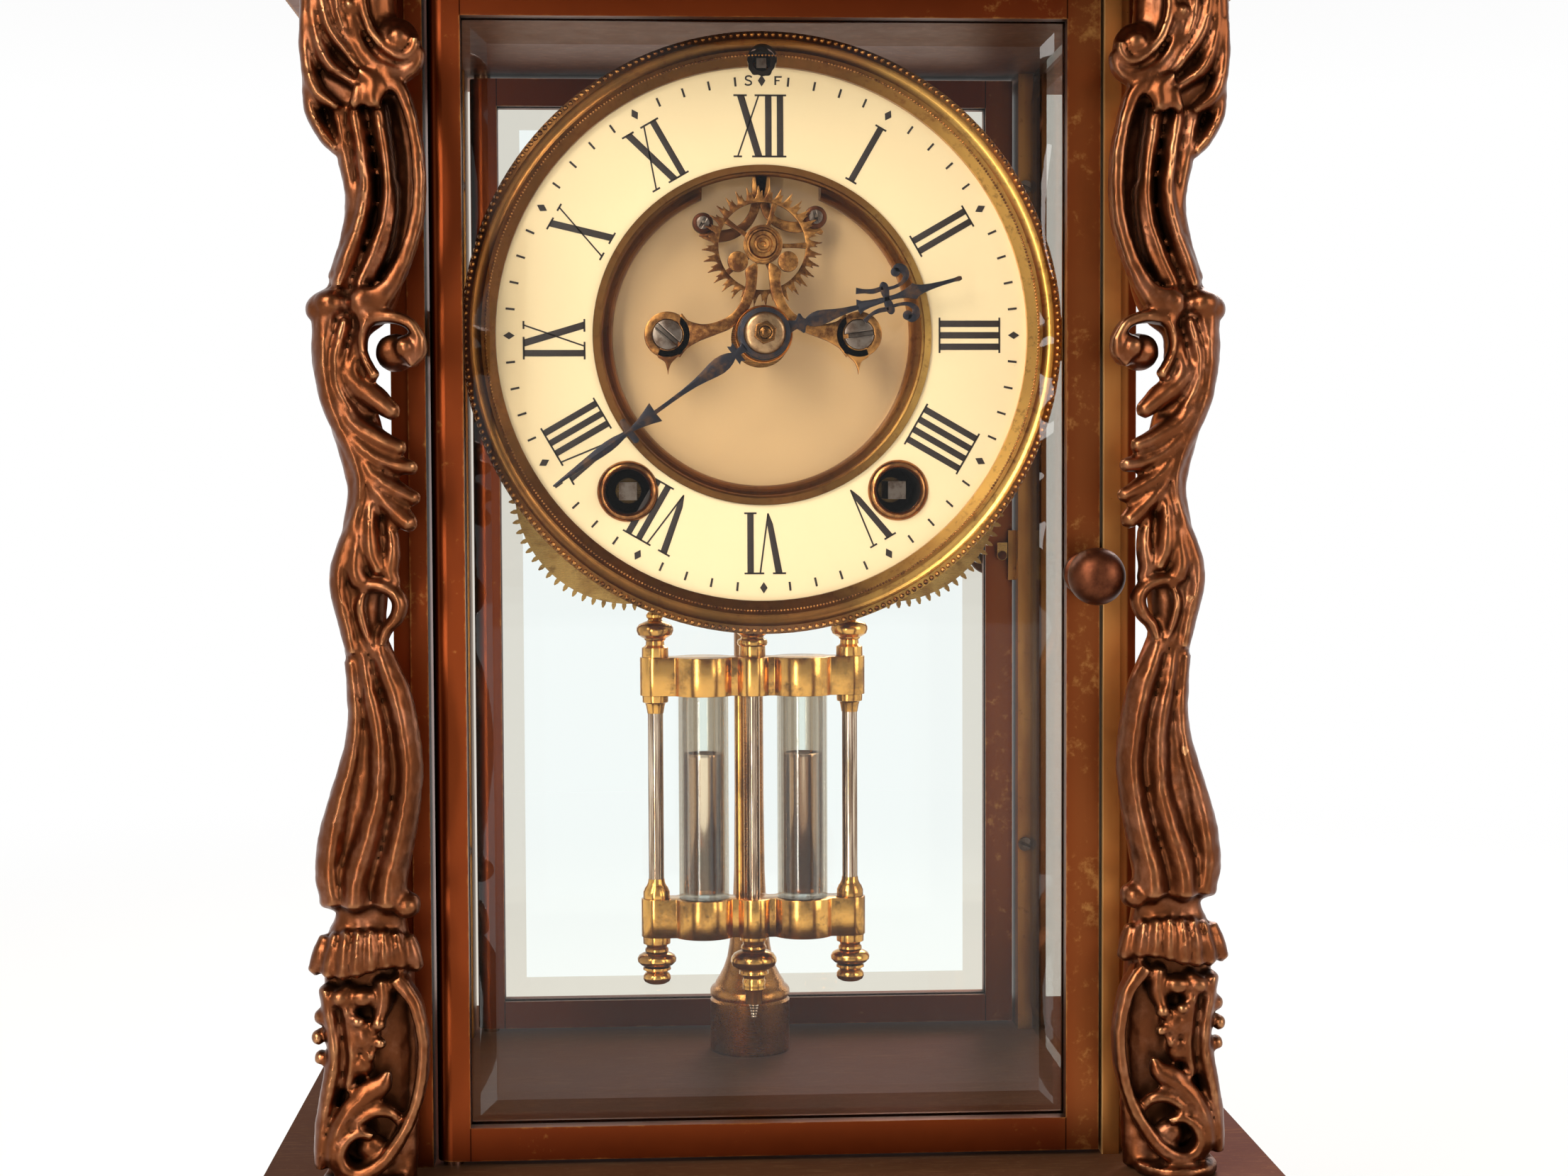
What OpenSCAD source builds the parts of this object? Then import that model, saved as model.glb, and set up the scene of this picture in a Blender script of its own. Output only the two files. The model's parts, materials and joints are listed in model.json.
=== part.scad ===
// Four-glass table clock with scroll pillars, an open pin-pallet escapement and a two-jar pendulum.
// Millimetres. +Z is up, the dial faces -Y, and the origin is the middle of the footprint on the table.

/* [Case] */
// Width across the corner posts
case_w = 145; // [130:1:170]
// Depth from the front door's face to the rear door's face
case_d = 120; // [112:1:150]
// Width of the glass seen in each door
opening_w = 117; // [117:1:124]
// Height of the glass seen in each door
opening_h = 215; // [205:1:240]
// Width of the door's stiles and rails
rail_w = 6.5; // [5.5:0.1:7]
// Thickness of the doors
door_t = 6; // [5:0.1:7]
// Gap round each door
door_gap = 1; // [0.6:0.1:1.4]
// Thickness of the bevelled glass
glass_t = 3.4; // [2.6:0.1:3.6]
// Thickness of the glass at its edge
glass_edge_t = 2; // [1.2:0.1:2.2]
// Width of the bevel that shows
bevel_w = 5; // [3:0.5:8]
// Depth of a corner post from front to back
post_d = 11; // [9:0.5:14]

/* [Base and top] */
// Width of the base at its widest
base_w = 214; // [200:1:240]
// Depth of the base at its deepest
base_d = 188; // [180:1:220]
// Height of the feet
foot_h = 32; // [24:1:44]
// Height of the cast plinth
plinth_h = 45; // [36:1:60]
// Thickness of the floor plate
floor_t = 3; // [2:0.5:5]
// Height of the cornice and the domed roof
canopy_h = 56; // [44:1:70]
// Height of the finial
finial_h = 39; // [26:1:50]
// Width of the cornice
cornice_w = 204; // [196:1:210]
// Depth of the cornice
cornice_d = 176; // [170:1:182]

/* [Pillars] */
// Distance of each pillar's axis from the middle of the clock
pillar_x = 76.5; // [75.5:0.5:80]
// Distance of the pillars in front of the door's face
pillar_y = 12; // [11.5:0.5:18]
// Width of a pillar
pillar_w = 22; // [18:0.5:22.5]

/* [Dial] */
// Distance of the dial's centre below the top of the glass
dial_drop = 60; // [58:1:66]
// Radius of the enamel seen inside the bezel
enamel_r = 53.2; // [51:0.2:54]
// Outer radius of the bezel
bezel_r = 59.7; // [57:0.2:60]
// How far the chapter ring lies behind the door's face
enamel_y = 17; // [16:0.5:19]
// Thickness of the enamel
enamel_t = 1.2; // [0.8:0.1:1.6]
// How far the sunk centre lies behind the chapter ring
pan_drop = 10; // [9.5:0.5:11]
// Inner radius of the chapter ring
chapter_r = 34; // [33:0.2:34.6]
// Radius of the open centre inside the moulded ring
centre_r = 30.5; // [30.5:0.1:32]
// Outer radius of the numerals
numeral_r = 47.8; // [46:0.2:48.4]
// Height of the numerals
numeral_h = 12.3; // [10:0.1:12.6]
// Sideways distance of each winding square
wind_x = 27.2; // [27:0.1:28]
// Distance of the winding squares below the dial's centre
wind_z = 31.1; // [30.5:0.1:32]
// Width across a winding square
wind_square = 3.6; // [3:0.1:4]
// Height of the regulator square above the dial's centre
regulator_up = 54.3; // [53.8:0.1:55]
// Length of the hour hand
hour_len = 40; // [36:0.5:46]
// Length of the minute hand
minute_len = 51.4; // [48:0.2:51.6]
// Angle of the hour hand from twelve
hour_turn = 74.3; // [0:0.1:360]
// Angle of the minute hand from twelve
minute_turn = 234.3; // [0:0.1:360]

/* [Movement] */
// Radius of the movement plates
plate_r = 46; // [44:0.5:50]
// Thickness of the movement plates
plate_t = 2.5; // [2:0.1:3]
// Space between the movement plates
plate_gap = 21.5; // [21.5:0.5:26]
// Teeth of the great wheels
great_teeth = 70; // [60:2:80]
// Radius of the spring barrels
barrel_r = 19.5; // [16:0.5:20]
// Tip radius of the escape wheel
escape_r = 12.1; // [11:0.1:12.2]
// Teeth of the escape wheel
escape_teeth = 32; // [28:4:36]
// Height of the escape wheel's axis above the dial's centre
escape_up = 17.9; // [17.6:0.1:18.4]
// Height of the pallet and pendulum axis above the dial's centre
pallet_up = 41; // [40.5:0.1:42]
// Greatest swing of the pendulum to either side, in degrees
swing = 3; // [1:0.5:4]

/* [Pendulum] */
// How far the pendulum hangs behind the door's face
pendulum_y = 72; // [71:0.5:76]
// Width of the jar plates
jar_plate_w = 50; // [46:1:56]
// Height of the upper jar plate's top above the bottom of the glass
jar_top_up = 86.5; // [80:0.5:88]
// Height of the lower jar plate's top above the bottom of the glass
jar_base_up = 32.2; // [28:0.5:36]
// Thickness of the jar plates with their mouldings
jar_plate_t = 8.6; // [7:0.2:10]
// Outer diameter of the glass jars
jar_dia = 11.3; // [9:0.1:12]
// Height of the filling in the jars
filling_h = 33.5; // [20:0.5:40]
/* [Hidden] */
$fn = 48;
// Overrun of every cut past its face
cut = 0.5;
// Radial clearance of a turning shaft in its bore
run = 0.05;
// Gap between a seated piece and its seat
seat = 0.1;
// Points along each bow of an outline
bow_steps = 8;

// Places worked out from the driving sizes
front_y = -case_d / 2;
floor_z = foot_h + plinth_h;
door_w = opening_w + 2 * rail_w;
door_h = opening_h + 2 * rail_w;
door_z = floor_z + door_gap;
glass_z = door_z + rail_w;
roof_z = door_z + door_h + door_gap;
post_h = roof_z - floor_z;
post_x = door_w / 2 + door_gap * 0.7;
post_w = case_w / 2 - post_x;
dial_up = opening_h - dial_drop;
dial_z = glass_z + dial_up;
hinge_r = door_t / 2;
hinge_x = door_w / 2 - hinge_r;
// How far the knob stands outside the stile's middle
knob_off = 0.4;
knob_x = opening_w / 2 + rail_w / 2 + knob_off;
mid_z = glass_z + opening_h / 2;
pan_y = enamel_y + pan_drop;
// Space between the sunk centre and the front plate
plate_step = 6;
plate_y = pan_y + plate_step;
// Thickness of the great wheels
gear_t = 2;
great_y = plate_y + plate_t + 0.75 * gear_t;
back_y = plate_y + plate_t + plate_gap;

// Points of a shallow curve from p to q that bulges by sag to the left of the way
function bow(p, q, sag) = let(d = q - p, n = [-d[1], d[0]] / norm(d))
    [for (i = [0 : bow_steps]) let(t = i / bow_steps) p + d * t + n * sag * 4 * t * (1 - t)];
// Points of an arc
function arc(c, r, a, b, n = bow_steps) = [for (i = [0 : n]) let(t = a + (b - a) * i / n) c + r * [cos(t), sin(t)]];
// Shares made into sizes
function sized(list, w, h) = [for (p = list) [p[0] * w, p[1] * h]];

// A place behind the door's front face and beside or above the dial's centre
module at_dial(x, y, z) {
    translate([x, front_y + y, dial_z + z]) children();
}

// A place behind the door's front face and above the bottom of the glass
module at_glass(x, y, z) {
    translate([x, front_y + y, glass_z + z]) children();
}

// Turns what is drawn flat so that it faces the front, its thickness running back
module facing() {
    rotate([90, 0, 0]) mirror([0, 0, 1]) children();
}

// A turned piece with its axis running back from the front
module turned(points) {
    rotate([-90, 0, 0]) rotate_extrude() polygon(points);
}

// A straight round bar with its axis running back
module spindle(r, from, to) {
    translate([0, from, 0]) rotate([-90, 0, 0]) cylinder(r = r, h = to - from);
}

// A moulding round a rectangle: points give the distance in from each side and the height
module mitred(w, d, points) {
    right = [for (p = points) [w / 2 - p[0], p[1]]];
    back = [for (p = points) [d / 2 - p[0], p[1]]];
    intersection() {
        rotate([90, 0, 0]) linear_extrude(d, center = true)
            polygon(concat(right, [for (i = [len(right) - 1 : -1 : 0]) [-right[i][0], right[i][1]]]));
        rotate([90, 0, 90]) linear_extrude(w, center = true)
            polygon(concat(back, [for (i = [len(back) - 1 : -1 : 0]) [-back[i][0], back[i][1]]]));
    }
}

// A bevelled pane that stands upright, its bevel to the front and its flat edge as deep as the groove
module pane(w, h) {
    rotate([90, 0, 0]) mitred(w, h,
        [[0, 0], [0, glass_edge_t], [glass_groove, glass_edge_t], [bevel_w + glass_groove, glass_t]]);
}
// How far the glass reaches into its groove
glass_groove = 1.2;

// Case

// Inset and height of the plinth's outline
plinth_shares = [[0.04, 0], [0.04, 0.1], [0.16, 0.14], [0.16, 0.2]];
plinth_inset = 26;
plinth_top_inset = 8;

module base_plinth() {
    low = sized(plinth_shares, plinth_inset, plinth_h);
    waist = [plinth_inset, plinth_h * 0.62];
    ledge = [plinth_top_inset, plinth_h * 0.8];
    lip = plinth_top_inset * 0.6;
    color("darkgoldenrod") translate([0, 0, foot_h]) mitred(base_w - plinth_top_inset, base_d - plinth_top_inset,
        concat(low, bow([plinth_inset * 0.16, plinth_h * 0.2], waist, -plinth_inset * 0.22),
            bow(waist, ledge, -plinth_inset * 0.12), [[lip, plinth_h * 0.82], [lip, plinth_h * 0.9],
            [plinth_top_inset, plinth_h * 0.93], [plinth_top_inset, plinth_h - floor_t]]));
}

// Outline of a scroll foot, out along the corner and up
foot_reach = 34;
foot_w = 20;
foot_roll_r = 7;
foot_roll_w = 25;
foot_corner_share = 0.93;
foot_pad_r = 6.5;
foot_pad_h = 2;

module foot() {
    roll = [foot_reach - foot_roll_r, foot_pad_h + foot_roll_r * 0.95];
    knee = [foot_reach * 0.95, foot_h * 0.82];
    color("darkgoldenrod") {
        rotate([90, 0, 0]) {
            linear_extrude(foot_w, center = true) polygon(concat([[0, foot_h]],
                bow([0, foot_h * 0.8], [foot_reach * 0.62, foot_pad_h], foot_reach * 0.12),
                bow([foot_reach * 0.8, foot_roll_r], knee, -foot_reach * 0.1),
                [[foot_reach * 0.9, foot_h]]));
            translate([roll[0], roll[1], 0]) cylinder(r = foot_roll_r, h = foot_roll_w, center = true);
        }
        translate([roll[0], 0, 0]) cylinder(r = foot_pad_r, h = 2 * foot_pad_h);
    }
}

module feet() {
    x = base_w / 2 * foot_corner_share - foot_reach * cos(45);
    y = base_d / 2 * foot_corner_share - foot_reach * cos(45);
    for (sx = [-1, 1], sy = [-1, 1])
        translate([sx * x, sy * y, 0]) rotate([0, 0, atan2(sy, sx)]) foot();
}

plate_inset = 5;
module floor_plate() {
    w = base_w - 2 * plate_inset - plinth_top_inset;
    d = base_d - 2 * plate_inset - plinth_top_inset;
    color("#5a4638") difference() {
        translate([-w / 2, -d / 2, floor_z - floor_t]) cube([w, d, floor_t]);
        translate([0, front_y + gong_y, floor_z - floor_t - cut])
            cylinder(r = gong_screw_r, h = floor_t + 2 * cut);
    }
}

// A front corner post on the right: a face strip, a set-back shoulder and a groove for the side glass
shoulder_w = 3.4;
shoulder_set = 2;
side_groove = 3;
module post() {
    groove_w = glass_edge_t + seat;
    difference() {
        translate([post_x, 0, 0]) cube([post_w, post_d, post_h]);
        translate([case_w / 2 - shoulder_w, -cut, -cut]) cube([shoulder_w + cut, shoulder_set + cut, post_h + 2 * cut]);
        translate([side_x - groove_w, post_d - side_groove, -cut])
            cube([groove_w, side_groove + cut, post_h + 2 * cut]);
    }
}
// Inset of the side glass from the case's side
side_inset = 1.2;
side_x = case_w / 2 - side_inset;

module place_post(sx, sy) {
    mirror([sx < 0 ? 1 : 0, 0, 0]) mirror([0, sy > 0 ? 1 : 0, 0]) translate([0, front_y, floor_z]) children();
}

// The strip on a post's inner side that a door's catch turns behind
keeper_reach = 1.9;
keeper_t = 1.2;
keeper_h = 12;
// Gap between the door's back and the keeper, and between the keeper and the catch
keeper_gap = 0.4;
keeper_y = door_t + keeper_gap;
module keeper() {
    translate([post_x - keeper_reach, keeper_y, mid_z - floor_z - keeper_h / 2])
        cube([keeper_reach + cut, keeper_t, keeper_h]);
}

module post_front_left() {
    color("peru") place_post(-1, -1) post();
}
module post_front_right() {
    color("peru") place_post(1, -1) {
        post();
        keeper();
    }
}
// A rear post has holes for the screws of its inner strip
rear_screw_up = 37.7;
rear_screw_drop = 19.5;
screw_r = 1.6;
module rear_post(side) {
    place_post(side, 1) {
        post();
        if (side > 0) keeper();
    }
}
module post_rear_left() {
    color("peru") rear_post(-1);
}
module post_rear_right() {
    color("peru") rear_post(1);
}

module side_glass(side) {
    length = case_d - 2 * (post_d - side_groove) - 2 * seat;
    color([0.85, 0.93, 0.92, 0.4]) translate([side * side_x, 0, floor_z + post_h / 2])
        rotate([0, -90 * side, 0]) mitred(post_h - 2 * seat, length,
            [[0, 0], [0, glass_edge_t], [side_groove, glass_edge_t], [bevel_w + side_groove, glass_t]]);
}
module side_glass_left() {
    side_glass(-1);
}
module side_glass_right() {
    side_glass(1);
}

// Inset and height of the roof's outline
cornice_lip = 3;
cornice_neck = 7;
cornice_shelf = 24;
module top_canopy() {
    lip = cornice_lip;
    neck = cornice_neck;
    shelf = cornice_shelf;
    cornice_h = canopy_h * 0.36;
    dome_in = cornice_d * 0.5 - finial_seat;
    color("darkgoldenrod") translate([0, 0, roof_z]) {
        mitred(cornice_w, cornice_d, concat([[neck, 0], [neck, cornice_h * 0.12]],
            bow([neck, cornice_h * 0.16], [lip, cornice_h * 0.62], -neck * 0.3),
            [[0, cornice_h * 0.66], [0, cornice_h * 0.86], [lip, cornice_h * 0.9], [lip, cornice_h]]));
        translate([0, 0, cornice_h]) mitred(cornice_w - 2 * shelf, cornice_d - 2 * shelf, concat([[0, 0]],
            bow([lip, cornice_h * 0.2], [dome_in * 0.36, canopy_h * 0.34], -dome_in * 0.09),
            bow([dome_in * 0.4, canopy_h * 0.36], [dome_in * 0.66, canopy_h * 0.64], dome_in * 0.05)));
    }
}
finial_seat = 16;

// Radius and height of the finial, an urn with a bud
urn_r = 13;
urn_shares = [[0, 0], [1, 0], [1, 0.06], [0.5, 0.12], [0.34, 0.2]];
module top_finial() {
    neck = [urn_r * 0.34, finial_h * 0.2];
    color("goldenrod") translate([0, 0, roof_z + canopy_h]) rotate_extrude() polygon(concat(
        sized(urn_shares, urn_r, finial_h), bow(neck, [urn_r * 0.5, finial_h * 0.62], -urn_r * 0.32),
        [[urn_r * 0.62, finial_h * 0.65]], bow([urn_r * 0.3, finial_h * 0.7], [0, finial_h], -urn_r * 0.14)));
}

// Pillars

// A cast limb through points given as shares of the pillar's width and of its height; it swells and thins
module limb(way_shares, thick, bulge_shares, depth = 0) {
    last = len(way_shares) - 1;
    place = [for (p = way_shares) [pillar_in + p[0] * pillar_w, depth, p[1] * post_h]];
    for (i = [0 : last - 1]) hull() {
        translate(place[i]) sphere(r = thick * bulge_shares[i], $fn = 8);
        translate(place[i + 1]) sphere(r = thick * bulge_shares[i + 1], $fn = 8);
    }
}
// How far a pillar's inner side stands nearer the middle than half its width
pillar_shift = 1;
pillar_in = pillar_x - pillar_w / 2 - pillar_shift;
// Thickness of the scroll rims, stems and leaves
rim_r = 2.1;
stem_r = 2.6;
leaf_r = 3.8;
// How far the stems stand in front of or behind one another
stem_step = 2.4;
pad_r = 8;
pad_h = 2.4;

// Ways of the limbs, from the bottom scroll up to the top volute
low_rim_shares = [[0.24, 0.172], [0.12, 0.125], [0.2, 0.055], [0.46, 0.014], [0.78, 0.014], [0.84, 0.035], [0.6, 0.05]];
low_body_shares = [[0.6, 0.175], [0.5, 0.12], [0.6, 0.055], [0.62, 0.022]];
stem_one_shares = [[0.55, 0.49], [0.5, 0.445], [0.22, 0.378], [0.22, 0.32], [0.36, 0.245], [0.5, 0.2]];
stem_two_shares = [[0.66, 0.49], [0.56, 0.412], [0.42, 0.35], [0.5, 0.3], [0.62, 0.2]];
stem_three_shares = [[0.75, 0.49], [0.66, 0.38], [0.74, 0.34], [0.92, 0.27], [0.72, 0.2]];
leaf_shares = [[0.86, 0.7], [0.6, 0.64], [0.45, 0.58], [0.62, 0.49]];
lobe_shares = [[[0.6, 0.66], [0.25, 0.636]], [[0.55, 0.62], [0.16, 0.592]], [[0.5, 0.59], [0.16, 0.56]]];
top_rim_shares = [[0.4, 0.905], [0.16, 0.885], [0.08, 0.82], [0.18, 0.75], [0.36, 0.715], [0.6, 0.725]];
top_rib_shares = [[0.5, 0.89], [0.4, 0.83], [0.5, 0.78], [0.72, 0.735]];
back_shares = [[0.9, 0.93], [0.78, 0.85], [0.76, 0.79], [0.9, 0.73], [0.8, 0.67]];
top_curl_shares = [[0.6, 0.98], [0.48, 0.94], [0.28, 0.92], [0.14, 0.94], [0.22, 0.955]];
mid_curl_shares = [[0.56, 0.68], [0.46, 0.708], [0.2, 0.708], [0.14, 0.69]];

module pillar() {
    color("#8a5a35") {
        limb(low_rim_shares, rim_r, [1, 1.2, 1.2, 1.2, 1.2, 1, 0.8], -stem_step);
        limb(low_body_shares, leaf_r, [1.3, 1.2, 1.3, 1]);
        limb(stem_one_shares, stem_r, [0.8, 0.9, 1.2, 1.2, 1, 0.9], -stem_step / 2);
        limb(stem_two_shares, stem_r, [1, 1.2, 1.3, 1.2, 1.4]);
        limb(stem_three_shares, stem_r, [0.8, 1.1, 1.2, 1.2, 0.9], stem_step / 2);
        limb([[0.52, 0.19], [0.58, 0.205]], leaf_r, [1.9, 1.6]);
        limb(leaf_shares, leaf_r, [1, 1.4, 1.5, 1.1]);
        for (lobe = lobe_shares) limb(lobe, leaf_r, [1, 0.5], -stem_step / 2);
        limb(top_rim_shares, rim_r, [1, 1.1, 1.2, 1.2, 1.2, 1], -stem_step);
        limb(top_rib_shares, stem_r, [1, 1.3, 1.3, 1]);
        limb(back_shares, stem_r, [1, 1.2, 1.2, 1.2, 1]);
        limb(top_curl_shares, stem_r, [1.4, 1.3, 1, 0.9, 1.1]);
        limb(mid_curl_shares, rim_r, [1.2, 1.2, 1, 1.2]);
        limb([[0.6, 0.98], [0.75, 0.92], [0.62, 0.88]], leaf_r, [0.8, 1.2, 1]);
        translate([pillar_in + pillar_w * 0.6, 0, 0]) {
            cylinder(r = pad_r, h = pad_h);
            translate([0, 0, post_h - pad_h]) cylinder(r = pad_r, h = pad_h);
        }
    }
}
module pillar_right() {
    translate([0, front_y - pillar_y, floor_z]) pillar();
}
module pillar_left() {
    mirror([1, 0, 0]) pillar_right();
}

// Screws and hinge pins

// A cheese-head screw that faces the front, its head's back on zero
module screw(r, head_h, length) {
    slot_w = r * 0.22;
    shank_r = r * 0.5;
    rotate([90, 0, 0]) difference() {
        union() {
            cylinder(r = r, h = head_h);
            if (length > 0) translate([0, 0, -length]) cylinder(r = shank_r, h = length);
        }
        translate([-r - cut, -slot_w, head_h * 0.5]) cube([2 * (r + cut), 2 * slot_w, head_h]);
    }
}
head_share = 0.4;
// Length of the short screws on the rear posts' faces
post_screw_h = 0.9;
module case_screws() {
    x = post_x + screw_r;
    color("silver") for (side = [-1, 1], up = [rear_screw_up, opening_h - rear_screw_drop])
        translate([side * x, case_d / 2 - post_d, glass_z + up]) rotate([0, 25 * side, 0])
            screw(screw_r, post_screw_h, 0);
}

pin_r = 1;
pin_reach = 4;
pin_flange_r = 2;
module hinge_pin() {
    flange_h = door_gap - 2 * seat;
    cylinder(r = pin_flange_r, h = flange_h);
    cylinder(r = pin_r, h = door_gap + pin_reach);
}
module hinge_pins() {
    color("goldenrod") for (sy = [-1, 1]) translate([-hinge_x, sy * (case_d / 2 - hinge_r), 0]) {
        translate([0, 0, floor_z]) hinge_pin();
        translate([0, 0, roof_z]) mirror([0, 0, 1]) hinge_pin();
    }
}

// Doors

shaft_r = 0.8;
module door_frame() {
    groove_t = glass_edge_t + seat;
    groove_w = opening_w + 2 * glass_groove;
    groove_h = opening_h + 2 * glass_groove;
    color("peru") difference() {
        translate([0, front_y, door_z]) union() {
            translate([-hinge_x, hinge_r, 0]) cylinder(r = hinge_r, h = door_h);
            translate([-hinge_x, 0, 0]) cube([hinge_x + door_w / 2, door_t, door_h]);
        }
        translate([-opening_w / 2, front_y - cut, glass_z]) cube([opening_w, door_t + 2 * cut, opening_h]);
        translate([-groove_w / 2, front_y + door_t / 2, glass_z - glass_groove]) cube([groove_w, groove_t, groove_h]);
        for (z = [door_z - cut, door_z + door_h - pin_reach - seat])
            translate([-hinge_x, front_y + hinge_r, z]) cylinder(r = pin_r + run, h = pin_reach + seat + cut);
        translate([knob_x, front_y - cut, mid_z]) spindle(shaft_r + run, 0, door_t + 2 * cut);
    }
}

module door_glass() {
    color([0.85, 0.93, 0.92, 0.4])
        translate([0, front_y + door_t / 2 + glass_edge_t + seat / 2, mid_z])
        pane(opening_w + 2 * glass_groove - 2 * seat, opening_h + 2 * glass_groove - 2 * seat);
}

// Outline of the knob: radius and how far it stands out
knob_r = 5.5;
knob_h = 17;
rose_h = 1.4;
catch_y = keeper_y + keeper_t + keeper_gap;
catch_t = 1.2;
catch_w = 2.4;
catch_len = 3.1;
rivet_r = 1.1;
rivet_h = 0.7;
module door_knob() {
    neck = knob_r * 0.36;
    color("#5b2a1e") translate([knob_x, front_y, mid_z]) {
        turned(concat([[0, -knob_h]], bow([knob_r * 0.3, -knob_h], [knob_r, -knob_h * 0.68], knob_r * 0.14),
            bow([knob_r, -knob_h * 0.68], [neck, -knob_h * 0.4], knob_r * 0.1),
            [[neck, -knob_h * 0.2], [knob_r * 0.8, -rose_h], [knob_r * 0.8, -seat], [0, -seat]]));
        spindle(shaft_r, -rose_h, catch_y + catch_t);
        spindle(rivet_r, catch_y + catch_t, catch_y + catch_t + rivet_h);
    }
}

// The catch is upright when the door is free
module door_catch() {
    color("goldenrod") translate([knob_x, front_y + catch_y, mid_z]) difference() {
        union() {
            spindle(catch_w / 2, 0, catch_t);
            translate([-catch_w / 2, 0, 0]) cube([catch_w, catch_t, catch_len]);
        }
        spindle(shaft_r + run, -cut, catch_t + cut);
    }
}

module front_door_frame() {
    door_frame();
}
module front_door_glass() {
    door_glass();
}
module front_door_knob() {
    door_knob();
}
module front_door_catch() {
    door_catch();
}
// The rear door is the front door turned to face the back
module rear_door_frame() {
    mirror([0, 1, 0]) door_frame();
}
module rear_door_glass() {
    mirror([0, 1, 0]) door_glass();
}
module rear_door_knob() {
    mirror([0, 1, 0]) door_knob();
}
module rear_door_catch() {
    mirror([0, 1, 0]) door_catch();
}

// Dial

// Profiles turned about the dial's axis hold a radius and a depth behind the door's face
bezel_front = 12.4;
bezel_back = 24;
bezel_wall = 1.6;
lip_t = 1.4;
small_bead_r = 55.1;
large_bead_r = 59;
winding_r = 6.15;
winding_hole_r = 4.4;
regulator_r = 2.9;
regulator_hole_r = 1.9;

module bezel() {
    band_r = bezel_r - bezel_wall;
    ring = large_bead_r - small_bead_r;
    color("darkgoldenrod") at_dial(0, 0, 0) difference() {
        turned(concat([[enamel_r, enamel_y - seat], [enamel_r, enamel_y - seat - lip_t],
            [small_bead_r, bezel_front + lip_t]],
            bow([small_bead_r + ring * 0.2, bezel_front + lip_t * 0.4], [band_r, bezel_front], ring * 0.12),
            [[bezel_r, bezel_front + lip_t / 2], [bezel_r, bezel_back], [band_r, bezel_back],
            [band_r, enamel_y - seat]]));
        translate([0, 0, regulator_up]) spindle(regulator_r + run, 0, bezel_back + cut);
    }
}

// The holes for winding and for regulating
module dial_holes(r, reg) {
    for (side = [-1, 1]) translate([side * wind_x, -wind_z]) circle(r = r);
    translate([0, regulator_up]) circle(r = reg);
}

chapter_edge = 1.4;
module chapter_ring() {
    color("ivory") at_dial(0, enamel_y, 0) facing() linear_extrude(enamel_t) difference() {
        circle(r = enamel_r + chapter_edge, $fn = 96);
        circle(r = chapter_r, $fn = 96);
        dial_holes(winding_hole_r + seat, regulator_hole_r + seat);
    }
}

// Strokes of a numeral, each with a place across, a slant and a weight: 0 upright, 1 and -1 leaning
bar_w = 1.25;
hair_w = 0.3;
pitch_w = 2.2;
numerals = ["XII", "I", "II", "III", "IIII", "V", "VI", "VII", "VIII", "IX", "X", "XI"];
// Width that each letter takes, in bar pitches, and the spread of V and X at the open end
letter_shares = [["I", 1], ["V", 2.1], ["X", 2.3]];
function letter_w(c) = letter_shares[search([c], letter_shares)[0]][1] * pitch_w;
function text_w(s, i) = i == 0 ? 0 : text_w(s, i - 1) + letter_w(s[i - 1]);

module stroke(a, b, w) {
    polygon([a - [w / 2, 0], b - [w / 2, 0], b + [w / 2, 0], a + [w / 2, 0]]);
}

module letter(c) {
    w = letter_w(c);
    foot = numeral_r - numeral_h;
    spread = w / 2 - bar_w * 0.55;
    if (c == "I") stroke([0, foot], [0, numeral_r], bar_w);
    if (c == "V") {
        stroke([0, foot], [-spread, numeral_r], bar_w);
        stroke([0, foot], [spread, numeral_r], hair_w);
    }
    if (c == "X") {
        stroke([spread, foot], [-spread, numeral_r], bar_w);
        stroke([-spread, foot], [spread, numeral_r], hair_w);
    }
}

module numeral(s) {
    width = text_w(s, len(s));
    for (i = [0 : len(s) - 1])
        translate([text_w(s, i) + letter_w(s[i]) / 2 - width / 2, 0]) letter(s[i]);
    for (r = [numeral_r - numeral_h, numeral_r])
        translate([-width / 2, r - hair_w / 2]) square([width, hair_w]);
}

minute_r = 50.4;
tick_h = 2;
tick_w = 0.35;
diamond_w = 1.3;
ink_t = 0.12;
module dial_numerals() {
    color("black") at_dial(0, enamel_y - ink_t, 0) facing() linear_extrude(ink_t) difference() {
        union() {
            for (i = [0 : 11]) rotate(-30 * i) {
                numeral(numerals[i]);
                translate([0, minute_r]) scale([diamond_w / tick_h, 1]) rotate(45) square(tick_h / sqrt(2), center = true);
            }
            for (i = [0 : 59]) if (i % 5 > 0) rotate(-6 * i)
                translate([-tick_w / 2, minute_r - tick_h / 2]) square([tick_w, tick_h]);
        }
        dial_holes(winding_r + seat, regulator_r + seat);
    }
}

anchor_ahead = 6;
anchor_y = pan_y - anchor_ahead;
anchor_t = 1.5;
notch_w = 24;
module inner_ring() {
    front = enamel_y - 0.5 * lip_t;
    step = (pan_y - front) / 4;
    mid = (chapter_r + centre_r) / 2;
    color("goldenrod") at_dial(0, 0, 0) difference() {
        turned(concat([[chapter_r - seat, pan_y - seat], [chapter_r - seat, front]],
            bow([chapter_r - lip_t, front], [mid, front + step], -step * 0.3),
            bow([mid - step * 0.1, front + step * 1.2], [centre_r, pan_y - lip_t], step * 0.4),
            [[centre_r, pan_y - seat]]));
        translate([-notch_w / 2, anchor_y - anchor_t, centre_r * 0.8])
            cube([notch_w, pan_y - anchor_y + anchor_t + cut, chapter_r]);
    }
}

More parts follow.
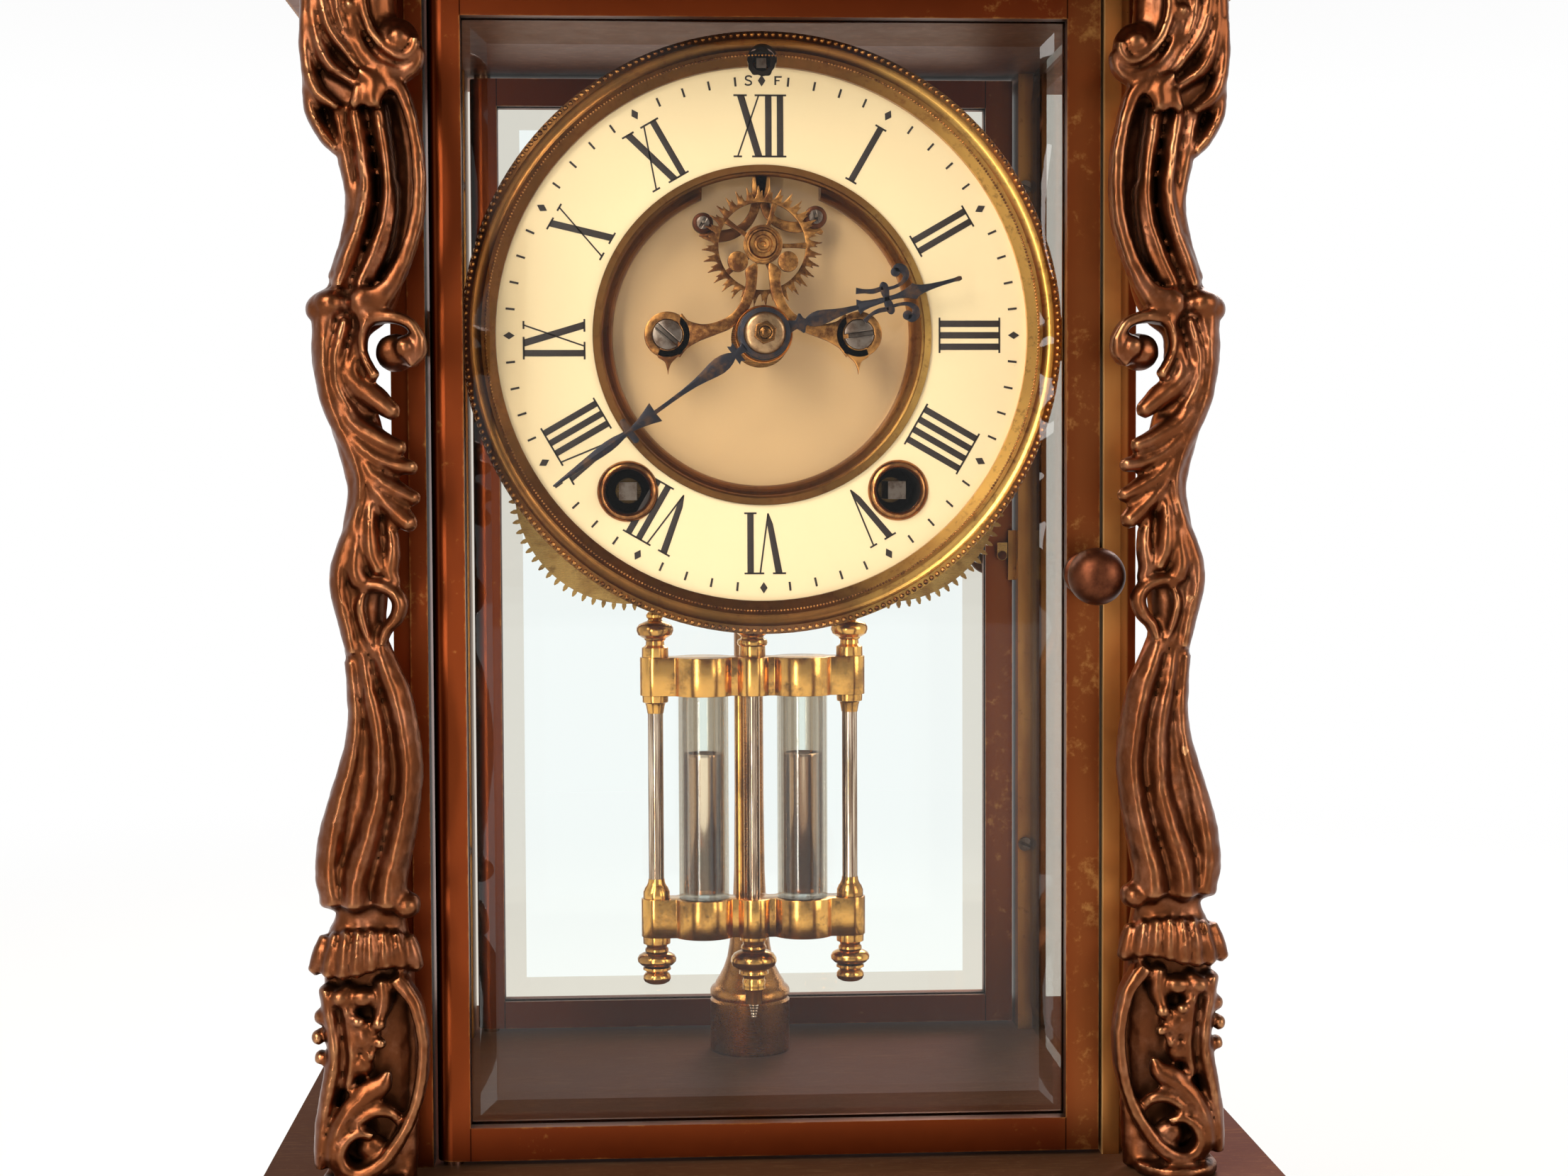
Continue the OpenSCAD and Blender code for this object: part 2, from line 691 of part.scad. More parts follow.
pan_hole_r = 6;
module centre_pan() {
    color("ivory") at_dial(0, pan_y, 0) facing() linear_extrude(enamel_t) difference() {
        circle(r = chapter_r + chapter_edge, $fn = 96);
        circle(r = pan_hole_r);
        translate([0, escape_up]) circle(r = escape_pipe_r);
        for (side = [-1, 1]) translate([side * bridge_x, 0]) circle(r = bridge_shank_r + run);
        for (side = [-1, 1]) translate([side * wind_x, -wind_z]) circle(r = wind_pass_r);
    }
}
escape_pipe_r = 2.2;
wind_pass_r = 3.4;

module eyelet(outer, inner) {
    rim = (outer - inner) / 2;
    turned(concat([[inner, enamel_y + enamel_t], [inner, enamel_y]],
        bow([inner, enamel_y - rim * 0.4], [outer, enamel_y - seat], -rim * 0.6),
        [[inner + seat / 2, enamel_y - seat], [inner + seat / 2, enamel_y + enamel_t]]));
}
module winding_eyelets() {
    color("goldenrod") {
        for (side = [-1, 1]) at_dial(side * wind_x, 0, -wind_z) eyelet(winding_r, winding_hole_r - rim_seat);
        at_dial(0, 0, regulator_up) eyelet(regulator_r, regulator_hole_r - rim_seat);
    }
}
rim_seat = 0.2;

// Hands

hour_y = 11;
minute_y = 8.6;
hand_t = 0.7;
collet_r = 5.75;
hub_r = 5.05;
hour_pipe_r = 2.6;
cannon_r = 1.75;

// The fleur-de-lis hand: a baluster stem, a flared head with side lobes and leaves, and a kite tip
module hour_outline(len) {
    stem = len * 0.035;
    head = len * 0.12;
    for (side = [-1, 1]) mirror([side < 0 ? 1 : 0, 0]) {
        polygon(concat([[0, 0], [stem, 0]], bow([stem * 0.8, len * 0.14], [stem * 0.9, len * 0.42], -stem * 0.9),
            bow([stem * 0.9, len * 0.42], [head, len * 0.5], stem * 1.4), [[stem, len * 0.56]],
            bow([stem * 0.9, len * 0.6], [stem * 0.6, len * 0.8], -stem * 0.8), [[stem * 0.4, len], [0, len]]));
        translate([head, len * 0.5]) circle(r = stem * 0.9);
        difference() {
            translate([head * 0.9, len * 0.66]) circle(r = head * 0.86);
            translate([head * 1.05, len * 0.69]) circle(r = head * 0.62);
        }
        translate([head * 1.35, len * 0.6]) circle(r = stem * 0.8);
    }
    translate([0, len * 0.8]) circle(r = stem * 1.3);
}

module minute_outline(len) {
    stem = len * 0.026;
    for (side = [-1, 1]) mirror([side < 0 ? 1 : 0, 0]) {
        polygon(concat([[0, 0], [stem, 0]], bow([stem * 0.8, len * 0.11], [stem * 0.7, len * 0.34], -stem),
            [[stem * 0.45, len * 0.4], [stem * 0.45, len * 0.62]],
            bow([stem * 0.45, len * 0.62], [stem * 1.7, len * 0.69], stem * 0.5), [[stem * 0.7, len * 0.71]],
            bow([stem * 0.7, len * 0.71], [stem * 0.16, len], -stem * 0.5), [[0, len]]));
        translate([stem * 1.7, len * 0.685]) circle(r = stem * 0.75);
    }
}

module hand_plate(turn) {
    facing() rotate(-turn) linear_extrude(hand_t) children();
}

module hour_hand() {
    color("#15151c") at_dial(0, hour_y, 0) {
        hand_plate(hour_turn) difference() {
            hour_outline(hour_len);
            circle(r = hour_pipe_r);
        }
        difference() {
            spindle(collet_r, 0, hand_t + lip_t);
            spindle(hour_pipe_r + run, -cut, hand_t + lip_t + cut);
        }
    }
}

module minute_hand() {
    color("#15151c") at_dial(0, minute_y, 0) {
        hand_plate(minute_turn) difference() {
            minute_outline(minute_len);
            circle(r = cannon_r);
        }
        difference() {
            spindle(hub_r, -hand_t * 0.4, hand_t);
            spindle(cannon_r + run, -hand_t, hand_t + cut);
        }
    }
}

nut_w = 4.3;
nut_front = 6;
washer_r = 4.2;
washer_t = 0.5;
stud_r = 0.8;
module hand_nut() {
    back = minute_y - hand_t * 0.4 - seat / 2;
    color("goldenrod") at_dial(0, 0, 0) difference() {
        union() {
            translate([0, nut_front, 0]) rotate([-90, 0, 0])
                cylinder(d = nut_w / cos(30), h = back - washer_t - nut_front, $fn = 6);
            spindle(washer_r, back - washer_t, back);
        }
        spindle(stud_r + run, nut_front - cut, back + cut);
    }
}

// Movement

// Proportions of a wheel's teeth as shares of the module and of the tooth's step
tall_share = 1.15;
deep_share = 0.85;
tooth_share = 0.42;
// The same for the motion work behind the hands, whose flat-sided teeth need deeper gaps
slim_tooth_share = 0.36;
slim_deep_share = 1.3;
// Radius of a lantern pinion's pins as a share of the module
pin_share = 0.52;
great_tip_r = 25;
great_m = great_tip_r / (great_teeth / 2 + tall_share);
mid_m = 0.55;
centre_m = 0.45;
third_m = 0.4;
motion_m = 0.4;
mid_teeth = 60;
centre_teeth = 72;
third_teeth = 72;
cannon_teeth = 12;
minute_teeth = 36;
hour_teeth = 40;
leaves = 10;
few_leaves = 6;
minute_d = motion_m * (cannon_teeth + minute_teeth) / 2;
hour_m = 2 * minute_d / (leaves + hour_teeth);

// The place that lies ra from a and rb from b, on the side s of the way from a to b
function meet(a, ra, b, rb, s) = let(d = norm(b - a), u = (b - a) / d, x = (ra * ra - rb * rb + d * d) / (2 * d))
    a + u * x + s * sqrt(ra * ra - x * x) * [-u[1], u[0]];
function way(a, b) = atan2(b[1] - a[1], b[0] - a[0]);

time_at = [wind_x, -wind_z];
strike_at = [-wind_x, -wind_z];
centre_at = [0, 0];
escape_at = [0, escape_up];
minute_at = [0, -minute_d];
inter_at = meet(time_at, great_m * (great_teeth + leaves) / 2, centre_at, mid_m * (mid_teeth + leaves) / 2, -1);
third_at = meet(centre_at, centre_m * (centre_teeth + few_leaves) / 2, escape_at,
    third_m * (third_teeth + few_leaves) / 2, 1);
hammer_at = [-0.72 * plate_r, 0.35 * plate_r];
// Steps from one wheel's plane to the next
motion_gap = 0.9;
motion_step = 1.6;
third_step = 6.5;
centre_step = 3.5;
inter_step = 4.6;
motion_y = pan_y + enamel_t + motion_gap;
cannon_y = motion_y + motion_step;
third_y = great_y + third_step;
centre_y = third_y + centre_step;
inter_y = back_y - inter_step;
// Thickness of a lantern pinion's caps, of the centre wheel's pinion and of its cannon
lantern_cap = 0.7;
centre_cap = 0.8;
cannon_t = 1.4;
// How far arbors reach past their plates
arbor_reach = 1;
thin_t = 1;
arbor_r = 1.25;
slim_r = 0.55;
pivot_r = 0.5;
end_gap = 0.3;

// Outline of a toothed wheel with a tooth on the X axis
module toothed(n, m, width_share = tooth_share, depth_share = deep_share) {
    step = 360 / n;
    half = step * width_share / 2;
    pitch = n * m / 2;
    root = pitch - depth_share * m;
    tip = pitch + tall_share * m;
    polygon([for (i = [0 : n - 1], p = [[root, -1], [pitch, -1], [tip, -0.3], [tip, 0.3], [pitch, 1], [root, 1]])
        p[0] * [cos(i * step + p[1] * half), sin(i * step + p[1] * half)]]);
}

// A spoked wheel: its gap is turned to face the pinion that it drives
module wheel(n, m, thick, toward, bore, arms = 5) {
    rim = n * m / 2 - deep_share * m - 2.2 * m;
    hub = bore + 2 * m + slim_r;
    arm = hub * 0.4;
    facing() linear_extrude(thick) difference() {
        rotate(toward - 180 / n) toothed(n, m);
        difference() {
            circle(r = rim);
            circle(r = hub);
            for (i = [0 : arms - 1]) rotate(360 / arms * i) translate([0, -arm]) square([rim + arm, 2 * arm]);
        }
        circle(r = bore);
    }
}

// A lantern pinion with a pin turned to face the wheel that drives it
module lantern(n, m, from, to, toward, core) {
    cap = (to - from) / 6;
    pin = pin_share * m;
    for (i = [0 : n - 1]) rotate([0, -toward - 360 / n * i, 0]) translate([n * m / 2, 0, 0])
        spindle(pin, from, to);
    for (y = [from, to - cap]) spindle(n * m / 2 + pin * 1.6, y, y + cap);
    spindle(core, from, to);
}

// An arbor between the plates with its pivots in them
module arbor(r) {
    spindle(r, plate_y + plate_t + end_gap, back_y - end_gap);
    spindle(pivot_r, plate_y + end_gap, back_y + plate_t - end_gap);
}

pillar_post_r = 2.6;
pillar_post_share = 0.86;
pillar_post_turns = [14, 60, 120, 166, 270];
ear_w = 9;
ear_up = 58;
gate_r = 20.5;
barrel_pivot_r = 1.7;

module plate_outline() {
    circle(r = plate_r, $fn = 96);
    translate([-ear_w / 2, 0]) square([ear_w, ear_up]);
}

// Holes of the pivots that both plates have
module pivot_holes() {
    for (p = [inter_at, third_at, hammer_at]) translate(p) circle(r = pivot_r + run);
    for (p = [time_at, strike_at]) translate(p) circle(r = barrel_pivot_r + run);
    translate([0, pallet_up]) circle(r = slim_r + run);
    translate([0, regulator_up]) circle(r = regulator_arbor_r + run);
}
regulator_arbor_r = 1.3;

module front_plate() {
    color("goldenrod") {
        at_dial(0, plate_y, 0) facing() linear_extrude(plate_t) difference() {
            plate_outline();
            pivot_holes();
            circle(r = arbor_r + run);
            translate(escape_at) circle(r = slim_r + run);
        }
        translate([0, front_y, dial_z]) {
            translate([minute_at[0], 0, minute_at[1]]) spindle(pivot_r, motion_y, plate_y);
            for (side = [-1, 1]) translate([side * bridge_x, 0, 0]) difference() {
                spindle(bridge_post_r, pan_y + enamel_t + seat, plate_y);
                spindle(bridge_shank_r + run, pan_y, plate_y + cut);
            }
        }
    }
}
bridge_post_r = 1.6;

module back_plate() {
    color("goldenrod") {
        at_dial(0, back_y, 0) facing() linear_extrude(plate_t) difference() {
            plate_outline();
            pivot_holes();
            translate(centre_at) circle(r = pivot_r + run);
            translate(escape_at) circle(r = pivot_r + run);
        }
        for (a = pillar_post_turns) translate([0, front_y, dial_z])
            translate([plate_r * pillar_post_share * cos(a), 0, plate_r * pillar_post_share * sin(a)])
            spindle(pillar_post_r, plate_y + plate_t, back_y);
    }
}

// Bars that carry the movement between the front posts
bracket_h = 9;
bracket_t = 2.4;
bracket_y = bezel_back + seat;
module movement_brackets() {
    from = plate_r * 0.8;
    to = post_x - seat;
    color("goldenrod") for (side = [0, 1]) mirror([side, 0, 0]) at_dial(0, 0, 0) {
        translate([from, plate_y - bracket_t, -bracket_h / 2]) cube([to - from, bracket_t, bracket_h]);
        translate([bezel_r - bezel_wall * 2, bracket_y, -bracket_h / 2])
            cube([bracket_t, plate_y - bracket_t - bracket_y, bracket_h]);
        translate([to - bracket_t, post_d, -bracket_h / 2]) difference() {
            cube([bracket_t, plate_y - post_d, bracket_h]);
        }
    }
}

barrel_h = 11.5;
barrel_wall = 0.9;
core_r = 4;
module barrel(at, mesh) {
    top = great_y + gear_t + barrel_h;
    color("goldenrod") translate([at[0], front_y, dial_z + at[1]]) {
        translate([0, great_y, 0]) facing() linear_extrude(gear_t) difference() {
            rotate(mesh - 180 / great_teeth) toothed(great_teeth, great_m);
            circle(r = barrel_pivot_r + run);
        }
        difference() {
            spindle(barrel_r, great_y + gear_t, top);
            spindle(barrel_r - barrel_wall, great_y + gear_t, top - barrel_wall);
            spindle(barrel_pivot_r + run, top - 2 * barrel_wall, top + cut);
        }
    }
    // The mainspring, wound against the barrel's wall
    color("slategray") translate([at[0], front_y, dial_z + at[1]]) difference() {
        spindle(barrel_r - barrel_wall - seat, great_y + gear_t + seat, top - barrel_wall - seat);
        spindle(barrel_r * 0.5, great_y, top);
    }
}

module winding_arbor(at) {
    color("silver") translate([at[0], front_y, dial_z + at[1]]) {
        spindle(barrel_pivot_r, plate_y - end_gap, back_y + plate_t - end_gap);
        spindle(core_r, great_y + gear_t + end_gap, great_y + gear_t + barrel_h - barrel_wall - end_gap);
        translate([-wind_square / 2, enamel_y + 2 * enamel_t, -wind_square / 2])
            cube([wind_square, plate_y - enamel_y - 2 * enamel_t - end_gap, wind_square]);
    }
}

module time_barrel() {
    barrel(time_at, way(time_at, inter_at));
}
module strike_barrel() {
    barrel(strike_at, 90);
}
module time_arbor() {
    winding_arbor(time_at);
}
module strike_arbor() {
    winding_arbor(strike_at);
}

// Carries the minute hand in front, the cannon pinion, the centre wheel and its pinion
module centre_arbor() {
    color("goldenrod") translate([0, front_y, dial_z]) {
        spindle(stud_r, nut_front - 2 * seat, minute_y);
        spindle(cannon_r, minute_y - seat, cannon_y + cannon_t);
        spindle(arbor_r, cannon_y, back_y - end_gap);
        spindle(pivot_r, back_y - arbor_reach, back_y + plate_t - end_gap);
        translate([0, cannon_y, 0]) facing() linear_extrude(cannon_t)
            rotate(way(centre_at, minute_at)) toothed(cannon_teeth, motion_m, slim_tooth_share, slim_deep_share);
        translate([0, centre_y, 0])
            wheel(centre_teeth, centre_m, thin_t, way(centre_at, third_at), arbor_r - cut);
        lantern(leaves, mid_m, inter_y - lantern_cap, inter_y + thin_t + lantern_cap, way(centre_at, inter_at), arbor_r);
    }
}

module minute_wheel() {
    color("goldenrod") translate([minute_at[0], front_y, dial_z + minute_at[1]]) difference() {
        union() {
            translate([0, cannon_y + end_gap / 2, 0]) facing() linear_extrude(thin_t)
                rotate(way(minute_at, centre_at) - 180 / minute_teeth)
                    toothed(minute_teeth, motion_m, slim_tooth_share, slim_deep_share);
            translate([0, motion_y - end_gap / 2, 0]) facing() linear_extrude(cannon_y - motion_y + end_gap)
                rotate(way(minute_at, centre_at) - 180 / leaves)
                    toothed(leaves, hour_m, slim_tooth_share, slim_deep_share);
        }
        spindle(pivot_r + run, motion_y - cut, plate_y);
    }
}

module hour_wheel() {
    color("goldenrod") translate([0, front_y, dial_z]) difference() {
        union() {
            translate([0, motion_y, 0]) facing() linear_extrude(thin_t)
                rotate(way(centre_at, minute_at)) toothed(hour_teeth, hour_m, slim_tooth_share, slim_deep_share);
            spindle(hour_pipe_r, hour_y, motion_y + thin_t);
        }
        spindle(cannon_r + run, hour_y - cut, motion_y + thin_t + cut);
    }
}

module intermediate_wheel() {
    color("goldenrod") translate([inter_at[0], front_y, dial_z + inter_at[1]]) {
        arbor(slim_r);
        translate([0, inter_y, 0]) wheel(mid_teeth, mid_m, thin_t, way(inter_at, centre_at), slim_r);
        lantern(leaves, great_m, great_y - lantern_cap, great_y + gear_t + lantern_cap, way(inter_at, time_at), arbor_r);
    }
}

module third_wheel() {
    color("goldenrod") translate([third_at[0], front_y, dial_z + third_at[1]]) {
        arbor(slim_r);
        translate([0, third_y, 0]) wheel(third_teeth, third_m, thin_t, way(third_at, escape_at), slim_r);
        lantern(few_leaves, centre_m, centre_y - centre_cap, centre_y + thin_t + centre_cap, way(third_at, centre_at), slim_r);
    }
}

// Escapement

escape_y = 18;
escape_rim = 9.6;
escape_rim_in = 8.8;
escape_hub_r = 3;
pallet_left = [-11.8, 4.8];
pallet_right = [10.9, 6];
pallet_pin_r = 0.32;
boss_r = 2.1;
// How far round from a gap's middle each pallet pin stands, as a share of a tooth's step
gap_share = 0.24;
escape_arm_w = 1.3;

module escape_wheel() {
    step = 360 / escape_teeth;
    gap = atan2(pallet_right[1], pallet_right[0]) + gap_share * step;
    color("goldenrod") at_dial(0, 0, escape_up) {
        translate([0, escape_y, 0]) facing() linear_extrude(thin_t) difference() {
            rotate(gap - step / 2) polygon([for (i = [0 : escape_teeth - 1],
                p = [[escape_rim, -0.4], [escape_r, -0.05], [escape_r, 0.05], [escape_rim, 0.3]])
                p[0] * [cos((i + p[1]) * step), sin((i + p[1]) * step)]]);
            difference() {
                circle(r = escape_rim_in);
                circle(r = escape_hub_r);
                for (i = [0 : 4]) rotate(1 + 72 * i) translate([0, -escape_arm_w / 2]) square([escape_rim, escape_arm_w]);
            }
        }
        spindle(slim_r, bridge_y + bridge_t + end_gap, back_y - end_gap);
        spindle(pivot_r, bridge_y + end_gap, back_y + plate_t - end_gap);
        spindle(pivot_r * 2, escape_y - thin_t, escape_y + 2 * thin_t);
        lantern(few_leaves, third_m, third_y - lantern_cap, third_y + thin_t + lantern_cap, way(escape_at, third_at), slim_r);
    }
}

bridge_x = 19;
bridge_y = 14;
bridge_t = 1.4;
bridge_end_r = 4.6;
bridge_shank_r = 0.8;
bridge_foot_r = 2.4;
bridge_leg_w = 2;
bridge_boss_r = 3.8;

// A flat curved strip from p to q, its width going from a to b
module ribbon(p, q, sag, a, b) {
    n = [-(q - p)[1], (q - p)[0]] / norm(q - p);
    middle = bow(p, q, sag);
    left = [for (i = [0 : bow_steps]) middle[i] + n * (a + (b - a) * i / bow_steps) / 2];
    right = [for (i = [bow_steps : -1 : 0]) middle[i] - n * (a + (b - a) * i / bow_steps) / 2];
    polygon(concat(left, right));
}

module escape_bridge() {
    knee = [bridge_x * 0.3, escape_up * 0.42];
    top = [bridge_leg_w * 1.2, escape_up];
    color("gold") at_dial(0, 0, 0) {
        translate([0, bridge_y, 0]) facing() linear_extrude(bridge_t) difference() {
            union() {
                for (side = [0, 1]) mirror([side, 0]) {
                    translate([bridge_x, 0]) circle(r = bridge_end_r * 0.86);
                    ribbon([bridge_x + bridge_end_r * 0.5, 0], [bridge_x, -bridge_end_r * 1.6],
                        bridge_end_r * 0.3, bridge_leg_w * 1.6, bridge_leg_w * 0.3);
                    ribbon([bridge_x - bridge_end_r * 0.5, 0], knee, -bridge_end_r * 0.5, bridge_leg_w * 1.5, bridge_leg_w);
                    ribbon(knee, top, bridge_leg_w * 0.5, bridge_leg_w, bridge_leg_w);
                    translate([bridge_boss_r, escape_up]) circle(r = bridge_leg_w * 0.9);
                }
                translate([0, escape_up]) circle(r = bridge_boss_r);
            }
            translate([0, escape_up]) circle(r = pivot_r + run);
            for (side = [-1, 1]) translate([side * bridge_x, 0]) circle(r = bridge_shank_r + run);
        }
        for (side = [-1, 1]) translate([side * bridge_x, 0, 0]) difference() {
            spindle(bridge_foot_r, bridge_y + bridge_t, pan_y - seat);
            spindle(bridge_shank_r + run, bridge_y, pan_y);
        }
    }
}

bridge_screw_r = 3;
bridge_head_h = 1;
module bridge_screws() {
    color("gold") for (side = [-1, 1]) at_dial(side * bridge_x, bridge_y, 0)
        rotate([0, side < 0 ? 65 : -65, 0]) screw(bridge_screw_r, bridge_head_h, 0);
    color("silver") for (side = [-1, 1]) at_dial(side * bridge_x, 0, 0)
        spindle(bridge_shank_r, bridge_y, plate_y - seat);
}

crutch_step = 2;
crutch_y = back_y + plate_t + crutch_step;
crutch_up = 13;
crutch_w = 2.4;
fork_w = 1;
anchor_hub_r = 2.8;
anchor_drop = 7;
module pallet_anchor() {
    split = [0, pallet_up - anchor_drop];
    color("slategray") translate([0, front_y, dial_z]) {
        translate([0, anchor_y, 0]) facing() linear_extrude(anchor_t) {
            translate([0, pallet_up]) circle(r = anchor_hub_r);
            ribbon([0, pallet_up], split, 0, anchor_hub_r * 1.4, anchor_hub_r * 1.2);
            for (pin = [pallet_left, pallet_right]) {
                side = sign(pin[0]);
                ribbon(split - [0, anchor_t], escape_at + pin, side * anchor_hub_r * 0.9, anchor_hub_r, anchor_hub_r * 0.8);
                translate(escape_at + pin) circle(r = boss_r);
            }
        }
        for (pin = [pallet_left, pallet_right]) translate([pin[0], 0, escape_up + pin[1]])
            spindle(pallet_pin_r, escape_y - thin_t / 2, anchor_y);
        translate([0, 0, pallet_up]) spindle(slim_r, anchor_y, crutch_y + 2 * anchor_t);
        translate([0, crutch_y, 0]) facing() linear_extrude(anchor_t) {
            translate([0, pallet_up]) circle(r = anchor_hub_r);
            translate([-crutch_w / 2, crutch_up]) square([crutch_w, pallet_up - crutch_up]);
            translate([-rod_r - 2 * fork_w, crutch_up - fork_w]) square([2 * rod_r + 4 * fork_w, 3 * fork_w]);
        }
        for (side = [-1, 1]) translate([side * (rod_r + fork_w * 0.5 + fork_gap), 0, crutch_up])
            spindle(fork_w / 2, crutch_y, pendulum_y + rod_r);
    }
}
fork_gap = 0.15;
rod_r = 1.5;

// Suspension and regulator

cock_w = 7;
cock_low = 46.5;
cock_arm_h = 4;
cock_foot_t = 2;
spring_t = 0.3;
spring_w = 5;
spring_top = 49;
chop_low = 33;
jaw_gap = 0.6;
module suspension_cock() {
    from = back_y + plate_t;
    color("goldenrod") at_dial(0, 0, 0) difference() {
        union() {
            translate([-cock_w / 2, from, cock_low]) cube([cock_w, cock_foot_t, ear_up - cock_low]);
            translate([-cock_w / 2, from, cock_low])
                cube([cock_w, pendulum_y + spring_w / 2 + cock_foot_t - from, cock_arm_h]);
        }
        translate([-jaw_gap, pendulum_y - spring_w / 2 - seat, cock_low - cut])
            cube([2 * jaw_gap, spring_w + 2 * seat, cock_arm_h + 2 * cut]);
        translate([0, 0, regulator_up]) spindle(regulator_arbor_r + run, from - cut, from + cock_foot_t + cut);
    }
}

module suspension_spring() {
    color("silver") at_dial(0, pendulum_y, 0)
        translate([-spring_t / 2, -spring_w / 2, chop_low + rod_r]) cube([spring_t, spring_w, spring_top - chop_low - rod_r]);
    color("goldenrod") at_dial(0, pendulum_y, 0) for (side = [0, 1]) mirror([side, 0, 0])
        translate([spring_t / 2, -spring_w / 2, chop_low]) cube([rod_r, spring_w, cock_arm_h]);
}

regulator_square = 2;
module regulator_arbor() {
    front = enamel_y + enamel_t;
    color("silver") at_dial(0, 0, regulator_up) {
        translate([-regulator_square / 2, front, -regulator_square / 2])
            cube([regulator_square, plate_y - front, regulator_square]);
        spindle(regulator_arbor_r, plate_y - arbor_reach, crutch_y + 2 * anchor_t);
        spindle(regulator_arbor_r * 2, crutch_y + anchor_t, crutch_y + 2 * anchor_t);
    }
}

// Strike and gong

gong_y = 94;
gong_drop = 7;
gong_r = 46;
gong_pitch = 5.5;
gong_turns = 4;
gong_wire = 3.2;
gong_rings = 24;
gong_sides = 6;
gong_screw_r = 2.4;
gong_block = 7;
head_r = 3;
head_gap = 1.4;
module strike_hammer() {
    tip = [-gong_r - gong_wire / 2 - head_r - head_gap, -gong_drop];
    reach = norm(tip - hammer_at);
    lean = way(hammer_at, tip);
    arm_y = gong_y - gong_wire / 2 - head_gap - 2 * pivot_r;
    color("goldenrod") translate([hammer_at[0], front_y, dial_z + hammer_at[1]]) {
        arbor(slim_r * 2);
        spindle(pivot_r, back_y, arm_y + 2 * pivot_r);
        rotate([0, -lean, 0]) {
            translate([0, arm_y, -pivot_r]) cube([reach, 2 * pivot_r, 2 * pivot_r]);
            translate([reach, 0, 0]) spindle(head_r, arm_y - head_gap, gong_y + head_r);
        }
    }
}

// The coil's middle line: an even spiral from the stand's block inwards
function gong_point(i) = let(a = -90 - asin(gong_block / 2 / gong_r) - 360 / gong_rings * i,
    r = gong_r - gong_pitch * i / gong_rings) [r, a];
gong_count = gong_turns * gong_rings;
gong_points = [for (i = [0 : gong_count], k = [0 : gong_sides - 1]) let(p = gong_point(i), b = 360 / gong_sides * k,
    r = p[0] + gong_wire / 2 * cos(b)) [r * cos(p[1]), gong_wire / 2 * sin(b), r * sin(p[1])]];
function gong_quad(i, k) = let(n = gong_sides, l = (k + 1) % n) [
    [i * n + k, (i + 1) * n + k, i * n + l], [(i + 1) * n + k, (i + 1) * n + l, i * n + l]];
gong_faces = concat([for (i = [0 : gong_count - 1], k = [0 : gong_sides - 1], f = gong_quad(i, k)) f],
    [for (k = [1 : gong_sides - 2]) [0, k, k + 1]],
    [for (k = [1 : gong_sides - 2]) let(o = gong_count * gong_sides) [o, o + k + 1, o + k]]);
gong_gap = min([for (i = [0 : gong_count - gong_rings]) norm([gong_point(i)[0] - gong_point(i + gong_rings)[0], 0])])
    - gong_wire;
echo(least_gap_of_the_gong_coil = gong_gap);

module gong_coil() {
    color("#2a2a38") at_dial(0, gong_y, -gong_drop) polyhedron(gong_points, gong_faces, convexity = 8);
}

stand_r = 9.3;
stand_h = 15;
stand_shares = [[1, 0], [1, 0.12], [0.86, 0.16], [0.86, 0.8], [1, 0.84], [1, 1], [0.8, 1.06]];
module gong_stand() {
    top = dial_z - gong_drop - gong_r - gong_block / 2 - floor_z;
    neck = [stand_r * 0.36, stand_h * 1.7];
    color("goldenrod") translate([0, front_y + gong_y, floor_z]) {
        rotate_extrude() polygon(concat([[0, 0]], sized(stand_shares, stand_r, stand_h),
            bow([stand_r * 0.8, stand_h * 1.06], neck, stand_r * 0.16),
            [[neck[0], top], [0, top]]));
        translate([0, 0, -floor_t]) cylinder(r = gong_screw_r - run, h = 2 * floor_t);
        translate([-gong_block / 2, -gong_block / 2, top - seat / 2]) cube(gong_block);
    }
}

// Pendulum

column_x = 21.8;
vial_x = 11.1;
lobe_r = 6.6;
end_lobe_r = 3.4;
mid_lobe_r = 4.2;
lobe_grow = 1.6;
plan_bar = 7;
step_w = 0.8;
step_h = 1.3;
back_rod = 4.4;
column_r = 2.2;
collar_r = 2.9;
jar_wall = 0.9;
jar_top = jar_top_up - jar_plate_t;
rod_hole = 0.1;

module jar_plan(grow) {
    for (side = [-1, 1]) {
        translate([side * column_x, 0]) circle(r = end_lobe_r + grow);
        translate([side * vial_x, 0]) circle(r = lobe_r + grow);
    }
    circle(r = mid_lobe_r + lobe_grow + grow);
    square([2 * column_x, plan_bar + 2 * grow], center = true);
}

// A jar plate from its underside up, stepped at both edges
module jar_plate(low) {
    at_glass(0, pendulum_y, low) difference() {
        union() {
            linear_extrude(step_h) jar_plan(-step_w / 2);
            translate([0, 0, step_h]) linear_extrude(jar_plate_t - 2 * step_h) jar_plan(0);
            translate([0, 0, jar_plate_t - step_h]) linear_extrude(step_h) jar_plan(-step_w);
        }
        translate([0, 0, -cut]) cylinder(r = rod_r + run, h = jar_plate_t + 2 * cut);
        for (side = [-1, 1]) translate([side * column_x, 0, -cut]) cylinder(r = column_r + run, h = jar_plate_t + 2 * cut);
    }
}
module jar_plates() {
    color("gold") {
        jar_plate(jar_top);
        jar_plate(jar_base_up - jar_plate_t);
    }
}

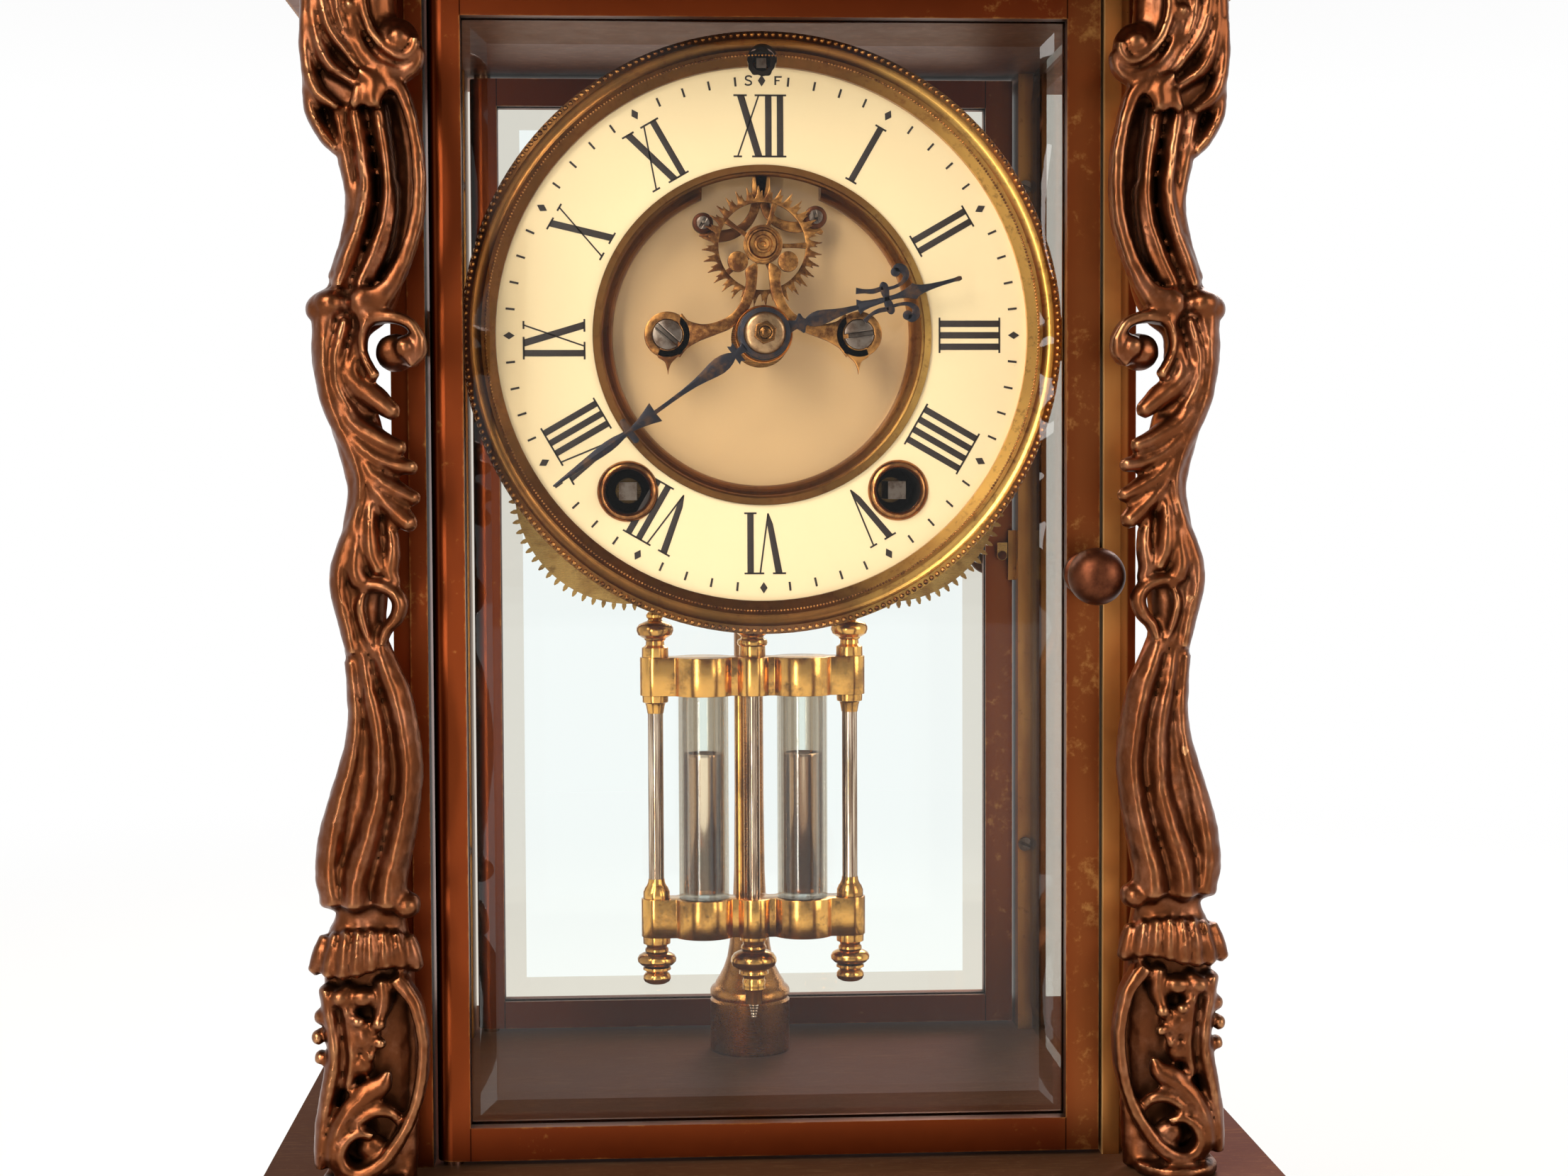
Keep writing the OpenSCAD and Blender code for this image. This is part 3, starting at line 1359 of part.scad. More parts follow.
finial_up = 9.8;
finial_down = 9.5;
finial_shares = [[1, 0], [1, 0.12], [0.45, 0.2], [0.9, 0.4], [0.9, 0.5], [0.35, 0.62], [0.5, 0.74]];
module finial(r, h) {
    rotate_extrude() polygon(concat([[0, 0]], sized(finial_shares, r, h), bow([r * 0.5, h * 0.74], [0, h], -r * 0.2)));
}
module jar_columns() {
    low = jar_base_up - jar_plate_t;
    for (side = [-1, 1]) at_glass(side * column_x, pendulum_y, 0) {
        color("silver") translate([0, 0, low]) cylinder(r = column_r, h = jar_top_up - low);
        color("gold") {
            for (z = [jar_base_up + seat, jar_top - step_h - seat]) translate([0, 0, z])
                cylinder(r = collar_r, h = step_h);
            translate([0, 0, jar_top_up + seat / 2]) finial(collar_r, finial_up);
            translate([0, 0, low - seat / 2]) mirror([0, 0, 1]) finial(collar_r, finial_down);
        }
    }
}

module jar_vials() {
    h = jar_top - jar_base_up - 2 * seat;
    color([0.9, 0.95, 0.95, 0.4]) for (side = [-1, 1]) at_glass(side * vial_x, pendulum_y, jar_base_up + seat) difference() {
        cylinder(d = jar_dia, h = h);
        translate([0, 0, jar_wall]) cylinder(r = jar_dia / 2 - jar_wall, h = h);
    }
}

module jar_fillings() {
    color("gainsboro") for (side = [-1, 1])
        at_glass(side * vial_x, pendulum_y, jar_base_up + seat + jar_wall)
        cylinder(r = jar_dia / 2 - jar_wall - run, h = filling_h - jar_wall - seat);
}

thread_low = 3;
nut_r = 4.6;
nut_h = 12;
nut_shares = [[1, 0], [1, 0.22], [0.6, 0.3], [0.85, 0.46], [0.85, 0.62], [0.4, 0.72], [0.5, 0.84], [0.32, 1]];
module pendulum_rod() {
    low = jar_base_up - jar_plate_t;
    color("silver") {
        translate([0, front_y + pendulum_y, glass_z + low]) cylinder(r = rod_r, h = dial_up + chop_low - low);
        at_glass(0, pendulum_y, thread_low) cylinder(r = rod_r * 0.8, h = low - thread_low + seat);
    }
    color("gold") {
        at_glass(0, pendulum_y + back_rod, jar_base_up + seat) cylinder(r = rod_r, h = jar_top - jar_base_up - 2 * seat);
        at_dial(0, pendulum_y, chop_low - 2 * rod_r) cylinder(r = 2 * rod_r, h = 2 * rod_r);
    }
}

module rating_nut() {
    top = jar_base_up - jar_plate_t - seat;
    color("gold") at_glass(0, pendulum_y, top) mirror([0, 0, 1]) difference() {
        rotate_extrude() polygon(concat([[0, 0]], sized(nut_shares, nut_r, nut_h), [[0, nut_h]]));
        translate([0, 0, -cut]) cylinder(r = rod_r * 0.8 + run, h = nut_h + 2 * cut);
    }
}

base_plinth();
feet();
floor_plate();
post_front_left();
post_front_right();
post_rear_left();
post_rear_right();
side_glass_left();
side_glass_right();
top_canopy();
top_finial();
pillar_left();
pillar_right();
case_screws();
hinge_pins();
front_door_frame();
front_door_glass();
front_door_knob();
front_door_catch();
rear_door_frame();
rear_door_glass();
rear_door_knob();
rear_door_catch();
bezel();
chapter_ring();
dial_numerals();
inner_ring();
centre_pan();
winding_eyelets();
hour_hand();
minute_hand();
hand_nut();
front_plate();
back_plate();
movement_brackets();
time_barrel();
strike_barrel();
time_arbor();
strike_arbor();
centre_arbor();
minute_wheel();
hour_wheel();
intermediate_wheel();
third_wheel();
escape_wheel();
escape_bridge();
bridge_screws();
pallet_anchor();
suspension_cock();
suspension_spring();
regulator_arbor();
strike_hammer();
gong_coil();
gong_stand();
pendulum_rod();
jar_plates();
jar_columns();
jar_vials();
jar_fillings();
rating_nut();
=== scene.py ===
"""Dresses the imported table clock: finishes, beads, cast ornament, hands and glass, in a studio."""

import json
import math

import bmesh
import bpy
from mathutils import Matrix, Vector, noise
from mathutils.bvhtree import BVHTree


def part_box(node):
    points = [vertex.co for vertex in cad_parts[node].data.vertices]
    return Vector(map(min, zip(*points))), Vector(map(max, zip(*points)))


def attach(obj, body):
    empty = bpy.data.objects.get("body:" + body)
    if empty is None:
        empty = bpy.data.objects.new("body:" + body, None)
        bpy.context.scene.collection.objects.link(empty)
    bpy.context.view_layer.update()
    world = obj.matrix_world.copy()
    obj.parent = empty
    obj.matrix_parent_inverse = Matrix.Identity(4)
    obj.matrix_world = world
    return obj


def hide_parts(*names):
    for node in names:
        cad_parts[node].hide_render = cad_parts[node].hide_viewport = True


bl_info = {
    "name": "Four-glass Table Clock",
    "version": (1, 0, 0),
    "blender": (4, 5, 0),
    "location": "3D View > Sidebar > Clock",
    "description": "Finishes and ornament for a four-glass table clock with scroll pillars",
    "category": "Object",
}

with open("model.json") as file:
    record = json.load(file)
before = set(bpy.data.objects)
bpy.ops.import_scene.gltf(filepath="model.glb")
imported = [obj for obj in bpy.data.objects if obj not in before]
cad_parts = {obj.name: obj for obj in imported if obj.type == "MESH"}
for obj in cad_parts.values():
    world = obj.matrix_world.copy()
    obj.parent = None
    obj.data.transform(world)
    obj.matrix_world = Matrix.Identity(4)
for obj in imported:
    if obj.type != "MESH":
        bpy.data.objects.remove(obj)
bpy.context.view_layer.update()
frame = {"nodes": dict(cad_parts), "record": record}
NODES = frame["nodes"]
MM = 0.001


def corners(node):
    """Lowest and highest corner of a node at rest, as vectors in metres."""
    low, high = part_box(node)
    return Vector(low), Vector(high)


# Places read from the frame: the front door's corners, its glass opening, and the dial's centre
DOOR_LOW, DOOR_HIGH = corners("front_door_frame")
BEZEL_LOW, BEZEL_HIGH = corners("bezel")
FLOOR_TOP = corners("floor_plate")[1].z
DOOR_FRONT = DOOR_LOW.y
RAIL = 6.5 * MM
GLASS_Z = DOOR_LOW.z + RAIL
DOOR_MIDDLE = (DOOR_LOW.z + DOOR_HIGH.z) / 2
OPENING_HALF = DOOR_MIDDLE - GLASS_Z
DIAL = Vector((0, DOOR_FRONT, (BEZEL_LOW.z + BEZEL_HIGH.z) / 2))

# Camera, solved from the photograph: place in millimetres from the bottom middle of the front glass
PHOTO_WIDTH = 2212
PHOTO_FOCAL = 3419.3
SENSOR = 36.0
CAMERA_AT = (-23.27, -469.89, 126.95)
CAMERA_RIGHT = (0.99840903, -0.05624725, -0.00395558)
CAMERA_UP = (0.00655258, 0.04606186, 0.9989171)
CAMERA_FORWARD = (0.05600413, 0.99735377, -0.04635714)


class Wire:
    """A number socket of a graph; arithmetic on it adds Math nodes."""

    def __init__(self, graph, socket):
        self.graph = graph
        self.socket = socket

    def _with(self, operation, *values):
        return self.graph.wire("ShaderNodeMath", values, operation=operation)

    def __add__(self, other):
        return self._with("ADD", self, other)

    __radd__ = __add__

    def __sub__(self, other):
        return self._with("SUBTRACT", self, other)

    def __rsub__(self, other):
        return self._with("SUBTRACT", other, self)

    def __mul__(self, other):
        return self._with("MULTIPLY", self, other)

    __rmul__ = __mul__

    def __truediv__(self, other):
        return self._with("DIVIDE", self, other)

    def __abs__(self):
        return self._with("ABSOLUTE", self)

    def least(self, other):
        return self._with("MINIMUM", self, other)

    def most(self, other):
        return self._with("MAXIMUM", self, other)

    def over(self, low, high):
        """Eases from 0 at low to 1 at high."""
        values = {"Value": self, "From Min": low, "From Max": high}
        return self.graph.wire("ShaderNodeMapRange", values, interpolation_type="SMOOTHSTEP")

    def within(self, rise, fall):
        """1 along a stretch, which eases in over the two places of rise and out over those of fall."""
        return self.over(*rise) * (1.0 - self.over(*fall))


class Graph:
    """Fills an emptied node tree."""

    def __init__(self, tree):
        self.nodes = tree.nodes
        self.links = tree.links
        self.nodes.clear()

    def put(self, socket, value):
        """Links a wire or a socket to a socket, or sets its value."""
        if isinstance(value, Wire):
            value = value.socket
        if isinstance(value, bpy.types.NodeSocket):
            self.links.new(value, socket)
            return
        if socket.type == "RGBA" and len(value) == 3:
            value = (*value, 1.0)
        socket.default_value = value

    def node(self, kind, values=(), **settings):
        """A node of a kind; its settings are set first, then the values or links of its sockets."""
        node = self.nodes.new(kind)
        for name, value in settings.items():
            setattr(node, name, value)
        pairs = values.items() if isinstance(values, dict) else enumerate(values)
        for key, value in pairs:
            self.put(node.inputs[key], value)
        return node

    def made(self, kind, values=(), **settings):
        """The first output of a new node."""
        return self.node(kind, values, **settings).outputs[0]

    def wire(self, kind, values=(), **settings):
        """The first output of a new node, as a number to reckon with."""
        return Wire(self, self.made(kind, values, **settings))

    def blend(self, factor, first, second):
        """Two shaders mixed: the first where the factor is 0, the second where it is 1."""
        return self.made("ShaderNodeMixShader", {0: factor, 1: first, 2: second})

    def distance(self, place):
        """How far a place is from the origin of its coordinates."""
        return Wire(self, self.node("ShaderNodeVectorMath", [place], operation="LENGTH").outputs["Value"])


class Finish(Graph):
    """Builds one procedural material on Object coordinates."""

    def __init__(self, name):
        self.material = bpy.data.materials.new(name)
        self.material.use_nodes = True
        super().__init__(self.material.node_tree)
        self.shader = self.node("ShaderNodeBsdfPrincipled")
        self.output = self.node("ShaderNodeOutputMaterial", {"Surface": self.shader.outputs[0]})
        self.place = self.node("ShaderNodeTexCoord").outputs["Object"]

    def squashed(self, scale):
        """Object coordinates stretched by three scales."""
        return self.made("ShaderNodeMapping", {"Vector": self.place, "Scale": scale})

    def noise(self, scale, detail=4.0, rough=0.55, place=None):
        values = {"Vector": place or self.place, "Scale": scale, "Detail": detail, "Roughness": rough}
        return self.wire("ShaderNodeTexNoise", values)

    def cells(self, scale, feature="F1", place=None):
        values = {"Vector": place or self.place, "Scale": scale}
        return self.wire("ShaderNodeTexVoronoi", values, feature=feature)

    def mix(self, factor, a, b):
        """Colour a where the factor is 0 and colour b where it is 1."""
        return self.node("ShaderNodeMix", {0: factor, 6: a, 7: b}, data_type="RGBA").outputs[2]

    def edge(self, width):
        """How sharply the surface turns within width: 0 on flats and up to about 0.3 on square edges."""
        rounded = self.made("ShaderNodeBevel", {"Radius": width}, samples=6)
        plain = self.node("ShaderNodeNewGeometry").outputs["Normal"]
        along = self.node("ShaderNodeVectorMath", [rounded, plain], operation="DOT_PRODUCT")
        return 1.0 - Wire(self, along.outputs["Value"])

    def hollow(self, reach):
        """How open the surface is within reach: 1 in the open and towards 0 deep in a hollow."""
        sky = self.node("ShaderNodeAmbientOcclusion", {"Distance": reach}, samples=4)
        return Wire(self, sky.outputs["AO"])

    def ridge(self):
        """Pointiness of a dense mesh: about 0.5 on flats, more on ridges, less in hollows."""
        return Wire(self, self.node("ShaderNodeNewGeometry").outputs["Pointiness"])

    def bump(self, height, depth, strength):
        """Normal for a height of 0 to 1 that stands depth metres tall."""
        return self.made("ShaderNodeBump", {"Height": height, "Distance": depth, "Strength": strength})

    def set(self, **sockets):
        """Sets the shader's sockets, named with low lines for spaces, and gives the material."""
        for name, value in sockets.items():
            self.put(self.shader.inputs[name.replace("_", " ")], value)
        return self.material

    def metal(self, colour, rough, normal):
        """Sets a bare metal surface and gives the material."""
        return self.set(Base_Color=colour, Metallic=1.0, Roughness=rough, Normal=normal)


# Colours of the finishes
DARK_PATINA_AND_SHADE = (0.018, 0.007, 0.003)
COPPER_BROWN = (0.115, 0.036, 0.014)
WORN_GOLD_AND_HIGHLIGHT = (0.55, 0.27, 0.12)
CASE_RED = (0.24, 0.047, 0.010)
CASE_GOLD = (0.46, 0.20, 0.055)
BEZEL_GOLD = (0.52, 0.225, 0.060)
DEEP_BROWN = (0.11, 0.036, 0.012)
BRIGHT_BRASS = (0.52, 0.30, 0.095)
GILT = (0.80, 0.40, 0.095)
CREAM = (0.88, 0.68, 0.40)

# Stretches across the case in metres from its middle, where the right side gets painted light and a painted
# glint: where each eases in, and where it eases out
LIT_AND_WORN_STILE = ((0.056, 0.062), (0.0635, 0.068))
LIT_POST_FACE = ((0.0650, 0.0656), (0.0706, 0.0712))
PAINTED_GLINT_LINE = ((0.06535, 0.06550), (0.06580, 0.06600))


def cast_bronze(name):
    """Cast bronze: copper-brown, nearly black in its hollows from patina and painted shade, and gold on its
    ridges from wear and a painted highlight.
    """
    f = Finish(name)
    cloud = f.noise(90, 5)
    open_sky = f.hollow(7 * MM)
    ridge = f.ridge() + (cloud - 0.5) * 0.06
    body = f.mix(f.noise(35, 4), COPPER_BROWN, (0.16, 0.048, 0.016))
    body = f.mix(f.noise(140, 4, 0.7).over(0.45, 0.7) * 0.6, body, (0.25, 0.10, 0.052))
    # Ridges go gold, more where the surface is open: partly wear, partly a painted highlight
    rubbed = (ridge.over(0.518, 0.60) * (0.3 + 0.7 * open_sky)).least(1.0)
    worn = f.mix(rubbed, body, WORN_GOLD_AND_HIGHLIGHT)
    # Concave and occluded hollows go nearly black: partly patina, partly painted shade
    deep = (1.0 - ridge.over(0.43, 0.50)).most(1.0 - open_sky.over(0.2, 0.75))
    colour = f.mix(deep * 0.92, worn, DARK_PATINA_AND_SHADE)
    grain = f.noise(900, 3) * 0.35 + f.noise(260, 3) * 0.65
    rough = 0.22 + f.noise(160, 3) * 0.20 + deep * 0.25
    return f.metal(colour, rough, f.bump(grain, 0.14 * MM, 0.6))


def case_brass(name):
    """Aged case brass: red-brown lacquer, worn to gold in patches and along edges, with painted shade where
    parts meet and along the glass opening, and painted light with a painted glint on the right stile and
    post.
    """
    f = Finish(name)
    fine = f.noise(420, 5, 0.65)
    patches = f.noise(55, 6, 0.7) * 0.55 + fine * 0.45
    apart = f.node("ShaderNodeSeparateXYZ", [f.place])
    right = Wire(f, apart.outputs["X"])
    up = Wire(f, apart.outputs["Z"])
    # The right stile only is lightened and worn more: partly wear, partly painted light from the right
    lit_and_worn_stile = right.within(*LIT_AND_WORN_STILE) * 0.8
    edge = f.edge(0.8 * MM)
    worn = ((patches - 0.56 + lit_and_worn_stile * 0.085) * 6.0 + edge * 5.0 * fine).over(0.2, 1.0)
    body = f.mix(f.noise(28, 3), CASE_RED, (0.13, 0.025, 0.008))
    body = f.mix(lit_and_worn_stile * 0.55, body, (0.30, 0.10, 0.028))
    # The right post's front is painted golden as a lit face: painted light
    body = f.mix(right.within(*LIT_POST_FACE) * 0.9, body, (0.62, 0.26, 0.068))
    colour = f.mix(worn, body, CASE_GOLD)
    spots = (1.0 - f.cells(520).over(0.02, 0.06)) * patches.over(0.45, 0.6)
    colour = f.mix(spots, colour, (0.03, 0.010, 0.005))
    # Ambient occlusion darkens recesses and where parts meet: painted shade
    joint_shade = 1.0 - f.hollow(4 * MM).over(0.25, 0.72)
    colour = f.mix(joint_shade, colour, (0.010, 0.004, 0.002))
    # A thin bright line on the right post: a painted highlight
    colour = f.mix(right.within(*PAINTED_GLINT_LINE) * 0.7, colour, (0.90, 0.52, 0.20))
    # A dark line along the glass opening's inner edges: painted shade
    beyond = abs(abs(right) - (DOOR_HIGH.x - RAIL)).over(0.06 * MM, 0.20 * MM)
    seam_shade = (1.0 - beyond) * abs(up - DOOR_MIDDLE).over(OPENING_HALF, OPENING_HALF + 0.1 * MM)
    colour = f.mix(seam_shade * 0.85, colour, (0.012, 0.005, 0.002))
    rough = 0.24 + patches * 0.2 + joint_shade * 0.3
    streak = f.noise(60, 3, place=f.squashed((40, 40, 1.4)))
    return f.metal(colour, rough, f.bump(streak * 0.5 + fine * 0.5, 0.03 * MM, 0.5))


def plinth_bronze(name):
    """Cast bronze on plain mouldings: copper-brown, dark in the hollows from patina and painted shade, and
    rubbed along the edges.
    """
    f = Finish(name)
    cloud = f.noise(60, 5)
    fine = f.noise(420, 4, 0.65)
    open_sky = f.hollow(7 * MM)
    body = f.mix(f.noise(24, 4), (0.13, 0.040, 0.015), (0.21, 0.074, 0.028))
    body = f.mix(fine.over(0.48, 0.70) * 0.6, body, (0.30, 0.12, 0.055))
    rubbed = (f.edge(1.3 * MM) * 5.0 * (0.4 + cloud)).over(0.1, 0.8)
    worn = f.mix(rubbed * 0.8, body, (0.52, 0.26, 0.11))
    # Occluded hollows go nearly black: partly patina, partly painted shade
    deep = 1.0 - open_sky.over(0.18, 0.70)
    colour = f.mix(deep * 0.92, worn, DARK_PATINA_AND_SHADE)
    rough = 0.34 + f.noise(130, 3) * 0.2 + deep * 0.2
    return f.metal(colour, rough, f.bump(fine * 0.4 + cloud * 0.6, 0.10 * MM, 0.6))


def post_gold(name):
    """The rear posts: old gold with brown smears that run upright."""
    f = Finish(name)
    smear = f.noise(46, 4, 0.6, place=f.squashed((1, 1, 0.22)))
    speck = f.noise(500, 4, 0.7)
    colour = f.mix(smear.over(0.42, 0.62), (0.50, 0.235, 0.066), (0.24, 0.085, 0.024))
    colour = f.mix(speck.over(0.58, 0.72) * 0.5, colour, (0.10, 0.035, 0.012))
    # Ambient occlusion darkens recesses and where parts meet: painted shade
    joint_shade = 1.0 - f.hollow(4 * MM).over(0.25, 0.7)
    colour = f.mix(joint_shade * 0.85, colour, (0.02, 0.008, 0.004))
    return f.metal(colour, 0.26 + smear * 0.18, f.bump(speck, 0.02 * MM, 0.5))


def aged_brass(name, base=BEZEL_GOLD, dark=DEEP_BROWN, gloss=0.24):
    """Turned brass gone dull: brown speckles over old gold."""
    f = Finish(name)
    cloud = f.noise(60, 6, 0.65)
    speck = f.noise(600, 4, 0.7)
    tarnish = (cloud * 0.6 + speck * 0.4 - 0.40).over(0.0, 0.2)
    colour = f.mix(tarnish, base, dark)
    return f.metal(colour, gloss + cloud * 0.22, f.bump(speck, 0.02 * MM, 0.5))


def bezel_brass(name):
    """The dial's brass rings: copper-brown at the left and gold round the right, a painted light from the
    right side.
    """
    f = Finish(name)
    cloud = f.noise(60, 6, 0.65)
    speck = f.noise(600, 4, 0.7)
    across = Wire(f, f.node("ShaderNodeSeparateXYZ", [f.place]).outputs["X"])
    # Gold towards the right, brown to the left: painted light from the right side
    lit_right = (across + (cloud - 0.5) * 0.03).over(0.014, 0.050)
    brown = f.mix(cloud.over(0.4, 0.62), (0.17, 0.051, 0.014), (0.080, 0.022, 0.007))
    gold = f.mix(speck.over(0.5, 0.7) * 0.6, (0.92, 0.50, 0.12), (0.26, 0.090, 0.022))
    colour = f.mix(0.10 + lit_right * 0.82, brown, gold)
    groove = f.noise(500, 2)
    return f.metal(colour, 0.22 + cloud * 0.24, f.bump(groove, 0.02 * MM, 0.5))


def bright_brass(name, base=BRIGHT_BRASS, gloss=0.16):
    """Bright brass with faint brushing and brown spots, and painted shade where parts meet."""
    f = Finish(name)
    brushed = f.noise(90, 3, place=f.squashed((2, 60, 60)))
    cloud = f.noise(110, 5, 0.65)
    spots = f.noise(300, 5, 0.7).over(0.56, 0.70)
    colour = f.mix(cloud.over(0.42, 0.66) * 0.75, base, (0.24, 0.10, 0.028))
    colour = f.mix(spots * 0.6, colour, (0.13, 0.048, 0.016))
    # Ambient occlusion darkens where parts meet: painted shade
    joint_shade = 1.0 - f.hollow(1.6 * MM).over(0.25, 0.8)
    colour = f.mix(joint_shade * 0.85, colour, (0.035, 0.012, 0.004))
    return f.metal(colour, gloss + brushed * 0.14 + cloud * 0.08, f.bump(brushed, 0.012 * MM, 0.5))


def steel(name):
    """Plain polished steel, warm in tone, with painted reflection streaks that run upright."""
    f = Finish(name)
    streak = f.noise(120, 4, place=f.squashed((12, 12, 0.5)))
    # Upright bright and dark streaks in the colour: painted reflections
    colour = f.mix(streak.over(0.35, 0.65), (0.76, 0.57, 0.42), (0.26, 0.155, 0.095))
    return f.metal(colour, 0.09 + streak * 0.10, f.bump(streak, 0.01 * MM, 0.5))


def screw_steel(name):
    """Old screw heads: brown-grey steel, with painted shade in the slot."""
    f = Finish(name)
    bloom = f.noise(320, 5, 0.65)
    colour = f.mix(bloom.over(0.4, 0.65), (0.20, 0.15, 0.12), (0.085, 0.050, 0.034))
    # Ambient occlusion darkens the slot and other hollows: painted shade
    colour = f.mix(1.0 - f.hollow(1.2 * MM).over(0.35, 0.8), colour, (0.012, 0.007, 0.005))
    return f.metal(colour, 0.26 + bloom * 0.2, f.bump(bloom, 0.02 * MM, 0.5))


def dark_steel(name, base=(0.018, 0.016, 0.022), rust=(0.075, 0.035, 0.02)):
    """Blued steel gone nearly black, with a brown bloom."""
    f = Finish(name)
    bloom = f.noise(380, 5, 0.65)
    colour = f.mix(bloom.over(0.48, 0.68), base, rust)
    normal = f.bump(bloom, 0.02 * MM, 0.6)
    return f.set(Base_Color=colour, Metallic=0.75, Roughness=0.28 + bloom * 0.25, Normal=normal)


# The enamel's cracks: the middle of each group in millimetres from the dial's centre, and its turn
CRACKS = (((-22, 42), 0.9), ((32, -36), -0.7))


def enamel(name, base=CREAM, shade=(0.82, 0.60, 0.34)):
    """Fired cream enamel with a faint waviness and hairline cracks at the upper left and lower right."""
    f = Finish(name)
    tone = f.noise(18, 3)
    colour = f.mix(tone, base, shade)
    for (x, z), angle in CRACKS:
        middle = (x * MM, 0, DIAL.z + z * MM)
        moved = f.made("ShaderNodeVectorMath", [f.place, middle], operation="SUBTRACT")
        near = 1.0 - f.distance(moved).over(14 * MM, 24 * MM)
        leaning = f.made("ShaderNodeVectorRotate", {"Vector": moved, "Angle": angle}, rotation_type="Y_AXIS")
        lines = f.cells(48, "DISTANCE_TO_EDGE", leaning)
        wander = f.noise(300, 3) * 0.02
        hair = (1.0 - (lines + wander - 0.01).over(0.0, 0.022)) * near
        colour = f.mix(hair * 0.62, colour, (0.42, 0.44, 0.26))
    specks = f.cells(330).over(0.05, 0.02) * f.noise(70, 2).over(0.5, 0.62)
    colour = f.mix(specks * 0.35, colour, (0.35, 0.26, 0.13))
    wave = f.noise(40, 2)
    return f.set(
        Base_Color=colour, Roughness=0.16 + tone * 0.06, Coat_Weight=0.6, Coat_Roughness=0.06,
        Specular_IOR_Level=0.5, Normal=f.bump(wave, 0.05 * MM, 0.35)
    )


def ink(name):
    """Black fired strokes with a soft sheen."""
    f = Finish(name)
    tone = f.noise(900, 3)
    colour = f.mix(tone, (0.014, 0.008, 0.006), (0.038, 0.022, 0.016))
    normal = f.bump(tone, 0.01 * MM, 0.4)
    return f.set(Base_Color=colour, Roughness=0.42 + tone * 0.2, Specular_IOR_Level=0.3, Normal=normal)


def plate_glass(name, tint=(0.975, 0.99, 0.985)):
    """Clear old glass: light passes straight through, less where a bevel slopes, which is painted shade, and
    its faces reflect.
    """
    f = Finish(name)
    smear = f.noise(24, 4, 0.6)
    clear = f.made("ShaderNodeBsdfTransparent", {"Color": tint})
    gloss = f.made("ShaderNodeBsdfGlossy", {"Color": (1, 1, 1), "Roughness": 0.02})
    facing = f.wire("ShaderNodeFresnel", {"IOR": 1.45})
    face = f.node("ShaderNodeNewGeometry").outputs["True Normal"]
    spaces = {"vector_type": "NORMAL", "convert_from": "WORLD", "convert_to": "OBJECT"}
    face = f.made("ShaderNodeVectorTransform", [face], **spaces)
    x, y, z = (abs(Wire(f, part)) for part in f.node("ShaderNodeSeparateXYZ", [face]).outputs)
    # Sloped bevel faces let through a darker tint: painted shade
    sloped = 1.0 - x.most(y).most(z).over(0.970, 0.985)
    shaded = f.made("ShaderNodeBsdfTransparent", {"Color": (0.78, 0.73, 0.66)})
    body = f.blend(sloped, clear, shaded)
    f.put(f.output.inputs["Surface"], f.blend(facing * 0.34 + smear * 0.006 + sloped * 0.03, body, gloss))
    f.nodes.remove(f.shader)
    return f.material


def dark_hole(name):
    """The unlit inside of a hole: nearly black, with a dusty bloom."""
    f = Finish(name)
    bloom = f.noise(400, 4)
    colour = f.mix(bloom, (0.006, 0.004, 0.003), (0.020, 0.010, 0.006))
    normal = f.bump(bloom, 0.03 * MM, 0.5)
    return f.set(Base_Color=colour, Roughness=0.7 + bloom * 0.2, Specular_IOR_Level=0.15, Normal=normal)


def mercury(name):
    """Silvery filling with soft vertical streaks of painted reflection."""
    f = Finish(name)
    streak = f.noise(330, 3, place=f.squashed((1, 1, 0.03)))
    # Vertical bright and dark streaks in the colour: painted reflections
    colour = f.mix(streak.over(0.40, 0.60), (0.97, 0.74, 0.56), (0.30, 0.14, 0.07))
    normal = f.bump(streak, 0.02 * MM, 0.4)
    return f.set(Base_Color=colour, Metallic=0.8, Roughness=0.08 + streak * 0.07, Normal=normal)


def floor_metal(name):
    """Dark brown-grey floor plate with fine scratches and a dusty bloom."""
    f = Finish(name)
    cloud = f.noise(26, 5, 0.6)
    dust = f.noise(900, 4, 0.7)
    scratch = f.noise(60, 2, place=f.squashed((2.5, 60, 1))).over(0.60, 0.66)
    colour = f.mix(cloud, (0.070, 0.029, 0.013), (0.11, 0.050, 0.024))
    colour = f.mix(dust.over(0.55, 0.75) * 0.3, colour, (0.22, 0.14, 0.085))
    colour = f.mix(scratch * 0.3, colour, (0.26, 0.15, 0.07))
    return f.set(
        Base_Color=colour, Metallic=0.6, Roughness=0.42 + cloud * 0.2, Specular_IOR_Level=0.1,
        Specular_Tint=(0.34, 0.16, 0.07), Normal=f.bump(dust, 0.015 * MM, 0.5)
    )


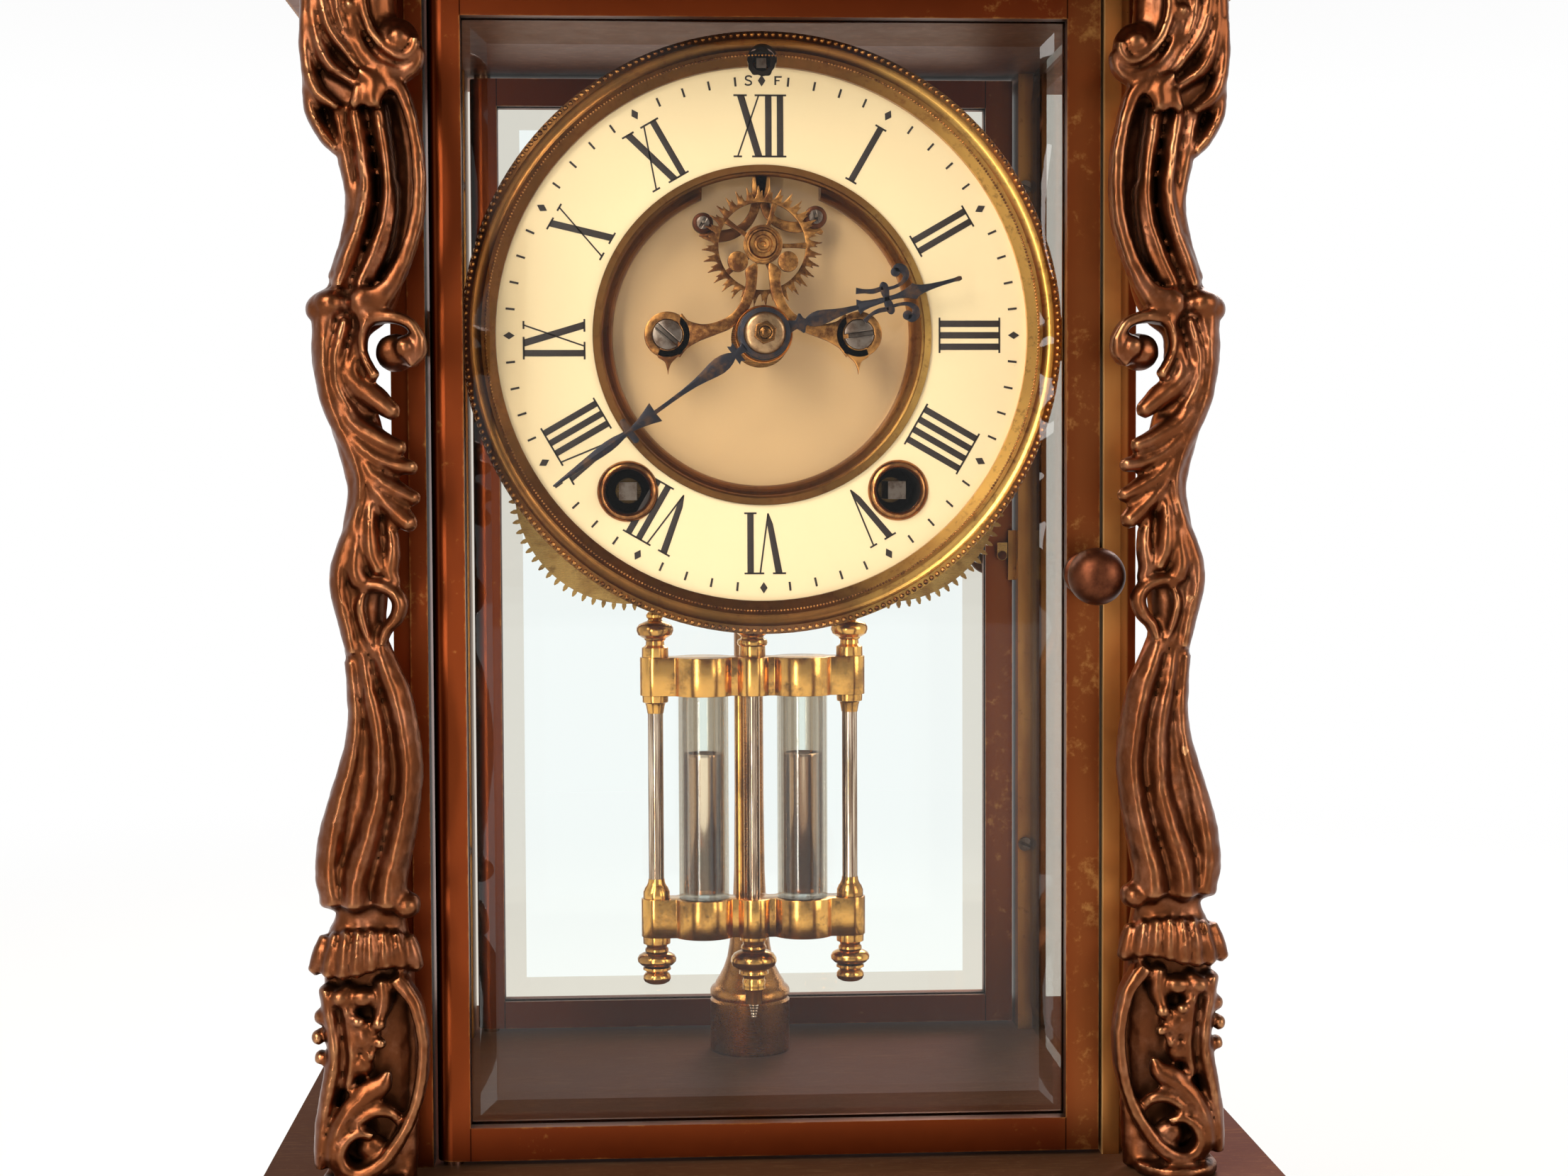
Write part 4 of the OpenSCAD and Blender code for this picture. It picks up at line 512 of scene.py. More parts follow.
FINISHES = {
    "cast_bronze": cast_bronze,
    "plinth_bronze": plinth_bronze,
    "case_brass": case_brass,
    "post_gold": post_gold,
    "aged_brass": aged_brass,
    "bright_brass": bright_brass,
    "gilt_brass": lambda name: bright_brass(name, GILT, 0.09),
    "bezel_brass": bezel_brass,
    "eyelet_brass": lambda name: aged_brass(name, (0.50, 0.22, 0.075), (0.19, 0.062, 0.020), 0.14),
    "stand_brass": lambda name: bright_brass(name, (0.46, 0.19, 0.050), 0.17),
    "dark_hole": dark_hole,
    "hub_steel": lambda name: aged_brass(name, (0.46, 0.27, 0.135), (0.16, 0.075, 0.035), 0.2),
    "screw_steel": screw_steel,
    "steel": steel,
    "blued_steel": dark_steel,
    "gong_steel": lambda name: dark_steel(name, (0.02, 0.022, 0.04), (0.05, 0.035, 0.04)),
    "enamel": enamel,
    # The centre pan's enamel in darker colours, as it lies in shade: painted shade
    "shaded_pan_enamel": lambda name: enamel(name, (0.68, 0.43, 0.21), (0.58, 0.34, 0.15)),
    "dial_ink": ink,
    "glass": plate_glass,
    "jar_glass": lambda name: plate_glass(name, (0.96, 0.97, 0.95)),
    "jar_filling": mercury,
    "knob_bronze": lambda name: aged_brass(name, (0.115, 0.036, 0.016), (0.055, 0.016, 0.008), 0.32),
    "floor_metal": floor_metal,
}
# Solids whose finish differs from their slot's own
NODE_FINISHES = {
    "bezel": "bezel_brass", "inner_ring": "bezel_brass", "case_screws": "screw_steel",
    "post_rear_left": "post_gold", "post_rear_right": "post_gold", "base_plinth": "plinth_bronze",
    "feet": "plinth_bronze", "top_canopy": "plinth_bronze", "top_finial": "plinth_bronze",
    "time_arbor": "screw_steel", "strike_arbor": "screw_steel", "regulator_arbor": "screw_steel",
    "centre_pan": "shaded_pan_enamel",
}
made_finishes = {}


def finish(name):
    """The material of a finish, made once."""
    if name not in made_finishes:
        made_finishes[name] = FINISHES[name](name)
    return made_finishes[name]


def slot_of(node):
    """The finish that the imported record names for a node."""
    return next(s["material_slot"] for s in frame["record"]["subparts"] if s["node"] == node)


def filled(name, mesh_maker):
    """A mesh from a bmesh that mesh_maker fills, with its faces turned outwards."""
    mesh = bpy.data.meshes.new(name)
    work = bmesh.new()
    mesh_maker(work)
    bmesh.ops.recalc_face_normals(work, faces=work.faces)
    work.to_mesh(mesh)
    work.free()
    return mesh


SHARP_ANGLE = 35


def seat_piece(name, mesh, slot, body, *nodes):
    """Makes a mesh a piece that rides on a body, in place of the given nodes, smooth but for sharp edges."""
    piece = bpy.data.objects.new(name, mesh)
    bpy.context.scene.collection.objects.link(piece)
    mesh.materials.clear()
    mesh.materials.append(finish(slot))
    mesh.shade_smooth()
    mesh.set_sharp_from_angle(angle=math.radians(SHARP_ANGLE))
    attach(piece, body)
    if nodes:
        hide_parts(*nodes)
    return piece


# Shapes that several pieces use


def ring_between(work, before, after):
    """Joins two rings of vertices, or a ring and one vertex, with faces."""
    count = max(len(before), len(after))
    for i in range(count):
        j = (i + 1) % count
        near = [before[k % len(before)] for k in (i, j)]
        far = [after[k % len(after)] for k in (j, i)]
        loop = list(dict.fromkeys(near + far))
        if len(loop) > 2:
            work.faces.new(loop)


def close_limb(work, first, rings, last):
    """Joins a limb's rings and closes its ends on two points."""
    chain = [[work.verts.new(first)], *rings, [work.verts.new(last)]]
    for before, after in zip(chain, chain[1:]):
        ring_between(work, before, after)


def bend(a, b, c, d, t):
    """The point at t between b and c on the smooth curve through four neighbours (Catmull-Rom)."""
    swing = (2 * a - 5 * b + 4 * c - d) * t * t + (3 * b - a - 3 * c + d) * t**3
    return 0.5 * (2 * b + (c - a) * t + swing)


def smooth_way(points, steps):
    """A curve through points of any size, with steps stretches between neighbours."""
    points = [Vector(p) for p in points]
    ends = [2 * points[0] - points[1], *points, 2 * points[-1] - points[-2]]
    way = []
    for i in range(1, len(ends) - 2):
        way += [bend(*ends[i - 1 : i + 3], k / steps) for k in range(steps)]
    way.append(points[-1])
    return way


def lathe(work, profile, centre, axis="Y", sides=64):
    """A closed turned form: profile pairs a radius with a place along the axis."""
    chain = []
    for radius, along in profile:
        spots = []
        for k in range(sides if radius > 1e-7 else 1):
            turn = 2 * math.pi * k / sides
            around = (radius * math.cos(turn), radius * math.sin(turn))
            spot = (around[0], along, around[1]) if axis == "Y" else (around[0], around[1], along)
            spots.append(work.verts.new(centre + Vector(spot)))
        chain.append(spots)
    for before, after in zip(chain, chain[1:]):
        ring_between(work, before, after)


def lathed(name, profile, centre, axis, slot, body, nodes, sides):
    """A turned piece: profile rows are a radius and a place along the axis, in millimetres."""
    rows = [(radius * MM, along * MM) for radius, along in profile]

    def turn_it(work):
        lathe(work, rows, centre, axis, sides)
        bmesh.ops.remove_doubles(work, verts=work.verts, dist=0.002 * MM)

    return seat_piece(name, filled(name, turn_it), slot, body, *nodes)


# Operators


class ClockSizes(bpy.types.PropertyGroup):
    """Sizes and colours that a user would change."""

    small_bead: bpy.props.FloatProperty(
        name="Small bead", description="Diameter of the inner row's beads", default=0.52 * MM, unit="LENGTH"
    )
    large_bead: bpy.props.FloatProperty(
        name="Large bead", description="Diameter of the outer row's beads", default=1.08 * MM, unit="LENGTH"
    )
    small_count: bpy.props.IntProperty(name="Small beads", description="Beads in the inner row", default=520)
    large_count: bpy.props.IntProperty(name="Large beads", description="Beads in the outer row", default=266)
    floor_colour: bpy.props.FloatVectorProperty(
        name="Floor", description="Colour of the studio floor", default=(0.83, 0.82, 0.80), subtype="COLOR"
    )
    key_power: bpy.props.FloatProperty(
        name="Key light", description="Power of the main lamp", default=13.5, unit="POWER"
    )


def seen_rays(graph):
    """1 for rays from the camera, off shiny surfaces and through glass, which show the pale background."""
    path = graph.node("ShaderNodeLightPath").outputs
    return Wire(graph, path["Is Camera Ray"]).most(path["Is Glossy Ray"]).most(path["Is Transmission Ray"])


# Lamps in metres: name, place, width and height, share of the key light's power, and colour
LAMPS = (
    ("key", (-0.55, -0.75, 0.80), (0.55, 0.55), 1.0, (1.0, 0.95, 0.88)),
    ("fill", (0.80, -0.65, 0.45), (0.60, 0.60), 0.40, (1.0, 0.97, 0.93)),
    ("back", (0.35, 0.80, 0.75), (0.50, 0.50), 0.45, (1.0, 0.98, 0.95)),
    ("window", (-0.29, -0.62, 0.20), (0.05, 0.50), 0.11, (1.0, 0.96, 0.90)),
)
LAMPS_AIM = Vector((0, 0, 0.22))
FLOOR_HALF = 3.0


class CLOCK_OT_studio(bpy.types.Operator):
    """Sets the floor, the lamps, the world and the camera of the photograph"""

    bl_idname = "clock.studio"
    bl_label = "Studio"

    def execute(self, context):
        scene = context.scene
        scene.view_settings.view_transform = "Standard"
        self.make_world(scene)
        self.make_floor(scene.clock.floor_colour)
        for name, place, size, share, colour in LAMPS:
            lamp = bpy.data.lights.new(name, "AREA")
            lamp.shape = "RECTANGLE"
            lamp.size, lamp.size_y = size
            lamp.energy = scene.clock.key_power * share
            lamp.color = colour
            holder = bpy.data.objects.new(name, lamp)
            holder.location = place
            aim = LAMPS_AIM - Vector(place)
            holder.rotation_euler = aim.to_track_quat("-Z", "Y").to_euler()
            scene.collection.objects.link(holder)
        self.make_camera(scene)
        return {"FINISHED"}

    def make_camera(self, scene):
        data = bpy.data.cameras.new("camera")
        data.sensor_width = SENSOR
        data.lens = PHOTO_FOCAL * SENSOR / PHOTO_WIDTH
        data.clip_start = 10 * MM
        camera = bpy.data.objects.new("camera", data)
        at = Vector(CAMERA_AT) * MM + Vector((0, DOOR_FRONT, GLASS_Z))
        turn = Matrix([CAMERA_RIGHT, CAMERA_UP, [-c for c in CAMERA_FORWARD]]).transposed()
        camera.matrix_world = Matrix.Translation(at) @ turn.to_4x4()
        scene.collection.objects.link(camera)
        scene.camera = camera

    def make_world(self, scene):
        """A soft sky that lights the clock, and a white one for seen rays, dimmer above and at the front."""
        world = bpy.data.worlds.new("studio")
        world.use_nodes = True
        g = Graph(world.node_tree)
        soft = g.made("ShaderNodeBackground", {"Color": (1.0, 0.98, 0.95), "Strength": 0.62})
        direction = g.node("ShaderNodeTexCoord").outputs["Generated"]
        towards = g.node("ShaderNodeSeparateXYZ", [direction]).outputs
        fade = g.node("ShaderNodeValToRGB")
        level, overhead = fade.color_ramp.elements
        level.position = 0.15
        level.color = (1, 1, 1, 1)
        overhead.position = 0.95
        overhead.color = (0.42, 0.41, 0.40, 1)
        g.put(fade.inputs[0], towards["Z"])
        ends = {"From Min": 0.15, "From Max": -0.75, "To Min": 1.0, "To Max": 0.45}
        values = {"Value": towards["Y"], **ends}
        ahead = g.wire("ShaderNodeMapRange", values, interpolation_type="SMOOTHSTEP")
        strength = ahead.most(g.node("ShaderNodeLightPath").outputs["Is Camera Ray"])
        white = g.made("ShaderNodeBackground", {"Color": fade.outputs[0], "Strength": strength})
        g.node("ShaderNodeOutputWorld", {"Surface": g.blend(seen_rays(g), soft, white)})
        scene.world = world

    def make_floor(self, colour):
        half = FLOOR_HALF
        mesh = bpy.data.meshes.new("floor")
        square = [(-half, -half, 0), (half, -half, 0), (half, half, 0), (-half, half, 0)]
        mesh.from_pydata(square, [], [(0, 1, 2, 3)])
        floor = bpy.data.objects.new("floor", mesh)
        bpy.context.scene.collection.objects.link(floor)
        f = Finish("studio_floor")
        dark = tuple(0.96 * c for c in colour)
        f.set(Base_Color=f.mix(f.noise(3, 2), tuple(colour), dark), Roughness=0.75)
        lift = 0.55 + 0.45 * f.distance(f.place).over(0.25, 1.1)
        white = f.made("ShaderNodeEmission", {"Color": (1, 1, 1), "Strength": 1.0})
        f.put(f.output.inputs["Surface"], f.blend(seen_rays(f) * lift, f.shader.outputs[0], white))
        mesh.materials.append(f.material)


class CLOCK_OT_finishes(bpy.types.Operator):
    """Gives every carried-over solid its finish"""

    bl_idname = "clock.finishes"
    bl_label = "Finishes"

    def execute(self, context):
        for name, piece in NODES.items():
            mesh = piece.data
            mesh.materials.clear()
            mesh.materials.append(finish(NODE_FINISHES.get(name, slot_of(name))))
        return {"FINISHED"}


INPUT_KINDS = {int: "NodeSocketInt", float: "NodeSocketFloat", tuple: "NodeSocketVector"}
FACING_FRONT = (math.radians(90), 0, 0)


class Rule(Graph):
    """A Geometry Nodes tree with named inputs, whose result is made real and given its finish."""

    def __init__(self, name, inputs):
        self.tree = bpy.data.node_groups.new(name, "GeometryNodeTree")
        super().__init__(self.tree)
        face = self.tree.interface
        for label, default in inputs.items():
            socket = face.new_socket(label, in_out="INPUT", socket_type=INPUT_KINDS[type(default)])
            socket.default_value = default
        face.new_socket("Finish", in_out="INPUT", socket_type="NodeSocketMaterial")
        face.new_socket("Geometry", in_out="OUTPUT", socket_type="NodeSocketGeometry")
        self.given = self.node("NodeGroupInput").outputs

    def half(self, label):
        """Half of a given size."""
        return Wire(self, self.given[label]) * 0.5

    def stood(self, shape):
        """Stands a level shape up to face the front and moves it to the centre."""
        values = {0: shape, "Translation": self.given["Centre"], "Rotation": FACING_FRONT}
        return self.made("GeometryNodeTransform", values)

    def ring(self):
        """A circle of points that faces the front."""
        values = {"Vertices": self.given["Count"], "Radius": self.given["Radius"]}
        return self.stood(self.made("GeometryNodeMeshCircle", values))

    def set_balls(self, points, label):
        """A ball of a given diameter at each point."""
        ball = self.made("GeometryNodeMeshUVSphere", {"Segments": 8, "Rings": 6, "Radius": self.half(label)})
        return self.made("GeometryNodeInstanceOnPoints", {"Points": points, "Instance": ball})

    def end(self, shape):
        """Ends the tree with a shape."""
        real = self.made("GeometryNodeRealizeInstances", [shape])
        dressed = self.made("GeometryNodeSetMaterial", {0: real, "Material": self.given["Finish"]})
        self.node("NodeGroupOutput", [dressed])
        return self.tree


def bead_tree(name):
    """Geometry Nodes: beads of one size set evenly round a circle that faces the front."""
    g = Rule(name, {"Radius": 0.05, "Bead": 0.001, "Count": 100, "Centre": (0, 0, 0)})
    return g.end(g.set_balls(g.ring(), "Bead"))


def grown(name, tree, slot, body, *nodes, **inputs):
    """Runs a Geometry Nodes tree and keeps its result as a plain mesh piece."""
    holder = bpy.data.objects.new(name + "_seed", bpy.data.meshes.new(name + "_seed"))
    bpy.context.scene.collection.objects.link(holder)
    modifier = holder.modifiers.new("grow", "NODES")
    modifier.node_group = tree
    names = {s.name: s.identifier for s in tree.interface.items_tree if s.in_out == "INPUT"}
    for label, value in {**inputs, "Finish": finish(slot)}.items():
        modifier[names[label]] = value
    return seat_piece(name, settled(holder, name), slot, body, *nodes)


def settled(holder, name):
    """The mesh that an object's modifiers or curve make; the object is removed."""
    graph = bpy.context.evaluated_depsgraph_get()
    mesh = bpy.data.meshes.new_from_object(holder.evaluated_get(graph))
    mesh.name = name
    bpy.data.objects.remove(holder)
    return mesh


class CLOCK_OT_beads(bpy.types.Operator):
    """Sets the two rows of beads round the bezel"""

    bl_idname = "clock.beads"
    bl_label = "Bezel beads"

    def execute(self, context):
        sizes = context.scene.clock
        tree = bead_tree("bead_row")
        front = BEZEL_LOW.y
        rows = (
            ("small_beads", 55.1 * MM, sizes.small_bead, sizes.small_count, front + 1.3 * MM),
            ("large_beads", 59.05 * MM, sizes.large_bead, sizes.large_count, front + 0.40 * MM),
        )
        for name, radius, bead, count, depth in rows:
            places = {"Radius": radius, "Centre": (0, depth, DIAL.z)}
            grown(name, tree, "aged_brass", "case", Bead=bead, Count=count, **places)
        return {"FINISHED"}


# Pillars: every place is in millimetres across from the pillar's inner side, up from the floor plate and
# back from its axis; the two sizes after it are the limb's half-width and half-depth there
PILLAR_IN = 64.5
PILLAR_AHEAD = 12.0

CORE = (
    (12.0, 1.5, 2.5, 8.5, 3.6), (11.5, 10, 3.0, 8.5, 3.4), (11.5, 25, 3.2, 8.6, 3.4),
    (12.0, 38, 2.5, 8.6, 4.2), (12.0, 46, 1.5, 8.2, 4.8), (11.5, 52, 1.0, 6.6, 4.6),
    (12.0, 62, 1.0, 6.6, 4.6), (10.8, 75, 1.0, 6.6, 4.6), (9.8, 88, 1.0, 5.6, 4.6),
    (11.0, 98, 1.0, 4.2, 4.6), (12.2, 106, 1.0, 4.2, 4.6), (12.5, 115, 1.0, 5.0, 4.6),
    (11.6, 125, 1.0, 4.2, 4.6), (10.6, 133, 1.0, 4.4, 4.6), (12.6, 142, 1.0, 4.6, 4.6),
    (15.2, 152, 1.2, 4.8, 4.6), (15.6, 162, 1.2, 5.2, 4.6), (11.5, 169, 1.5, 6.6, 4.0),
    (8.6, 176, 3.0, 5.0, 3.0), (7.6, 187, 3.2, 5.6, 2.8), (8.6, 198, 3.0, 6.2, 3.0),
    (12.0, 205, 2.0, 7.4, 4.2), (12.6, 214, 1.5, 8.2, 4.6), (12.8, 222, 1.5, 8.2, 4.6),
    (12.6, 228.5, 1.5, 7.6, 4.4),
)
# Rims that frame the hollows, with flat faces
RIMS = (
    ((7.4, 207.6, -3.0, 1.8, 2.8), (4.2, 206.2, -3.2, 1.5, 3.0), (2.5, 202.6, -3.2, 1.25, 3.0),
     (1.2, 197.4, -3.2, 1.2, 3.0), (0.6, 192.2, -3.2, 1.2, 3.0), (0.6, 186.1, -3.2, 1.2, 3.0),
     (1.3, 181.0, -3.2, 1.25, 3.0), (3.1, 175.4, -3.2, 1.35, 3.0), (5.6, 170.4, -3.2, 1.7, 3.0),
     (8.3, 167.4, -3.4, 2.4, 3.0), (11.0, 166.6, -3.4, 2.9, 3.2)),
    ((11.6, 163.9, -3.4, 1.5, 2.6), (8.6, 164.0, -3.6, 1.3, 2.8), (5.5, 164.0, -3.8, 1.1, 2.8),
     (2.5, 162.8, -4.0, 1.1, 2.8), (0.8, 160.3, -4.2, 1.1, 2.8), (0.8, 157.4, -4.2, 1.3, 2.6),
     (2.6, 155.6, -4.2, 1.3, 2.4)),
    ((6.2, 40.4, -2.6, 1.6, 3.0), (3.2, 36.4, -3.2, 1.35, 3.0), (1.8, 31.5, -3.4, 1.2, 3.0),
     (1.4, 26.2, -3.4, 1.2, 3.0), (2.0, 20.6, -3.4, 1.2, 3.0), (3.4, 15.4, -3.4, 1.2, 3.0),
     (6.0, 10.2, -3.4, 1.3, 3.0), (9.2, 6.0, -3.4, 1.5, 3.0), (12.7, 3.8, -3.4, 1.6, 3.0),
     (15.6, 4.4, -3.6, 1.3, 2.8), (16.9, 7.0, -3.8, 1.1, 2.6), (16.0, 9.9, -4.0, 1.0, 2.4),
     (13.6, 11.6, -4.0, 0.9, 2.2), (11.2, 11.0, -3.8, 0.8, 2.0)),
    ((10.4, 229.0, -3.2, 1.1, 2.6), (10.5, 222.8, -3.4, 1.1, 2.6), (9.8, 218.8, -3.6, 1.0, 2.6),
     (8.2, 215.4, -3.8, 0.95, 2.6), (5.7, 212.7, -4.0, 0.9, 2.6), (3.0, 211.6, -4.2, 0.9, 2.4),
     (1.2, 212.8, -4.2, 0.85, 2.4), (0.7, 214.9, -4.2, 0.8, 2.4)),
    ((13.0, 229.0, -2.2, 1.3, 2.4), (12.6, 222.8, -2.4, 1.3, 2.4), (12.4, 218.6, -2.6, 1.3, 2.4),
     (11.3, 214.4, -2.8, 1.3, 2.4), (9.2, 211.2, -3.0, 1.3, 2.4), (6.2, 209.2, -3.2, 1.3, 2.4),
     (3.0, 208.8, -3.2, 1.2, 2.4), (0.9, 210.4, -3.2, 1.1, 2.4), (0.1, 213.2, -3.2, 1.0, 2.4)),
)
# Round ribs and stems, with a soft keel along the front
STEMS = (
    ((8.2, 203, -1.6, 1.8, 2.4), (6.9, 194.6, -1.8, 1.6, 2.6), (6.3, 188, -1.8, 1.5, 2.6),
     (7.1, 181.4, -1.8, 1.5, 2.6), (9.3, 175.3, -1.8, 1.6, 2.6), (11.8, 169.6, -1.8, 1.8, 2.6)),
    ((4.9, 189, -1.2, 0.5, 1.8), (5.4, 182.9, -1.5, 0.8, 2.2), (7.0, 176.3, -1.5, 0.8, 2.2),
     (9.6, 170.8, -1.5, 0.8, 2.2)),
    ((12.6, 203, -1.4, 1.8, 2.4), (10.9, 192.8, -1.8, 1.6, 2.8), (10.5, 187.1, -1.8, 1.6, 2.8),
     (11.6, 181.4, -1.8, 1.7, 2.8), (13.6, 175.8, -1.8, 1.8, 2.8), (15.6, 170.0, -1.6, 1.8, 2.8)),
    ((15.6, 203, -0.2, 1.8, 3.0), (13.9, 192.8, 0.2, 1.8, 3.2), (12.9, 186.2, 0.4, 1.8, 3.2),
     (13.6, 179.1, 0.4, 1.9, 3.2), (16.0, 171.0, 0.2, 2.2, 3.2)),
    ((9.4, 104.5, -1.0, 1.6, 2.4), (8.0, 100.2, -2.0, 2.2, 3.2), (6.0, 94.6, -2.4, 2.6, 3.6),
     (4.4, 87.9, -2.4, 2.6, 3.8), (3.6, 80.2, -2.4, 2.6, 3.8), (4.1, 74.0, -2.4, 2.6, 3.8),
     (5.6, 66.2, -2.4, 2.8, 4.0), (7.2, 59.8, -2.6, 3.2, 4.2), (7.8, 54.6, -2.6, 3.6, 4.4)),
    ((12.2, 104, -1.0, 1.8, 2.6), (10.5, 94, -1.4, 2.2, 3.4), (9.2, 87.9, -1.6, 2.5, 3.8),
     (8.8, 80.2, -1.6, 2.7, 4.0), (9.6, 73.0, -1.6, 2.9, 4.0), (11.6, 65.4, -1.8, 3.2, 4.2),
     (13.4, 59.4, -1.8, 3.5, 4.4), (13.8, 54.4, -1.8, 3.6, 4.6)),
    ((14.2, 100, -0.2, 1.6, 3.0), (13.3, 90.4, -0.4, 1.9, 3.4), (13.9, 82.7, -0.4, 2.3, 3.8),
     (15.8, 75.5, -0.4, 2.7, 4.0), (17.7, 67.6, -0.4, 3.1, 4.2), (18.5, 60.7, -0.4, 3.2, 4.4),
     (17.6, 54.6, -0.6, 3.2, 4.4)),
    ((18.2, 168, -0.4, 2.6, 3.6), (18.6, 157, -0.6, 2.4, 3.8), (17.4, 149.2, -0.8, 2.3, 3.8),
     (14.8, 142.6, -0.8, 2.2, 3.8), (12.4, 136.5, -0.8, 2.0, 3.8), (11.9, 131.4, -0.8, 1.9, 3.8),
     (13.3, 125.3, -0.8, 1.9, 3.6), (15.6, 119.1, -0.8, 2.1, 3.6), (16.2, 113.5, -0.8, 2.1, 3.6),
     (15.0, 108.4, -0.8, 2.0, 3.6), (13.6, 101.7, -0.8, 1.8, 3.4)),
    ((19.6, 38.6, -1.4, 1.6, 3.0), (18.8, 33.3, -1.4, 1.7, 3.0), (18.0, 26.4, -1.6, 1.8, 3.0),
     (18.9, 20.1, -1.6, 1.9, 3.0), (20.4, 12.1, -1.4, 1.8, 3.0), (20.9, 4.6, -1.2, 1.6, 2.8)),
)
